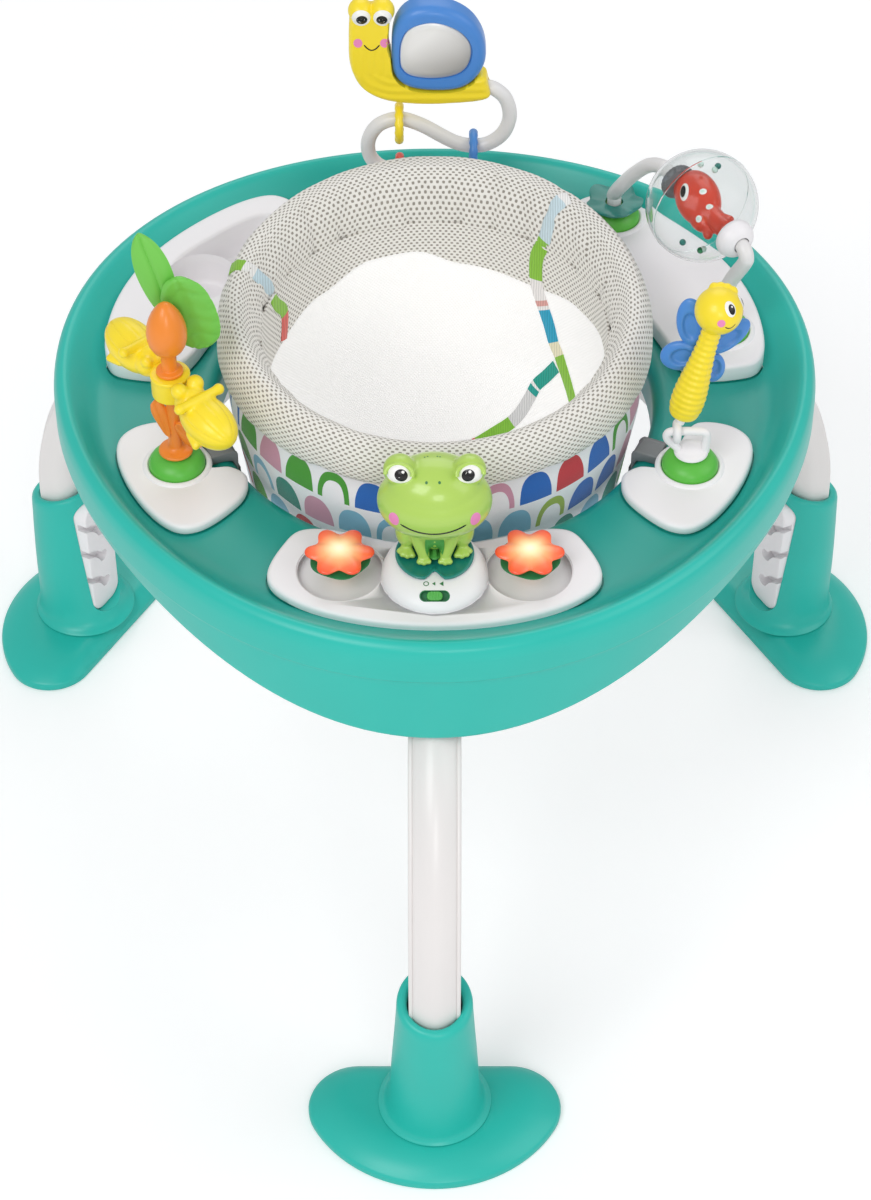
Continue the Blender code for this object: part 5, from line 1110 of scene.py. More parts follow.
def on_cloth(guess):
    """The place and slope of the cloth that is met first on the way to a place from the front and above."""
    toward = Vector((0, -0.7, 0.714))
    hits = [cloth.ray_cast(guess + toward * 0.09, -toward) for cloth in (collar, bucket)]
    hits = [(spot, normal) for found, spot, normal, _ in hits if found]
    return max(hits, key=lambda hit: hit[0].dot(toward)) if hits else None


def sewn_tape(name, route, material, width):
    """A strip sewn to the seat's inside along (azimuth, radius, height) places, on the cloth under it."""
    bpy.context.view_layer.update()
    places = []
    for near in zip([route[0]] + route[:-1], route, route[1:], route[2:] + [route[-1]]):
        places += [[spline(*numbers, step / 10) for numbers in zip(*near)] for step in range(10)]
    middles = [on_cloth(Vector(ring_point(radius, azimuth, height)) * MM)
               for azimuth, radius, height in places + [list(route[-1])]]
    middles = [middle for middle in middles if middle]
    rings = []
    for index, (spot, normal) in enumerate(middles):
        along = middles[min(index + 1, len(middles) - 1)][0] - middles[max(index - 1, 0)][0]
        side = along.cross(normal).normalized()
        top, under = [], []
        for across, thick in ((-1, 0.6), (-0.5, 1.0), (0, 1.1), (0.5, 1.0), (1, 0.6)):
            beside = spot + side * across * width / 2 * MM
            lies, slope = on_cloth(beside) or (beside, normal)
            if (lies - beside).length > TAPE_REACH:
                lies, slope = beside, normal
            top.append((lies + slope * thick * MM) / MM)
            under.append((lies + slope * 0.1 * MM) / MM)
        rings.append(top + under[::-1])
    for _ in range(2):
        rings = [rings[0]] + [[(p + q * 2 + r) / 4 for p, q, r in zip(*near)]
                              for near in zip(rings, rings[1:], rings[2:])] + [rings[-1]]
    strip = lofted(name, [[tuple(p) for p in ring] for ring in rings])
    layer = strip.data.uv_layers.new(name="unrolled")
    for face in strip.data.polygons:
        for i in face.loop_indices:
            spot = strip.data.vertices[strip.data.loops[i].vertex_index].co / MM
            nearest = min(range(len(rings)), key=lambda k: (rings[k][2] - spot).length_squared)
            layer.data[i].uv = (0.5, nearest / (len(rings) - 1))
    dress(strip, material, 80, "seat")
    return strip


tape_right = striped_tape("printed tape right", [
    (0.0, "F4F3F1"), (0.06, "CFE3EB"), (0.23, "8CC63F"), (0.385, "F2EEEC"), (0.50, "E2A7A0"), (0.53, "F2EEEC"),
    (0.55, "2AA6C9"), (0.69, "EFE9C8"), (0.78, "8CC63F")])
tape_across = striped_tape("printed tape across", [
    (0.0, "17A08F"), (0.22, "F2F1F0"), (0.25, "19A096"), (0.31, "DCDCDC"), (0.54, "86C440"), (0.77, "D8534F"),
    (0.80, "EDEBEA"), (0.92, "D8534F")])
tape_left = striped_tape("printed tape left", [
    (0.0, "8CC63F"), (0.24, "F4F3F1"), (0.34, "C9E0EA"), (0.56, "F0EFED"), (0.62, "8CC63F"), (0.86, "E26B62")])
sewn = [
    sewn_tape("seat_tape_right", [(44, 152, 574), (46.4, 148, 568), (48.2, 143, 556), (50, 140, 527),
                                  (52.6, 139, 507), (52.4, 138, 485), (50.6, 137, 472), (48.0, 135.5, 462),
                                  (44.0, 133, 450), (40.5, 131, 437), (37.1, 130, 430), (33.7, 129, 421),
                                  (28.3, 127, 412), (22.2, 125, 404)], tape_right, WIDE_TAPE_WIDTH),
    sewn_tape("seat_tape_across", [(37.2, 128, 417), (40.8, 125, 403), (45.2, 123, 388), (46.9, 120, 376),
                                   (49.9, 115, 357), (53.8, 110, 343), (60.7, 104, 329), (68, 97, 318),
                                   (75, 95, 313), (82, 93, 309)], tape_across, TAPE_WIDTH),
    sewn_tape("seat_tape_left", [(168.9, 166, 560), (168.8, 161, 564), (168.5, 152, 562), (167, 140, 545),
                                 (162, 139, 524), (158, 138.5, 505), (153, 138, 487), (155, 137, 462)],
              tape_left, TAPE_WIDTH)]


# The elastic straps and their clips.
# Three grey acetal clips hook over the lip of the tray's hole. A strap of ribbed elastic webbing runs down from
# each to the skirt's hem, and gives as the seat bounces.

clip_acetal = moulded_plastic("grey acetal", "7E8082", 0.45, 0.6, 0.03)
webbing, tree, shader, _, _ = woven("ribbed elastic webbing", 0.85)
ribs = texture(tree, "Wave", {"Scale": 110.0, "Distortion": 0.4, "bands_direction": "Z"})
# The webbing is painted darker in the grooves between its ribs, as shade
tree.links.new(shade_between(tree, ribs, "4C4E50", "77797B"), shader.inputs["Base Color"])
raise_relief(tree, shader, ribs, 0.5, 0.0006)
clip_section = rounded([(174.9, 451), (174.9, 462), (178.4, 466), (197.8, 466), (197.8, 457.5), (186.8, 457.5),
                        (179.4, 455.2), (177.2, 448), (177.2, 440), (174.9, 440), (174.9, 451)], 1.2, 3)[:-1]
strap_line = smooth_section([(173.8, 446.0), (173.7, 442.5), (173.1, 436), (171.0, 425), (168.0, 410), (164.6, 392),
                             (161.0, 375), (157.2, 358), (153.8, 344), (152.4, 338.5), (151.8, 335.5)], 4)
half_strap = [(-9, -0.4), (-8.6, -0.75), (-4, -0.8), (0, -0.75), (4, -0.8), (8.6, -0.75), (9, -0.4)]
strap_section = half_strap + [(across, -depth) for across, depth in reversed(half_strap)]
for place_name, azimuth in (("left", -156), ("right", -24), ("rear", 90)):
    out = Vector((math.cos(math.radians(azimuth)), math.sin(math.radians(azimuth)), 0))
    side = Vector((-out.y, out.x, 0))
    rings = []
    for reach, inset in ((-10, 0.9), (-9.8, 0.4), (-9.2, 0.0), (-7.0, 0.0), (-6.6, 0.5), (6.6, 0.5), (7.0, 0.0),
                         (9.2, 0.0), (9.8, 0.4), (10, 0.9)):
        ring = []
        for i, corner in enumerate(clip_section):
            edge = (Vector(clip_section[(i + 1) % len(clip_section)]) - Vector(clip_section[i - 1])).normalized()
            radius, height = Vector(corner) + Vector((edge.y, -edge.x)) * inset
            where = out * radius + side * reach
            ring.append((where.x, where.y + AXIS_Y / MM, height))
        rings.append(ring)
    dress(lofted(f"seat_clip_{place_name}", rings), clip_acetal, 40, "stand",
          f"strap_clip_{place_name}")
    rings = []
    for radius, height in strap_line:
        ring = []
        for across, depth in strap_section:
            where = out * (radius + depth) + side * across
            ring.append((where.x, where.y + AXIS_Y / MM, height))
        rings.append(ring)
    strap = finish_mesh(lofted(f"elastic_strap_{place_name}", rings), webbing, 60)
    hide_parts(f"strap_{place_name}")
    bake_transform(strap)


# The printed skirt.
# A band of printed polyester hangs from the hoop outside the seat, down through the tray's hole to a corded
# hem that the elastic straps are sewn to. The print is plain rounded shapes in a regular staggered layout.

SKIRT_CLOTH = 1.3
PRINT_COLUMNS = 32
PRINT_ROW = 33.0
skirt_section = [(165.4, 504.6), (165.6, 494), (166.8, 482), (166.4, 468), (164.2, 452), (161.3, 434), (158.6, 416),
                 (156.0, 398), (153.8, 378), (152.0, 358), (150.8, 344), (150.2, 336.2)]
skirt_rings = []
for radius, height in smooth_section(skirt_section, 4):
    slack = min(max((470 - height) / 120, 0), 1)
    ring = []
    for azimuth in circle(240):
        fold = slack * (1.5 * math.sin(11 * azimuth + 0.4) + 0.9 * math.sin(17 * azimuth + height / 60))
        fold += 0.5 * math.sin(23 * azimuth) * math.exp(-((height - 496) / 14) ** 2)
        ring.append(about_axis(radius + fold, azimuth, height))
    skirt_rings.append(ring)
skirt = lofted("seat_printed_skirt", skirt_rings, caps=False)
unroll(skirt, skirt_section)
thickened(skirt, SKIRT_CLOTH)

# Plain-woven polyester with a printed pattern: the thread shows as a fine grid, and the ink is matt
printed, tree, shader, u, v = woven("printed woven polyester", 0.8)
cell_width = 2 * math.pi * UNROLL_RADIUS / PRINT_COLUMNS
row = sum_of(tree, "FLOOR", sum_of(tree, "DIVIDE", v, PRINT_ROW))
shifted = sum_of(tree, "ADD", sum_of(tree, "DIVIDE", u, cell_width),
                 sum_of(tree, "MULTIPLY", sum_of(tree, "MODULO", sum_of(tree, "ABSOLUTE", row), 2.0), 0.5))
column = sum_of(tree, "FLOOR", shifted)
across = sum_of(tree, "SUBTRACT", sum_of(tree, "SUBTRACT", shifted, column), 0.5)
up = sum_of(tree, "SUBTRACT", 0.93, sum_of(tree, "SUBTRACT", sum_of(tree, "DIVIDE", v, PRINT_ROW), row))
oval = sum_of(tree, "ADD",
              sum_of(tree, "POWER", sum_of(tree, "DIVIDE", sum_of(tree, "ABSOLUTE", across), 0.43), 2.4),
              sum_of(tree, "POWER", sum_of(tree, "DIVIDE", sum_of(tree, "ABSOLUTE", up), 0.86), 2.4))
standing = sum_of(tree, "GREATER_THAN", up, 0.0)
shape = sum_of(tree, "MULTIPLY", sum_of(tree, "LESS_THAN", oval, 1.0), standing)
spot = add_node(tree, "ShaderNodeCombineXYZ", None, {"X": column, "Y": row})
pick = add_node(tree, "ShaderNodeTexWhiteNoise", {"noise_dimensions": "2D"}, {"Vector": spot.outputs[0]})
arch = sum_of(tree, "GREATER_THAN", sum_of(tree, "MODULO", sum_of(tree, "ABSOLUTE", sum_of(
    tree, "ADD", column, sum_of(tree, "MULTIPLY", row, 2.0))), 4.0), 2.5)
hollow_part = sum_of(tree, "MULTIPLY", arch, sum_of(tree, "LESS_THAN", oval, 0.42))
inked = sum_of(tree, "MULTIPLY", shape, sum_of(tree, "SUBTRACT", 1.0, hollow_part))
inks = stopped(tree, pick.outputs["Value"], [(index / 8, colour) for index, colour in enumerate(
    ("4E9F3A", "A0B84C", "D79BB2", "CF4048", "2B6BC0", "85BEDA", "1F8A7A", "4E9F3A"))])
thread = hole_pattern(tree, u, v, 1.1, 1.1)
dyed_over_weave_and_rib_shade(tree, shader, shade_between(tree, inked, "FCF8FD", inks),
     shade_between(tree, thread, "FFFFFF", "EFEFEF", 0.0, 0.9))
raise_relief(tree, shader, thread, 0.25, 0.0003)
dress(skirt, printed, 80, "seat", "seat_skirt")
hem_places = []
for azimuth in circle(120):
    fold = 1.5 * math.sin(11 * azimuth + 0.4) + 0.9 * math.sin(17 * azimuth + 336.2 / 60)
    hem_places.append(Vector(about_axis(149.6 + fold, azimuth, 337.2)) * MM)
hem = tube_along("seat_skirt_hem", hem_places, CORD_RADIUS)
dress(hem, tape, 80, "seat")


# The console.
# A white pod at the front with three raised parts moulded in one: a round dome for the frog and a collar for
# each flower button. A fine groove runs round the foot of each. Its floor and its sound module are hidden.

CONSOLE_Y = -221.5
FROG_Y = -212.5
FLOWER_X = 72.0
FLOWER_Y = -215.5
COLLAR_TOP = 478.6
SWITCH_PLACE = (0.0, -252.5, 474.5)
SWITCH_TILT = 36.0


def set_on_axis(y):
    """A distance from the tray's axis in mm, as a world place in mm."""
    return y + AXIS_Y / MM


def round_levels(levels, steps):
    """Rings round (x, y) centres, from (radius, x, y, height) levels in mm."""
    return [[(x + radius * math.cos(a), set_on_axis(y) + radius * math.sin(a), height) for a in circle(steps)]
            for radius, x, y, height in levels]


console = pod("console_shell", CONSOLE, -90, POD_TOP)
for centre_x, centre_y, radius in ((0, CONSOLE_Y, 41.6), (-FLOWER_X, FLOWER_Y, 33.1), (FLOWER_X, FLOWER_Y, 33.1)):
    cut_away(console, spun("foot_groove", [(radius - 0.45, POD_TOP - 1.2), (radius + 0.45, POD_TOP - 1.2),
                                           (radius + 0.6, POD_TOP + 1), (radius - 0.6, POD_TOP + 1)],
                           96, (centre_x, set_on_axis(centre_y)), True))
combined(console, lofted("frog_dome", round_levels([
    (radius, 0, CONSOLE_Y + back, height) for radius, back, height in (
        (41.0, 0, POD_TOP - 2), (41.0, 0, 467.0), (40.6, 0.4, 469.0), (39.9, 1.2, 471.2), (38.6, 2.4, 473.4),
        (36.8, 3.8, 475.4), (34.4, 5.2, 477.2), (31.4, 6.4, 478.5), (28.0, 7.0, 479.0), (20.0, 7.0, 479.0))], 96)),
         "UNION")
for side in (-1, 1):
    combined(console, lofted("flower_collar", round_levels([
        (radius, side * FLOWER_X, FLOWER_Y, height) for radius, height in (
            (32.5, POD_TOP - 2), (32.5, 467.0), (32.1, 469.5), (31.2, 473.4), (29.8, 476.6), (27.8, 478.2),
            (25.4, COLLAR_TOP), (24.6, COLLAR_TOP - 0.4), (24.4, COLLAR_TOP - 1.2), (10.0, COLLAR_TOP - 1.2))], 96)),
             "UNION")
switch_frame = (Matrix.Translation((SWITCH_PLACE[0] * MM, set_on_axis(SWITCH_PLACE[1]) * MM, SWITCH_PLACE[2] * MM))
                @ Matrix.Rotation(math.radians(SWITCH_TILT), 4, "X"))


def oval_block(name, length, width, low, high, draw=0.0):
    """A stadium-shaped block in mm in the switch's frame, its top drawn in by a distance."""
    rings = []
    for inset, height in ((0.0, low), (0.0, high - draw), (0.3 * draw, high - 0.3 * draw), (draw, high)):
        ring = []
        radius = width / 2 - inset
        for angle in circle(48):
            shift = (length - width) / 2 * (1 if math.cos(angle) > 0 else -1)
            spot = switch_frame @ Vector(((shift + radius * math.cos(angle)) * MM, radius * math.sin(angle) * MM,
                                          height * MM))
            ring.append(tuple(spot / MM))
        rings.append(ring)
    return lofted(name, rings)


cut_away(console, oval_block("switch_slot", 23.0, 9.0, -4.5, 6.0))
dress(console, white_plastic, 42, "stand", "console_pod")

# Hidden inside the console: its floor takes the white finish, and the module a dark one
finish_node("console_base", white_plastic)
grey_plastic = moulded_plastic("grey filled acetal", "77797C", 0.45)
finish_node("sound_module", grey_plastic)


# The slide switch.
# A dark green oval well in the console's slope holds a brighter green thumb slide with upright ridges.

deep_green_plastic = moulded_plastic("deep green polypropylene", "1E7F4C", 0.38)
leaf_green_plastic = moulded_plastic("mid green polypropylene", "5AB552", 0.36)
well = oval_block("switch_well", 22.6, 8.6, -4.3, -3.2)
wall = oval_block("switch_well_wall", 22.9, 8.9, -4.2, 1.0, 0.2)
cut_away(wall, oval_block("switch_well_hollow", 21.4, 7.5, -5.0, 2.0))
combined(well, wall, "UNION")
dress(well, deep_green_plastic, 35, "stand")
slide = oval_block("switch_slide_knob", 12.0, 6.8, -2.9, 2.6, 1.0)
for k in range(-2, 3):
    bpy.ops.object.select_all(action="DESELECT")
    bpy.ops.mesh.primitive_cylinder_add(vertices=20, radius=0.00085, depth=0.012)
    ridge_gap = bpy.context.object
    ridge_gap.data.transform(switch_frame @ Matrix.Translation((k * 2.3 * MM, 0, 2.75 * MM))
                             @ Matrix.Rotation(math.radians(90), 4, "X"))
    cut_away(slide, ridge_gap)
dress(slide, leaf_green_plastic, 35, "switch", "switch_knob")


def film(name, piece, rows, place, material, lift=0.12, crown=0.0):
    """Lays a film of ink, or a low lens, on a piece.

    The rows of (across, up) points in mm lie in a place's own plane, and drop on the piece against its z axis.
    """
    toward = (place.to_3x3() @ Vector((0, 0, 1))).normalized()
    bpy.context.view_layer.update()
    count = len(rows[0])
    bpy.ops.object.select_all(action="DESELECT")
    bpy.ops.mesh.primitive_grid_add(x_subdivisions=count - 1, y_subdivisions=len(rows) - 1, size=1)
    sheet = bpy.context.object
    sheet.name = name
    spots = []
    for index, row in enumerate(rows):
        raised = lift + crown * (1 - (index / (len(rows) - 1)) ** 2)
        for across, up in row:
            start = place @ Vector((across * MM, up * MM, 0.05))
            found, where, normal, _ = piece.ray_cast(start, -toward)
            if not found:
                where = place @ Vector((across * MM, up * MM, 0))
            spots.append(where + (toward * 0.5 + normal * 0.5 if found else toward) * raised * MM)
    sheet.data.vertices.foreach_set("co", [value for spot in spots for value in spot])
    bpy.ops.object.mode_set(mode="EDIT")
    bpy.ops.mesh.select_all(action="SELECT")
    bpy.ops.mesh.remove_doubles(threshold=0.000002)
    bpy.ops.mesh.normals_make_consistent(inside=False)
    bpy.ops.object.mode_set(mode="OBJECT")
    if sheet.data.polygons[len(sheet.data.polygons) // 2].normal.dot(toward) < 0:
        sheet.data.flip_normals()
    return finish_mesh(sheet, material, 60)


def oval_rows(half_across, half_up, middle=(0.0, 0.0), steps=28):
    """Rings of an oval, from its middle to its edge."""
    return [[(middle[0] + share * half_across * math.cos(2 * math.pi * k / steps),
              middle[1] + share * half_up * math.sin(2 * math.pi * k / steps)) for k in range(steps + 1)]
            for share in (0.001, 0.35, 0.65, 0.88, 1.0)]


def stroke_rows(points, width):
    """A line of ink of one width through points, with rounded ends."""
    rows = []
    for i, point in enumerate(points):
        run = Vector(points[min(i + 1, len(points) - 1)]) - Vector(points[max(i - 1, 0)])
        side = Vector((-run.y, run.x)).normalized() * width / 2
        side *= 0.35 if i in (0, len(points) - 1) else 1.0
        rows.append([tuple(Vector(point) - side), tuple(point), tuple(Vector(point) + side)])
    return rows


def looking(place, toward, up=(0, 0, 1)):
    """A frame in metres at a place in mm, with its z axis towards a direction and its y axis near up."""
    z = Vector(toward).normalized()
    x = Vector(up).cross(z).normalized()
    y = z.cross(x)
    turn = Matrix((x, y, z)).transposed().to_4x4()
    return Matrix.Translation(Vector(place) * MM) @ turn


def ink(name, colour, roughness):
    """Printing ink that lies on a toy as a film, of one even colour with a slight gloss."""
    return moulded_plastic(name, colour, roughness, 0.1, 0.0)


black_ink = ink("black printing ink", "151515", 0.22)
white_ink = ink("white printing ink", "F7F6F2", 0.25)
pink_ink = ink("pink printing ink", "F08CC2", 0.35)
moss_ink = ink("moss green printing ink", "3F7D4E", 0.4)
slope_frame = looking((0, set_on_axis(-243.2), 478.0), (0, -0.35, 0.93), (0, 1, 0))
for mark_name, rows in (
        ("ring", [[(-6.4 + r * math.cos(2 * math.pi * k / 24), r * math.sin(2 * math.pi * k / 24))
                   for k in range(25)] for r in (1.5, 2.2)]),
        ("small", [[(-1.8, -0.1), (-1.8, 0.1)], [(0.5, -1.8), (0.5, 1.8)]]),
        ("large", [[(3.6, -0.1), (3.6, 0.1)], [(6.6, -2.3), (6.6, 2.3)]])):
    enter(film(f"switch_{mark_name}_mark", console, rows, slope_frame, moss_ink), "stand")


# The flower buttons.
# Each is a six-petal cap of orange translucent plastic over a lamp, pale where the light comes through. A dark
# green leaf disc shows under its petals. The cap slides 3 mm down in its collar.

FLOWER_RADIUS = 26.5
PETAL_LOW = 482.8

# Translucent orange plastic that is lit from below: red-orange at the petals' edges, cream in the middle
lit_petal = moulded_plastic("lit translucent orange plastic", "F26A3C", 0.3, 0.2, 0.0, 0.3)
tree = lit_petal.node_tree
shader = tree.nodes["Principled BSDF"]
from_middle = add_node(tree, "ShaderNodeAttribute", {"attribute_name": "from_middle"})
glow = stopped(tree, from_middle.outputs["Fac"], (
    (0.0, "FFF6D8"), (0.24, "FFE0A8"), (0.46, "FDB178"), (0.72, "F8754A"), (1.0, "EF4E2A")), "LINEAR")
tree.links.new(glow, shader.inputs["Base Color"])
tree.links.new(glow, shader.inputs["Emission Color"])
shader.inputs["Emission Strength"].default_value = 0.22
shader.inputs["Subsurface Weight"].default_value = 0.1
shader.inputs["Subsurface Radius"].default_value = (0.004, 0.002, 0.001)

for name, side in (("flower_left", -1), ("flower_right", 1)):
    middle = (side * FLOWER_X, set_on_axis(FLOWER_Y))
    rings = []
    for share, rise in ((0.33, 470.0 - PETAL_LOW), (0.33, 0), (0.60, -0.2), (0.90, 0.3), (0.985, 1.0), (1.0, 1.9),
                        (0.985, 2.8), (0.93, 3.5), (0.82, 4.2), (0.68, 4.9), (0.52, 5.7), (0.36, 6.3), (0.20, 6.6),
                        (0.06, 6.7)):
        ring = []
        for angle in circle(96):
            petal = 0.5 + 0.5 * math.cos(6 * angle)
            lobe = 1 - 0.27 * (1 - petal) ** 1.3 * min(1.0, share * share * 1.3)
            dip = 1.3 * (1 - petal) ** 2 * max(0, share - 0.2) if rise > 2 else 0
            radius = FLOWER_RADIUS * share * lobe
            ring.append((middle[0] + radius * math.cos(angle), middle[1] + radius * math.sin(angle),
                         PETAL_LOW + rise - dip))
        rings.append(ring)
    flower = lofted(f"{name}_cap", rings)
    from_centre = flower.data.attributes.new("from_middle", "FLOAT", "POINT")
    from_centre.data.foreach_set("value", [
        min(math.hypot(c.co.x / MM - middle[0], c.co.y / MM - middle[1]) / FLOWER_RADIUS, 1)
        for c in flower.data.vertices])
    dress(flower, lit_petal, 60, f"{name}_button", name)
    rings = []
    for share, height in ((0.45, 477.6), (0.97, 477.6), (1.0, 478.2), (0.985, 479.0), (0.9, 479.3), (0.45, 479.3)):
        ring = []
        for angle in circle(60):
            radius = 23.6 * share * (0.965 + 0.035 * math.cos(5 * angle + 0.5))
            ring.append((middle[0] + radius * math.cos(angle), middle[1] + radius * math.sin(angle), height))
        rings.append(ring)
    leaf_disc = lofted(f"{name}_leaf_disc", rings + [rings[0]], caps=False)
    dress(leaf_disc, deep_green_plastic, 35, "stand")


# The lily pad.
# A dark teal plate with two round lobes and a notch between them at the front, dished a little.

LILY_LOW = 479.3
LILY_TOP = 481.8
LILY_RADIUS = 30.0
lily_plastic = moulded_plastic("dark teal polypropylene", "1C8378", 0.3, 0.4, 0.03, 0.3)
lily_outline = []
for k in range(73):
    angle = math.radians(-90 + 15 + 330 * k / 72)
    edge = abs(k - 36) / 36
    pull = 1 - 0.05 * max(0, (edge - 0.9) / 0.1) ** 2
    lily_outline.append((LILY_RADIUS * pull * math.cos(angle), LILY_RADIUS * pull * math.sin(angle)))
lily_outline += [(-4.6, -24.5), (-1.6, -20.2), (0.0, -19.2), (1.6, -20.2), (4.6, -24.5)]
lily_rings = []
for scale, height in ((0.0, LILY_LOW), (0.97, LILY_LOW), (1.0, LILY_LOW + 0.7), (1.0, LILY_TOP - 0.7),
                      (0.985, LILY_TOP - 0.2), (0.955, LILY_TOP), (0.92, LILY_TOP - 0.1), (0.88, LILY_TOP - 0.7),
                      (0.5, LILY_TOP - 0.9), (0.02, LILY_TOP - 0.9)):
    lily_rings.append([(x * max(scale, 0.02), set_on_axis(FROG_Y) + 2 + (y - 2) * max(scale, 0.02), height)
                       for x, y in lily_outline])
dress(lofted("lily_pad_plate", lily_rings), lily_plastic, 40, "stand", "lily_pad")


# The frog.
# A hollow glossy figure in yellow-green plastic: a wide flat head with two eye bumps, a short body with a darker
# belly, and webbed feet. Its eyes, cheeks, nostrils and smile are printed.

HEAD = Vector((0, set_on_axis(FROG_Y), 541.0))


def lump(centre, half, turn=(0, 0, 0), segments=32, rings=20):
    """A ball stretched to half sizes in mm, turned by degrees."""
    bpy.ops.object.select_all(action="DESELECT")
    bpy.ops.mesh.primitive_uv_sphere_add(segments=segments, ring_count=rings, radius=MM,
                                         location=[c * MM for c in centre],
                                         rotation=[math.radians(a) for a in turn], scale=half)
    return bpy.context.object


def capsule(start, end, radius, end_radius=None):
    """Balls in a row from one place in mm to another, close enough to melt into a limb."""
    a, b = Vector(start), Vector(end)
    last = radius if end_radius is None else end_radius
    count = max(2, int((b - a).length / (0.5 * min(radius, last))) + 1)
    return [lump(a.lerp(b, k / (count - 1)), (radius + (last - radius) * k / (count - 1),) * 3, segments=16, rings=10)
            for k in range(count)]


def melted(name, lumps, voxel, rounds=6):
    """Joins lumps, remeshes them into one skin, and smooths it, which leaves soft moulded fillets."""
    bpy.ops.object.select_all(action="DESELECT")
    for piece in lumps:
        piece.select_set(True)
    bpy.context.view_layer.objects.active = lumps[0]
    bpy.ops.object.join()
    made = bpy.context.object
    made.name = name
    bpy.ops.object.transform_apply(location=True, rotation=True, scale=True)
    skin = made.modifiers.new("skin", "REMESH")
    skin.mode = "VOXEL"
    skin.voxel_size = voxel * MM
    soften = made.modifiers.new("soften", "SMOOTH")
    soften.factor = 0.5
    soften.iterations = rounds
    bpy.ops.object.modifier_apply(modifier=skin.name)
    bpy.ops.object.modifier_apply(modifier=soften.name)
    return made


frog_plastic = moulded_plastic("glossy yellow green plastic", "B2D45E", 0.3, 0.25, 0.04, 0.5)
frog_y = set_on_axis(FROG_Y)
lumps = [lump(HEAD + Vector((0, 0, -4)), (43.2, 31.5, 30.0), segments=64, rings=40),
         lump(HEAD + Vector((0, 1, 6)), (37.0, 29.0, 26.5), segments=64, rings=40)]
for side in (-1, 1):
    lumps.append(lump((side * 25.8, frog_y - 0.5, 567.6), (12.6, 12.0, 12.2)))
    lumps.append(lump((side * 16, frog_y + 2, 559), (14, 12, 12)))
head = melted("frog_head", lumps, 1.1, 10)
finish_mesh(head, frog_plastic, 80)
lumps = [lump((0, frog_y + 8, 499), (20.0, 15.0, 17)), lump((0, frog_y + 6, 512), (17, 14, 14))]
for side in (-1, 1):
    lumps.append(lump((side * 20.5, frog_y + 9, 497), (9.5, 13.5, 13.0)))
    lumps += capsule((side * 16.0, frog_y - 1, 508), (side * 8.4, frog_y - 8.5, 488.0), 5.6, 4.6)
    for x, y in ((4.4, -13.2), (8.0, -14.4), (11.6, -13.4)):
        lumps += capsule((side * 8.4, frog_y - 8.5, 486.0), (side * x, frog_y + y, 484.6), 2.7, 2.3)
    for x, y in ((16.5, -6.5), (20.6, -7.2), (24.4, -5.4), (26.6, -1.8)):
        lumps += capsule((side * 20.5, frog_y + 1, 487.0), (side * x, frog_y + y, 484.8), 3.0, 2.4)
body = melted("frog_body", lumps, 0.9, 5)
for corner in body.data.vertices:
    corner.co.z = max(corner.co.z, 0.4822)
finish_mesh(body, frog_plastic, 80)
belly_plastic = ink("green belly paint", "56A650", 0.35)
belly = film("frog_belly", body, oval_rows(7.4, 12.5), looking((0, frog_y - 8, 497), (0, -1, 0.3)), belly_plastic)
pieces = [head, body, belly]
for side, side_name in ((-1, "left"), (1, "right")):
    eye_frame = looking((side * 25.8, frog_y - 8, 569.6), (side * 0.10, -0.70, 0.70))
    white = film(f"frog_eye_{side_name}", head, oval_rows(9.6, 6.6), eye_frame, white_ink, 0.2, 1.4)
    pupil = film(f"frog_pupil_{side_name}", white, oval_rows(4.8, 4.4, (-side * 1.7, -0.8)), eye_frame, black_ink, 0.1)
    glint = film(f"frog_glint_{side_name}", pupil, oval_rows(1.1, 1.1, (-side * 1.7 + 1.3, 1.6)), eye_frame,
                 white_ink, 0.08)
    lid_points = [eye_frame @ Vector((10.2 * math.cos(a) * MM, (7.2 * math.sin(a) + 0.2) * MM, 0.0042))
                  for a in (math.radians(-12 + 204 * k / 14) for k in range(15))]
    lid = tube_along(f"frog_lid_{side_name}", lid_points, 0.0017, closed=False)
    lid.data.transform(Matrix.Translation(Vector((0, -0.70, 0.70)).normalized() * -0.0005))
    finish_mesh(lid, frog_plastic, 80)
    cheek = film(f"frog_cheek_{side_name}", head, oval_rows(4.6, 5.6),
                 looking((side * 30.6, frog_y - 23, 538.0), (side * 0.35, -0.8, 0.35)), pink_ink)
    nostril = film(f"frog_nostril_{side_name}", head, oval_rows(1.0, 1.2),
                   looking((side * 4.8 - 1.2, frog_y - 16, 568.6), (0, -0.5, 0.85)), moss_ink)
    pieces += [white, pupil, glint, lid, cheek, nostril]
smile_points = []
for k in range(25):
    t = -1 + 2 * k / 24
    smile_points.append((24.5 * t, -6.6 * (1 - t * t) - 16.6 + 0.4 * t * t * t * t))
pieces.append(film("frog_smile", head, stroke_rows(smile_points, 1.5),
                   looking((-1.0, frog_y, 543.0), (0, -0.93, 0.36)), black_ink))
for number, (x, up) in enumerate(((-6.4, 0), (-4.2, 0.8), (3.0, 0.6), (5.0, 0.0)), 1):
    pieces.append(film(f"frog_speckle_{number}", head, oval_rows(0.65, 0.65),
                       looking((x - 1, frog_y + 8 + up, 570), (0, -0.15, 1), (0, 1, 0)), moss_ink))
for piece in pieces:
    enter(piece, "stand", "frog" if piece in (head, body) else None)


# The palm toy.
# An orange post with a bulb like a bud, one piece. A yellow collar turns on the post below the bulb and carries
# two yellow beetles. Two green leaves are pinned behind the bulb.

STEM_RADIUS = 5.2
COLLAR_LOW = 540.0
COLLAR_HIGH = 561.8
BULB_LOW = 581.5
BULB_HIGH = 630.0

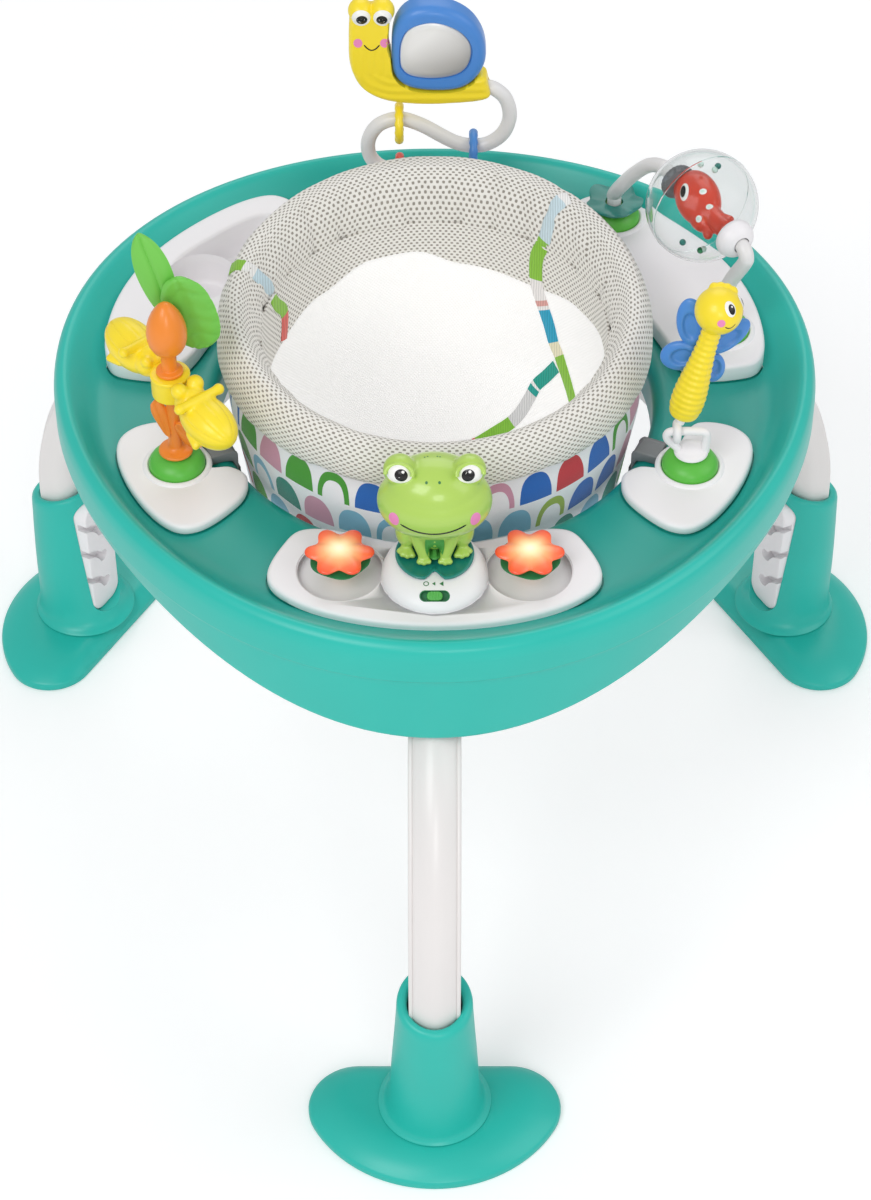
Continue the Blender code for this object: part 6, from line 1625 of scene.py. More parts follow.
orange_plastic = moulded_plastic("satin orange plastic", "F28B2D", 0.34, 0.4, 0.05, 0.15)
yellow_plastic = moulded_plastic("satin yellow plastic", "FFE22B", 0.34, 0.4, 0.04, 0.15)
leaf_plastic = moulded_plastic("soft leaf green plastic", "74C850", 0.38, 0.5, 0.05)
palm = Vector(PALM_AXIS)
bulb = [(0, BULB_HIGH)] + [(15.7 * share, BULB_LOW + (BULB_HIGH - BULB_LOW) * rise) for share, rise in (
    (0.12, 0.995), (0.25, 0.975), (0.40, 0.93), (0.56, 0.86), (0.72, 0.77), (0.86, 0.66), (0.95, 0.55), (1.0, 0.42),
    (0.98, 0.30), (0.90, 0.19), (0.76, 0.10), (0.58, 0.05), (0.44, 0.015))]
post = spun("palm_toy_post", bulb + rounded([
    (6.0, BULB_LOW - 0.5), (6.0, COLLAR_HIGH + 4.4), (7.4, COLLAR_HIGH + 3.9), (10.4, COLLAR_HIGH + 3.2),
    (10.6, COLLAR_HIGH + 0.5), (5.2, COLLAR_HIGH + 0.4), (5.2, COLLAR_LOW - 0.4), (8.6, COLLAR_LOW - 0.4),
    (8.5, COLLAR_LOW - 3.2), (5.3, COLLAR_LOW - 4.2), (5.2, 500), (5.3, 486.6), (8.0, 484.8), (13.3, 483.4),
    (13.6, 481.2), (0, 481.2)], 1.0, 3), 56, PALM_AXIS[:2])
dress(post, orange_plastic, 45, "stand", "palm_post")


def blade(name, outline, thickness, crown, crease, veins, material, place):
    """A moulded leaf: a plate that swells between its edges, with a fold down its middle and raised fields.

    The outline gives (half width, height) in mm from its foot to its tip, in the place's x and z.
    """
    levels = smooth_section(outline, 6)
    across = 12
    rings = []
    for half, up in levels:
        half = max(half, 0.05)
        ring = []
        for face in (-1, 1):
            for k in range(across):
                t = (-1 + 2 * k / across) * (1 if face < 0 else -1)
                swell = math.sqrt(max(0.0, 1 - t ** 4))
                depth = thickness / 2 * swell + crown * (1 - t * t) * min(1, half / 8)
                depth -= crease * math.exp(-(t * half / 1.3) ** 2) * min(1, half / 4)
                if veins:
                    phase = (up + abs(t) * half * 0.75) / veins
                    near = abs(phase - round(phase)) * veins
                    depth -= 1.15 * math.exp(-(near / 1.1) ** 2) * min(1, half / 8) * (1 if abs(t * half) > 1.5 else 0)
                ring.append(tuple(place @ Vector((t * half, face * depth, up))))
        rings.append(ring)
    return finish_mesh(lofted(name, rings), material, 60)


for name, middle, lean, half_height, half_width in (("palm_post_leaf_left", (-8.6, -2.0, 516.5), -16, 17.5, 6.4),
                                                    ("palm_post_leaf_right", (11.5, -4.0, 501.5), 148, 17.0, 8.6)):
    frame_of_leaf = (Matrix.Translation(palm + Vector(middle)) @ Matrix.Rotation(math.radians(lean), 4, "Y")
                     @ Matrix.Rotation(math.radians(-8), 4, "X"))
    petiole = blade(name, [(0.2, -half_height), (half_width * 0.45, -half_height * 0.8), (half_width * 0.8, -4),
                           (half_width, half_height * 0.35), (half_width * 0.75, half_height * 0.8),
                           (0.2, half_height)], 3.6, 1.2, 1.3, 0, orange_plastic, frame_of_leaf)
    enter(petiole, "stand")
twig = tube_along("palm_post_leaf_twig", [Vector(palm + Vector(p)) * MM for p in
                                          ((-3, -1, 500), (-6, -2, 503), (-8, -2, 508))], 0.0022, closed=False)
dress(twig, orange_plastic, 35, "stand")

back = 15.9 + 2.4
round_blade = blade("palm_leaf_round", [
    (0.3, -33.2), (8, -32), (14.5, -26.5), (18.6, -16), (20.2, -2), (19.4, 12), (16.4, 24), (11, 32.5), (5, 36),
    (0.3, 37)], 3.4, 1.3, 1.1, 13.5, leaf_plastic,
    Matrix.Translation(palm + Vector((17.5, back, 604))) @ Matrix.Rotation(math.radians(-14), 4, "Y"))
long_blade = blade("palm_leaf_long", [
    (2.5, -36), (7.5, -28), (11.6, -14), (13.6, 2), (13.4, 16), (10.8, 28), (6.6, 36.5), (2.4, 41), (0.2, 42)],
    3.4, 1.2, 1.5, 0, leaf_plastic,
    Matrix.Translation(palm + Vector((-6.5, back + 7.5, 630))) @ Matrix.Rotation(math.radians(-13), 4, "X")
    @ Matrix.Rotation(math.radians(-18), 4, "Y"))
for piece in (round_blade, long_blade):
    enter(piece, "stand", "palm_leaves")


def in_metres(place):
    """A placement in mm, as one for a mesh in metres."""
    return Matrix.Diagonal((MM, MM, MM, 1)) @ place @ Matrix.Diagonal((1 / MM, 1 / MM, 1 / MM, 1))


# The collar and its two beetles are one yellow moulding. Each beetle points outward, with two eye knobs and a
# cross bar near the collar, and wing cases with a seam.
middle_height = (COLLAR_LOW + COLLAR_HIGH) / 2
sleeve = spun("palm_collar", rounded([
    (STEM_RADIUS + 0.5, COLLAR_LOW), (13.6, COLLAR_LOW), (15.0, COLLAR_LOW + 1.6), (15.0, COLLAR_HIGH - 3.4),
    (15.6, COLLAR_HIGH - 2.6), (15.6, COLLAR_HIGH - 0.8), (14.6, COLLAR_HIGH), (STEM_RADIUS + 0.5, COLLAR_HIGH)],
    0.8), 56, PALM_AXIS[:2], True)
dress(sleeve, yellow_plastic, 40, "palm_turner", "palm_spinner")
for number, azimuth, dip, knob in ((1, -50, 7, 13.2), (2, 130, -10, 9.8)):
    place = (Matrix.Translation(palm + Vector((0, 0, middle_height))) @ Matrix.Rotation(math.radians(azimuth), 4, "Z")
             @ Matrix.Rotation(math.radians(dip), 4, "Y"))
    lumps = [lump((48, 0, -1.5), (28.5, 18.4, 17.0), segments=56, rings=36), lump((26, 0, 2), (12, 13.5, 13.5))]
    lumps += capsule((12, 0, -1), (30, 0, 0), 7.2)
    for side in (-1, 1):
        lumps.append(lump((21, side * 7.6, knob), (0.52 * knob, 0.5 * knob, 0.52 * knob)))
    lumps += capsule((36, -17, 13.0), (36, 17, 13.0), 3.9)
    for side in (-1, 1):
        lumps.append(lump((36, side * 18.5, 13.0), (4.6, 4.4, 4.6)))
        lumps += capsule((45, side * 15, -9.0), (55, side * 17, -12.0), 3.2)
    beetle = melted(f"palm_beetle_{number}", lumps, 1.1, 5)
    for corner in beetle.data.vertices:
        a, b, c = corner.co / MM
        if a > 38:
            turn = math.atan2(b, c)
            seam = math.exp(-(turn / 0.045) ** 2) + sum(math.exp(-((abs(turn) - s) / 0.05) ** 2)
                                                        for s in (0.62, 1.25, 1.9))
            pull = 0.85 * min(1, (a - 38) / 6) * min(seam, 1)
            away = Vector((0, b, c)).normalized() if abs(b) + abs(c) > 0.1 else Vector((0, 0, 0))
            corner.co -= away * pull * MM
    beetle.data.transform(in_metres(place))
    dress(beetle, yellow_plastic, 80, "palm_turner", "palm_spinner")


# The dragonfly toy.
# A white arch on a cap holds a white ring link. A yellow ribbed body hangs from the link, with a round head
# whose face is printed, and four blue wings with oval dishes are pinned behind it.

BAR_HEIGHT = 502.6
LINK_RING = 6.6
TAIL_END = 14.3
HEAD_RADIUS = 18.5

blue_plastic = moulded_plastic("satin blue plastic", "4A8AD6", 0.36, 0.4, 0.05, 0.1)
fly = Vector((188.8, DRAGONFLY_AXIS[1], BAR_HEIGHT))
cap = spun("dragonfly_cap", rounded([(0, 485.2), (8.5, 485.0), (12.6, 483.6), (13.5, 482.2), (13.5, 481.2),
                                     (0, 481.2)], 1.0), 48, DRAGONFLY_AXIS[:2])
arch_places = [Vector((DRAGONFLY_AXIS[0] + x, fly.y, z)) * MM for x, z in (
    (-9.5, 482), (-10.5, 486), (-16.5, 491), (-19.8, 495.5), (-20.2, 500), (-17.2, 502.8), (-10, 502.9), (0, 502.9),
    (6, 502.8), (10.4, 501.6), (11.8, 497.5), (11.2, 491), (11, 486), (11, 482))]
arch = tube_along("dragonfly_arch", arch_places, 0.0034, closed=False, sides=5)
for piece in (cap, arch):
    dress(piece, white_plastic, 35, "stand", "dragonfly_hook")
tilt = Matrix.Rotation(math.radians(-7.7), 4, "X") @ Matrix.Rotation(math.radians(13.4), 4, "Y")
hang = Matrix.Translation(fly) @ tilt
bpy.ops.object.select_all(action="DESELECT")
bpy.ops.mesh.primitive_torus_add(major_radius=LINK_RING * MM, minor_radius=0.0032, major_segments=48, minor_segments=16,
                                 rotation=(0, math.radians(90), 0))
link = bpy.context.object
link.name = "dragonfly_ring_link"
bpy.ops.object.transform_apply(location=True, rotation=True, scale=True)
link.data.transform(Matrix.Translation(fly * MM))
neck = lofted("dragonfly_link_neck", [[tuple(hang @ Vector((r * math.cos(a), r * math.sin(a), z)))
                                       for a in circle(24)]
                                      for r, z in ((3.4, 8.2), (3.5, 10), (3.8, 12.5), (4.4, TAIL_END - 0.3))])
for piece in (link, neck):
    dress(piece, white_plastic, 35, "dragonfly", "dragonfly_link")

body_section = smooth_section([(4.5, 0), (9.5, 1.2), (12.0, 6), (13.0, 16), (12.6, 26), (11.3, 37), (9.9, 48),
                               (8.7, 58), (7.9, 68), (7.6, 80), (7.8, 90)], 10)
rings = []
for radius, up in body_section:
    rib = 0.42 * (math.cos(2 * math.pi * up / 5.2) if 6 < up < 78 else 0.0)
    ring = []
    for angle in circle(56):
        front = (angle + math.pi / 2 + math.pi) % (2 * math.pi) - math.pi
        flank = sum(0.9 * math.exp(-((abs(front) - seam) / 0.10) ** 2) for seam in (0.75, 2.2))
        r = radius + rib * (1 - 0.75 * min(1, flank)) - (flank * 0.55 if 4 < up < 80 else 0)
        ring.append(tuple(hang @ Vector((r * math.cos(angle), r * 0.96 * math.sin(angle), TAIL_END + up))))
    rings.append(ring)
fly_body = lofted("dragonfly_ribbed_body", rings)
finish_mesh(fly_body, yellow_plastic, 60)
head_middle = hang @ Vector((0, 0, 113.8))
lumps = [lump(head_middle, (HEAD_RADIUS,) * 3, segments=64, rings=40)]
for angle in (-12, 4, 20, 36):
    a = math.radians(angle)
    lumps.append(lump(head_middle + Vector((math.sin(a), 0.60 * math.cos(a), 0.80 * math.cos(a))) * 17.6,
                      (4.1, 4.1, 4.3)))
lumps.append(lump(hang @ Vector((0, 0, 100)), (9.2, 9.0, 7)))
fly_head = melted("dragonfly_head", lumps, 0.9, 4)
finish_mesh(fly_head, yellow_plastic, 80)
fly_face = []
eye_frame = looking(head_middle + Vector((0.40, -0.67, 0.62)) * 18, (0.46, -0.66, 0.58))
eye = film("dragonfly_eye", fly_head, oval_rows(4.4, 6.3), eye_frame, white_ink, 0.15, 0.7)
fly_face += [eye, film("dragonfly_pupil", eye, oval_rows(2.7, 4.2, (0.5, -0.5)), eye_frame, black_ink, 0.08)]
fly_face.append(film("dragonfly_glint", fly_face[-1], oval_rows(0.7, 0.8, (1.2, 1.4)), eye_frame, white_ink, 0.06))
far_eye = looking(head_middle + Vector((0.93, 0.12, 0.36)) * 18, (0.93, 0.12, 0.36))
eye = film("dragonfly_far_eye", fly_head, oval_rows(4.4, 6.3), far_eye, white_ink, 0.15, 0.7)
fly_face += [eye, film("dragonfly_far_pupil", eye, oval_rows(2.7, 4.2, (-0.5, -0.5)), far_eye, black_ink, 0.08)]
for name, toward in (("dragonfly_cheek", (0.03, -0.985, 0.12)), ("dragonfly_far_cheek", (0.98, -0.15, -0.08))):
    fly_face.append(film(name, fly_head, oval_rows(3.1, 3.3), looking(head_middle + Vector(toward) * 18, toward),
                         pink_ink))
grin = looking(head_middle + Vector((0.42, -0.88, -0.12)) * 18, (0.42, -0.88, -0.12))
fly_face.append(film("dragonfly_smile", fly_head, stroke_rows(
    [(4.4 * s, 2.6 * s * s - 1.6) for s in (-1 + 2 * k / 14 for k in range(15))], 0.9), grin, black_ink))
for piece in [fly_body, fly_head] + fly_face:
    enter(piece, "dragonfly", "dragonfly_body" if piece in (fly_body, fly_head) else None)


def wing(name, centre, half_width, half_length, lean, yaw):
    """A thick oval wing with an oval dish pressed in its front, placed in the dragonfly's own frame."""
    piece = lump((0, 0, 0), (1, 1, 1), (90, 0, 0), 56, 36)
    lone(piece)
    bpy.ops.object.transform_apply(location=True, rotation=True, scale=True)
    for corner in piece.data.vertices:
        x, y, z = corner.co / MM
        depth = 4.2 * (1 if y > 0 else -1) * abs(y) ** 0.7
        dish = math.hypot(x / 0.50, (z + 0.10) / 0.52)
        if y < 0 and dish < 1.25:
            fall = min(1, max(0, (1.25 - dish) / 0.45))
            depth += 3.0 * fall * fall * (3 - 2 * fall)
        corner.co = Vector((x * half_width, depth, z * half_length)) * MM
    place = (hang @ Matrix.Translation(centre) @ Matrix.Rotation(math.radians(yaw), 4, "Z")
             @ Matrix.Rotation(math.radians(lean), 4, "Y"))
    piece.data.transform(in_metres(place))
    piece.name = name
    return finish_mesh(piece, blue_plastic, 70)


for name, centre, half_width, half_length, lean, yaw in (
        ("dragonfly_wing_upper_left", (-14.0, 13.0, 91.0), 11.6, 20.5, -19, -14),
        ("dragonfly_wing_upper_right", (18.0, 13.0, 86.0), 10.4, 19.0, 38, 18),
        ("dragonfly_wing_lower_left", (-14.0, 12.5, 60.5), 12.6, 15.8, -118, -10),
        ("dragonfly_wing_lower_right", (13.5, 12.5, 56.0), 9.8, 13.6, 158, 18)):
    enter(wing(name, centre, half_width, half_length, lean, yaw), "dragonfly", "dragonfly_wings")
spine = lofted("dragonfly_wing_plate", [
    [tuple(hang @ Vector((radius * math.cos(a), 12.0 + 2.6 * math.sin(a), up))) for a in circle(28)]
    for radius, up in ((0.3, 44), (5.0, 47), (7.2, 54), (7.4, 70), (7.0, 88), (5.5, 98), (0.3, 101))])
dress(spine, blue_plastic, 60, "dragonfly", "dragonfly_wings")


# The fish ball.
# A white bent tube stands in two domes. A clear ball with a red fish and loose beads turns on it, between a grey
# cap inside and a white hub outside. A wavy dark teal leaf lies on the rear dome.

BALL_HEIGHT = 573.5
BALL_ALONG = 129.0
BALL_RADIUS = 45.7
BALL_WALL = 1.8
FISH_TUBE_RADIUS = 6.2

tube_plastic = moulded_plastic("light grey painted tube", "E7E5E4", 0.33, 0.5, 0.04, 0.2)
rear, front = Vector((*FISH_REAR_AXIS, 0)), Vector((*FISH_FRONT_AXIS, 0))
run = (front - rear).normalized()
span = (front - rear).length
foot = REAR_POD_TOP + DOME_HEIGHT + 0.6
ball_end = BALL_ALONG + BALL_RADIUS
tube_corners = [(0, foot), (0, foot + 5), (0.3, foot + 11), (13, BALL_HEIGHT - 55), (29, BALL_HEIGHT - 34),
                (50, BALL_HEIGHT - 11.5), (70, BALL_HEIGHT), (82, BALL_HEIGHT), (BALL_ALONG, BALL_HEIGHT),
                (ball_end, BALL_HEIGHT), (ball_end + 11.5, BALL_HEIGHT), (ball_end + 16.5, BALL_HEIGHT - 1.2),
                (ball_end + 20.5, BALL_HEIGHT - 6.5), (ball_end + 18.3, BALL_HEIGHT - 15),
                (span + 4.5, BALL_HEIGHT - 48), (span + 0.3, foot + 12), (span, foot + 6), (span, foot)]
places = smooth_section(tube_corners, 5)
bent = tube_along("fish_bent_tube", [(rear + run * along + Vector((0, 0, height))) * MM for along, height in places],
                  FISH_TUBE_RADIUS * MM, closed=False, sides=6)
dress(bent, tube_plastic, 60, "stand", "fish_tube")

rings = []
for share, height, curl in ((0.31, 488.8, 0), (0.9, 488.8, 0.6), (1.0, 489.6, 1.6), (1.0, 491.0, 1.6),
                            (0.93, 491.6, 1.2), (0.6, 491.2, 0.3), (0.31, 491.2, 0)):
    ring = []
    for angle in circle(96):
        lobe = 0.5 + 0.5 * math.cos(5 * angle + 0.9)
        radius = 25.0 * share * (1 - 0.17 * (1 - lobe) ** 1.5 * share)
        ring.append((rear.x + radius * math.cos(angle), rear.y + radius * math.sin(angle),
                     height + curl * (lobe * 2.2 - 0.2)))
    rings.append(ring)
leaf_plate = lofted("fish_wavy_leaf", rings + [rings[0]], caps=False)
dress(leaf_plate, lily_plastic, 60, "stand", "fish_leaf_disc")

# Everything on the ball is turned about the tube: its own z axis lies along the tube, towards the hub
ball_middle = rear + run * BALL_ALONG + Vector((0, 0, BALL_HEIGHT))
side_axis = Vector((0, 0, 1)).cross(run).normalized()
ball_frame = Matrix.Translation(ball_middle) @ Matrix((side_axis, run.cross(side_axis), run)).transposed().to_4x4()
to_ball = in_metres(ball_frame)

# Clear injection-moulded styrene: see-through, with bright rims and a thin joint round its middle
clear_plastic, tree, shader = new_material("clear polystyrene", {"Roughness": 0.03, "IOR": 1.2,
                                                                 "Transmission Weight": 1.0})
wobble = texture(tree, "Noise", {"Scale": 30.0, "Detail": 1.0})
raise_relief(tree, shader, wobble, 0.08, 0.001)
tree.links.new(shade_between(tree, wobble, "FAFEFD", "FFFFFF"), shader.inputs["Base Color"])


def ball_arc(radius):
    """One skin of the ball as (radius, height), from one of the tube's holes to the other."""
    start = math.asin((FISH_TUBE_RADIUS + 0.5) / radius)
    return [(radius * math.sin(a), radius * math.cos(a))
            for a in (start + (math.pi - 2 * start) * k / 48 for k in range(49))]


inner_radius = BALL_RADIUS - BALL_WALL
clear_ball = spun("clear_ball", ball_arc(BALL_RADIUS) + ball_arc(inner_radius)[::-1], 96, (0, 0), True)
seam = spun("clear_ball_seam", [(BALL_RADIUS - 0.2, -0.55), (BALL_RADIUS + 0.35, -0.45), (BALL_RADIUS + 0.35, 0.45),
                                (BALL_RADIUS - 0.2, 0.55)], 96, (0, 0), True)
for piece, node in ((clear_ball, "ball_shell"), (seam, None)):
    piece.data.transform(to_ball)
    dress(piece, clear_plastic, 60, "fish_ball", node)
hub_seat = BALL_RADIUS + 0.4
hub = spun("ball_end_hub", rounded(
    [(6.7, hub_seat - 0.3), (11.5, math.sqrt(hub_seat ** 2 - 11.5 ** 2) + 0.1),
     (15.2, math.sqrt(hub_seat ** 2 - 15.2 ** 2) + 0.2), (16.3, hub_seat + 1.0), (15.8, hub_seat + 5.2),
     (13.6, hub_seat + 9.2), (10.2, hub_seat + 11.8), (6.9, hub_seat + 12.6)], 1.4, 4), 64, (0, 0), True)
inner_cap = spun("ball_inner_cap", rounded(
    [(6.7, -42.6), (9.0, -42.2), (13.6, -40.6), (14.8, -36.5), (14.0, -33.2), (10.0, -31.2), (6.7, -30.6)], 1.0), 96,
    (0, 0), True)
for corner in inner_cap.data.vertices:
    turn = math.atan2(corner.co.y, corner.co.x)
    if math.hypot(corner.co.x, corner.co.y) > 13 * MM:
        corner.co.xy *= 1 + 0.035 * (math.floor(turn * 24 / math.pi) % 2)
for piece, material, slot, node in ((hub, white_plastic, "white_moulding", "ball_hub"),
                                    (inner_cap, grey_plastic, "grey_moulding", None)):
    piece.data.transform(to_ball)
    dress(piece, material, 50, "fish_ball", node)

# The fish: glossy red, deep and flat, its head by the inner cap and its forked tail by the hub. It is laid out
# across, towards the front, and along the tube
fish_red = moulded_plastic("glossy red plastic", "DE4024", 0.3, 0.5, 0.05, 0.4)
across_view = Vector((0.6984, 0.3890, 0.6007))
toward_view = run.cross(across_view).normalized()
across_view = toward_view.cross(run).normalized()
fish_frame = (Matrix.Translation(ball_middle)
              @ Matrix((across_view, run.cross(across_view), run)).transposed().to_4x4())
lumps = [lump((2.0, 0, -8.5), (18.5, 12.5, 28.5), (0, -14, 0), 56, 40), lump((3.5, 0, -19), (15.5, 11.5, 17.5)),
         lump((-5.5, 0, 8), (11.5, 9.0, 16.0), (0, -16, 0)), lump((14.5, 0, -9), (5.0, 3.6, 13.0), (0, -12, 0))]
lumps += capsule((-1, 0, 14), (8.0, 0, 31), 5.5, 3.4)
lumps += capsule((-6, 0, 14), (-13.0, 0, 26), 6.0, 4.0)
lumps += capsule((8.0, 0, 31), (1.0, 0, 30), 3.2, 3.0)
lumps += capsule((-0.5, 0, 12), (0, 0, 33), 9.6, 8.4)
fish_lump = melted("fish_figure", lumps, 0.9, 6)
fish_lump.data.transform(in_metres(fish_frame))
bore = spun("fish_bore", [(0, -50), (6.6, -50), (6.6, 50), (0, 50)], 40)
bore.data.transform(to_ball)
cut_away(fish_lump, bore)
finish_mesh(fish_lump, fish_red, 60)
fish_parts = []
dot_paint = ink("pale mint paint", "CFE9DF", 0.35)
for side_name, side in (("near", 1), ("far", -1)):
    facing = toward_view * side
    for number, (along, sideways, half) in enumerate(((-13.5, -2.2, 0), (-0.5, 8.5, 2.9), (13.5, 3.5, 2.8),
                                                      (14.0, -9.2, 2.8)), 1):
        spot_frame = (looking(ball_middle + run * along + across_view * sideways + facing * 14, facing)
                      @ Matrix.Rotation(math.radians(52 * side), 4, "Z"))
        if number == 1:
            under = film(f"fish_eye_{side_name}", fish_lump, oval_rows(4.5, 8.0), spot_frame, white_ink, 0.15, 0.6)
            over = film(f"fish_pupil_{side_name}", under, oval_rows(2.9, 5.4, (-side, 0.6)), spot_frame, black_ink,
                        0.08)
        else:
            under = film(f"fish_spot_{side_name}_{number}", fish_lump, oval_rows(half, half), spot_frame, white_ink,
                         0.15, 0.6)
            over = film(f"fish_dot_{side_name}_{number}", under, oval_rows(half / 2, half / 2), spot_frame, dot_paint,
                        0.08)
        fish_parts += [under, over]
for piece in [fish_lump] + fish_parts:
    enter(piece, "fish_ball", "fish" if piece == fish_lump else None)
for number, (right_of, up_of, bead_plastic) in enumerate((
        (-15.5, -29.5, lily_plastic), (-1.3, -36.0, deep_green_plastic), (1.2, -35.0, dot_paint),
        (-1.0, 33.5, dot_paint), (13.0, 32.0, lily_plastic), (10.5, 29.0, dot_paint)), 1):
    reach = Vector((right_of, 0, 0)) + Vector((0, 0.709, 0.706)) * up_of
    reach.length = min(reach.length, inner_radius - 3.2)
    bead = lump(ball_middle + reach, (2.7, 2.7, 2.7), segments=20, rings=14)
    bead.name = f"rattle_bead_{number}"
    dress(bead, bead_plastic, 35, "fish_ball")


# The snail and its tube.
# A white S-shaped tube stands in the rear pod and carries three rings. The snail at its top turns on the tube's
# end: a yellow body with soft flutes and a printed face, and a blue shell that frames a baby-safe mirror.

SNAIL_Y = 240.0
TAIL_HEIGHT = 586.0
SNAIL_BODY = [(44.0, 579.0), (44.5, 593.5), (40.0, 601.0), (20.0, 600.0), (-20.0, 610.0), (-37.0, 625.0),
              (-37.0, 663.0), (-45.0, 670.5), (-52.5, 665.0), (-60.0, 670.5), (-69.0, 662.0), (-71.0, 635.0),
              (-70.0, 612.0), (-62.0, 592.0), (-45.0, 579.0), (-20.0, 574.5), (10.0, 574.5)]
SNAIL_SHELL = [(12.0, 588.0), (31.0, 596.0), (42.0, 616.0), (40.0, 640.0), (27.0, 660.0), (3.0, 671.0),
               (-20.0, 668.0), (-33.0, 652.0), (-36.0, 625.0), (-33.0, 602.0), (-18.0, 590.0)]
TUBE_ROUTE = [(0.0, 479.8), (0.0, 482.8), (-1.0, 488.8), (-12.0, 497.5), (-30.0, 500.0), (-46.0, 503.0),
              (-55.5, 515.0), (-56.0, 532.0), (-47.0, 547.0), (-30.0, 553.0), (-12.0, 547.0), (8.0, 534.0),
              (20.0, 527.5), (33.0, 525.0), (46.0, 527.5), (58.0, 538.0), (63.5, 555.0), (60.0, 573.0),
              (50.5, 583.5), (42.0, TAIL_HEIGHT), (34.0, TAIL_HEIGHT), (27.0, TAIL_HEIGHT)]
snail_y = set_on_axis(SNAIL_Y)
s_tube = tube_along("snail_s_tube", [Vector((x, snail_y, z)) * MM for x, z in smooth_section(TUBE_ROUTE, 5)],
                    FISH_TUBE_RADIUS * MM, closed=False, sides=6)
dress(s_tube, tube_plastic, 60, "stand", "snail_tube")


def plump(name, loop, levels):
    """An upright shape in the snail's plane: its outline drawn in by a distance at each depth in mm."""
    corners = [Vector(p) for p in loop]
    before_each = corners[-1:] + corners[:-1]
    edges = [(after - before).normalized() for before, after in zip(before_each, corners[1:] + corners[:1])]
    sign = -1 if sum(a.x * b.y - b.x * a.y for a, b in zip(before_each, corners)) > 0 else 1
    return lofted(name, [[(p.x + edge.y * inset * sign, snail_y + depth, p.y - edge.x * inset * sign)
                          for p, edge in zip(corners, edges)] for depth, inset in levels])


def soft_levels(half, edge, steps=6):
    """Depths and insets of a plate whose two edges are rounded by a radius."""
    near = [(-half + edge * (1 - math.sin(a)), edge * (1 - math.cos(a)))
            for a in (math.pi / 2 * (1 - k / steps) for k in range(steps + 1))]
    return near + [(-depth, inset) for depth, inset in reversed(near)]


body_loop = [tuple(p) for p in loop_through(SNAIL_BODY, 6)]
shell_loop = [tuple(p) for p in loop_through(SNAIL_SHELL, 8)]
snail_body = plump("snail_soft_body", body_loop, soft_levels(12.0, 5.5))
snail_body = melted("snail_soft_body", [snail_body] + [lump((x, snail_y - 4.0, 664.5), (10.2, 11.0, 10.2))
                                                       for x in (-61.0, -42.8)], 1.0, 4)
cut_away(snail_body, plump("shell_pocket", shell_loop, [(-30, -0.5), (30, -0.5)]))
# The bore follows the tube's bend out of the tail, with room for the snail to turn on it
cut_away(snail_body, lofted("tail_bore", [
    [(x, snail_y + radius * math.cos(math.pi * k / 20), z + radius * math.sin(math.pi * k / 20)) for k in range(40)]
    for x, z, radius in ((16.5, TAIL_HEIGHT, 6.9), (40.0, TAIL_HEIGHT, 6.9), (44.0, TAIL_HEIGHT - 0.5, 7.2),
                         (50.5, TAIL_HEIGHT - 2.6, 8.4), (62.0, TAIL_HEIGHT - 7.0, 10.5))]))
for corner in snail_body.data.vertices:
    x, y, z = corner.co.x / MM, corner.co.y / MM - snail_y, corner.co.z / MM
    if y < -6 and z < 634:
        if z > 606 and x < -36:
            flute = math.cos(2 * math.pi * (x + 53) / 7.5)
        else:
            flute = math.cos(2 * math.pi * math.hypot(max(0, x + 30) * 0.12 + min(0, x + 30) * 0.7, z - 612) / 7.5)
        corner.co.y += 0.55 * MM * (1 - flute) / 2 * min(1, (634 - z) / 10)
finish_mesh(snail_body, yellow_plastic, 80)
snail_pieces = [snail_body]
for name, x, look, cheek_x in (("left", -60.2, 0.6, -63.2), ("right", -42.6, -0.5, -41.2)):
    eye_frame = looking((x, snail_y - 12, 662.5), (0, -0.94, 0.30))
    eye = film(f"snail_eye_{name}", snail_body, oval_rows(7.6, 7.4), eye_frame, white_ink, 0.2, 0.9)
    pupil = film(f"snail_pupil_{name}", eye, oval_rows(4.6, 4.2, (look, -1.2)), eye_frame, black_ink, 0.1)
    cheek = film(f"snail_cheek_{name}", snail_body, oval_rows(3.7, 4.4),
                 looking((cheek_x, snail_y - 10, 637.5), (0, -1, 0.1)), pink_ink)
    snail_pieces += [eye, pupil, cheek]
snail_pieces.append(film("snail_smile", snail_body, stroke_rows(
    [(6.4 * s, 5.4 * s * s - 2.7) for s in (-1 + 2 * k / 20 for k in range(21))], 1.2),
    looking((-51.8, snail_y - 10, 633.2), (0, -1, 0.1)), black_ink))
for piece in snail_pieces:
    enter(piece, "snail", "snail_body" if piece == snail_body else None)

shell_ring = plump("snail_shell_frame", shell_loop,
                   [(depth, inset + 0.2) for depth, inset in soft_levels(13.0, 8.0, 8)])
mirror_loop = [tuple(p) for p in loop_through(
    [(-29.1, 621.3), (-27.7, 639.1), (-20.3, 651.9), (-2.2, 657.8), (16.6, 651.9), (28.2, 640.1), (30.8, 627.3),
     (26.8, 613.3), (16.9, 605.3), (-0.6, 602.0), (-18.9, 604.3), (-27.1, 611.3)], 8)]
cut_away(shell_ring, plump("mirror_seat", mirror_loop, [(-20, -1.6), (-12.4, -0.4), (-10.6, 0), (-10.6, 4)]))
dress(shell_ring, blue_plastic, 50, "snail", "snail_shell")

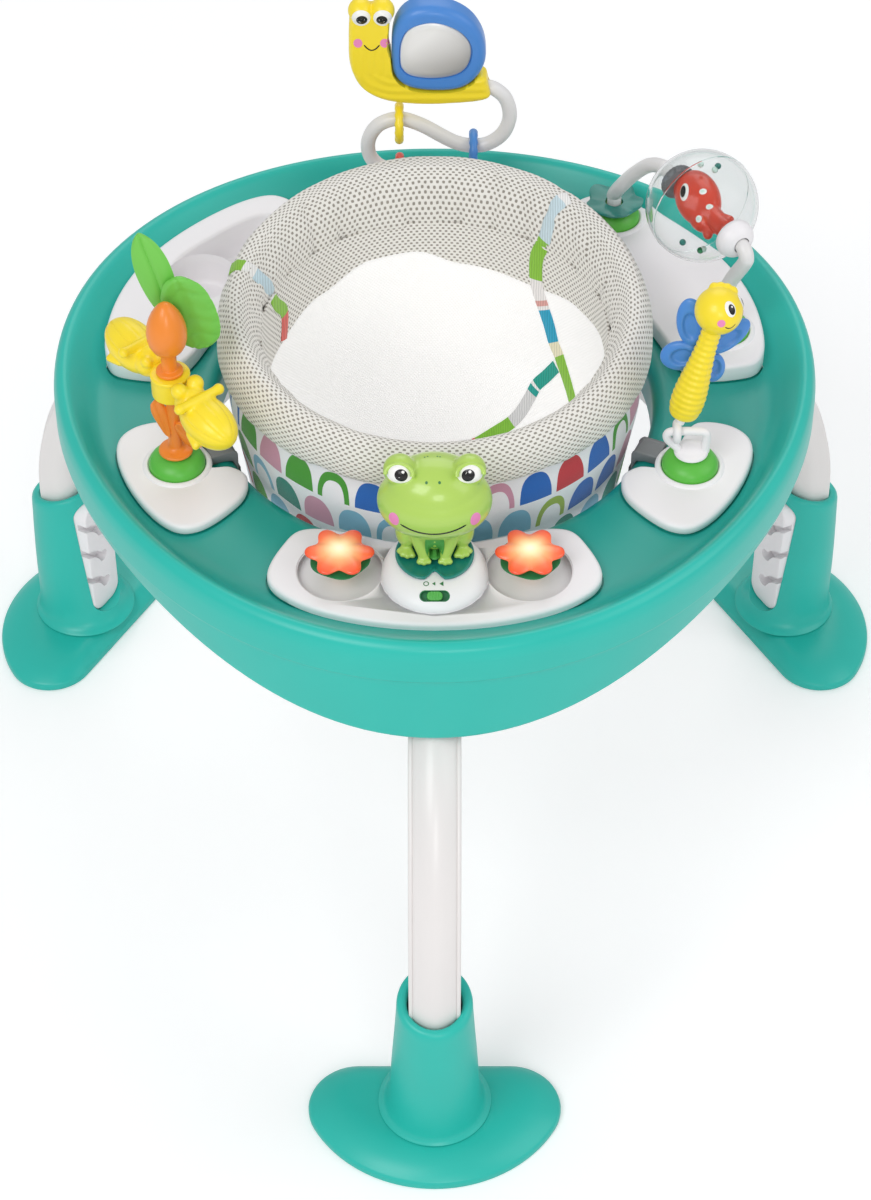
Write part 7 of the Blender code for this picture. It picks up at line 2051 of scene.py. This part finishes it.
# Aluminised polyester film on a plastic backing: a soft mirror with slight waves. Its colour is a painted reflection, a
# cloudy ramp from light at the upper left to grey at the lower right
mirror_film, tree, shader = new_material("mirror film", {"Metallic": 0.35, "Roughness": 0.28})
cloud = texture(tree, "Noise", {"Scale": 18.0, "Detail": 2.0})
place = add_node(tree, "ShaderNodeTexCoord")
where = add_node(tree, "ShaderNodeSeparateXYZ", None, {"Vector": place.outputs["Object"]})
painted_reflection_ramp = sum_of(tree, "ADD", sum_of(tree, "SUBTRACT", where.outputs["Z"], where.outputs["X"]),
               sum_of(tree, "MULTIPLY", cloud, 0.012))
tree.links.new(shade_between(tree, painted_reflection_ramp, "BDBBB9", "F6F5F4", 0.600, 0.655), shader.inputs["Base Color"])
raise_relief(tree, shader, cloud, 0.15, 0.002)
middle = sum((Vector(p) for p in mirror_loop), Vector((0, 0))) / len(mirror_loop)
mirror = lofted("snail_mirror_plate", [
    [(middle.x + (x - middle.x) * size, snail_y + depth, middle.y + (z - middle.y) * size) for x, z in mirror_loop]
    for depth, size in ((-10.2, 0.978), (-11.4, 0.978), (-11.9, 0.955), (-12.5, 0.72), (-12.9, 0.42), (-13.0, 0.12))])
dress(mirror, mirror_film, 60, "snail", "snail_mirror")

red_plastic = moulded_plastic("satin red plastic", "D8452F", 0.35, 0.4, 0.04, 0.1)
for name, x, height, material, slot, body in (
        ("ring_red", -30, 500.0, red_plastic, "red_moulding", "red_ring"),
        ("ring_yellow", -30, 553.0, yellow_plastic, "yellow_moulding", "yellow_ring"),
        ("ring_blue", 33, 525.0, blue_plastic, "blue_moulding", "blue_ring")):
    bpy.ops.object.select_all(action="DESELECT")
    bpy.ops.mesh.primitive_torus_add(major_radius=0.0145, minor_radius=0.0035, major_segments=64, minor_segments=20,
                                     location=(x * MM, snail_y * MM, (height - 4.4) * MM),
                                     rotation=(0, math.radians(90), 0))
    piece = bpy.context.object
    piece.name = f"{name}_loop"
    finish_mesh(piece, material, 60)
    for corner in piece.data.vertices:
        around = math.atan2(corner.co.y - snail_y * MM, corner.co.z - (height - 4.4) * MM)
        corner.co.x = x * MM + (corner.co.x - x * MM) * (1 + 0.10 * math.cos(12 * around))
    enter(piece, body, name)
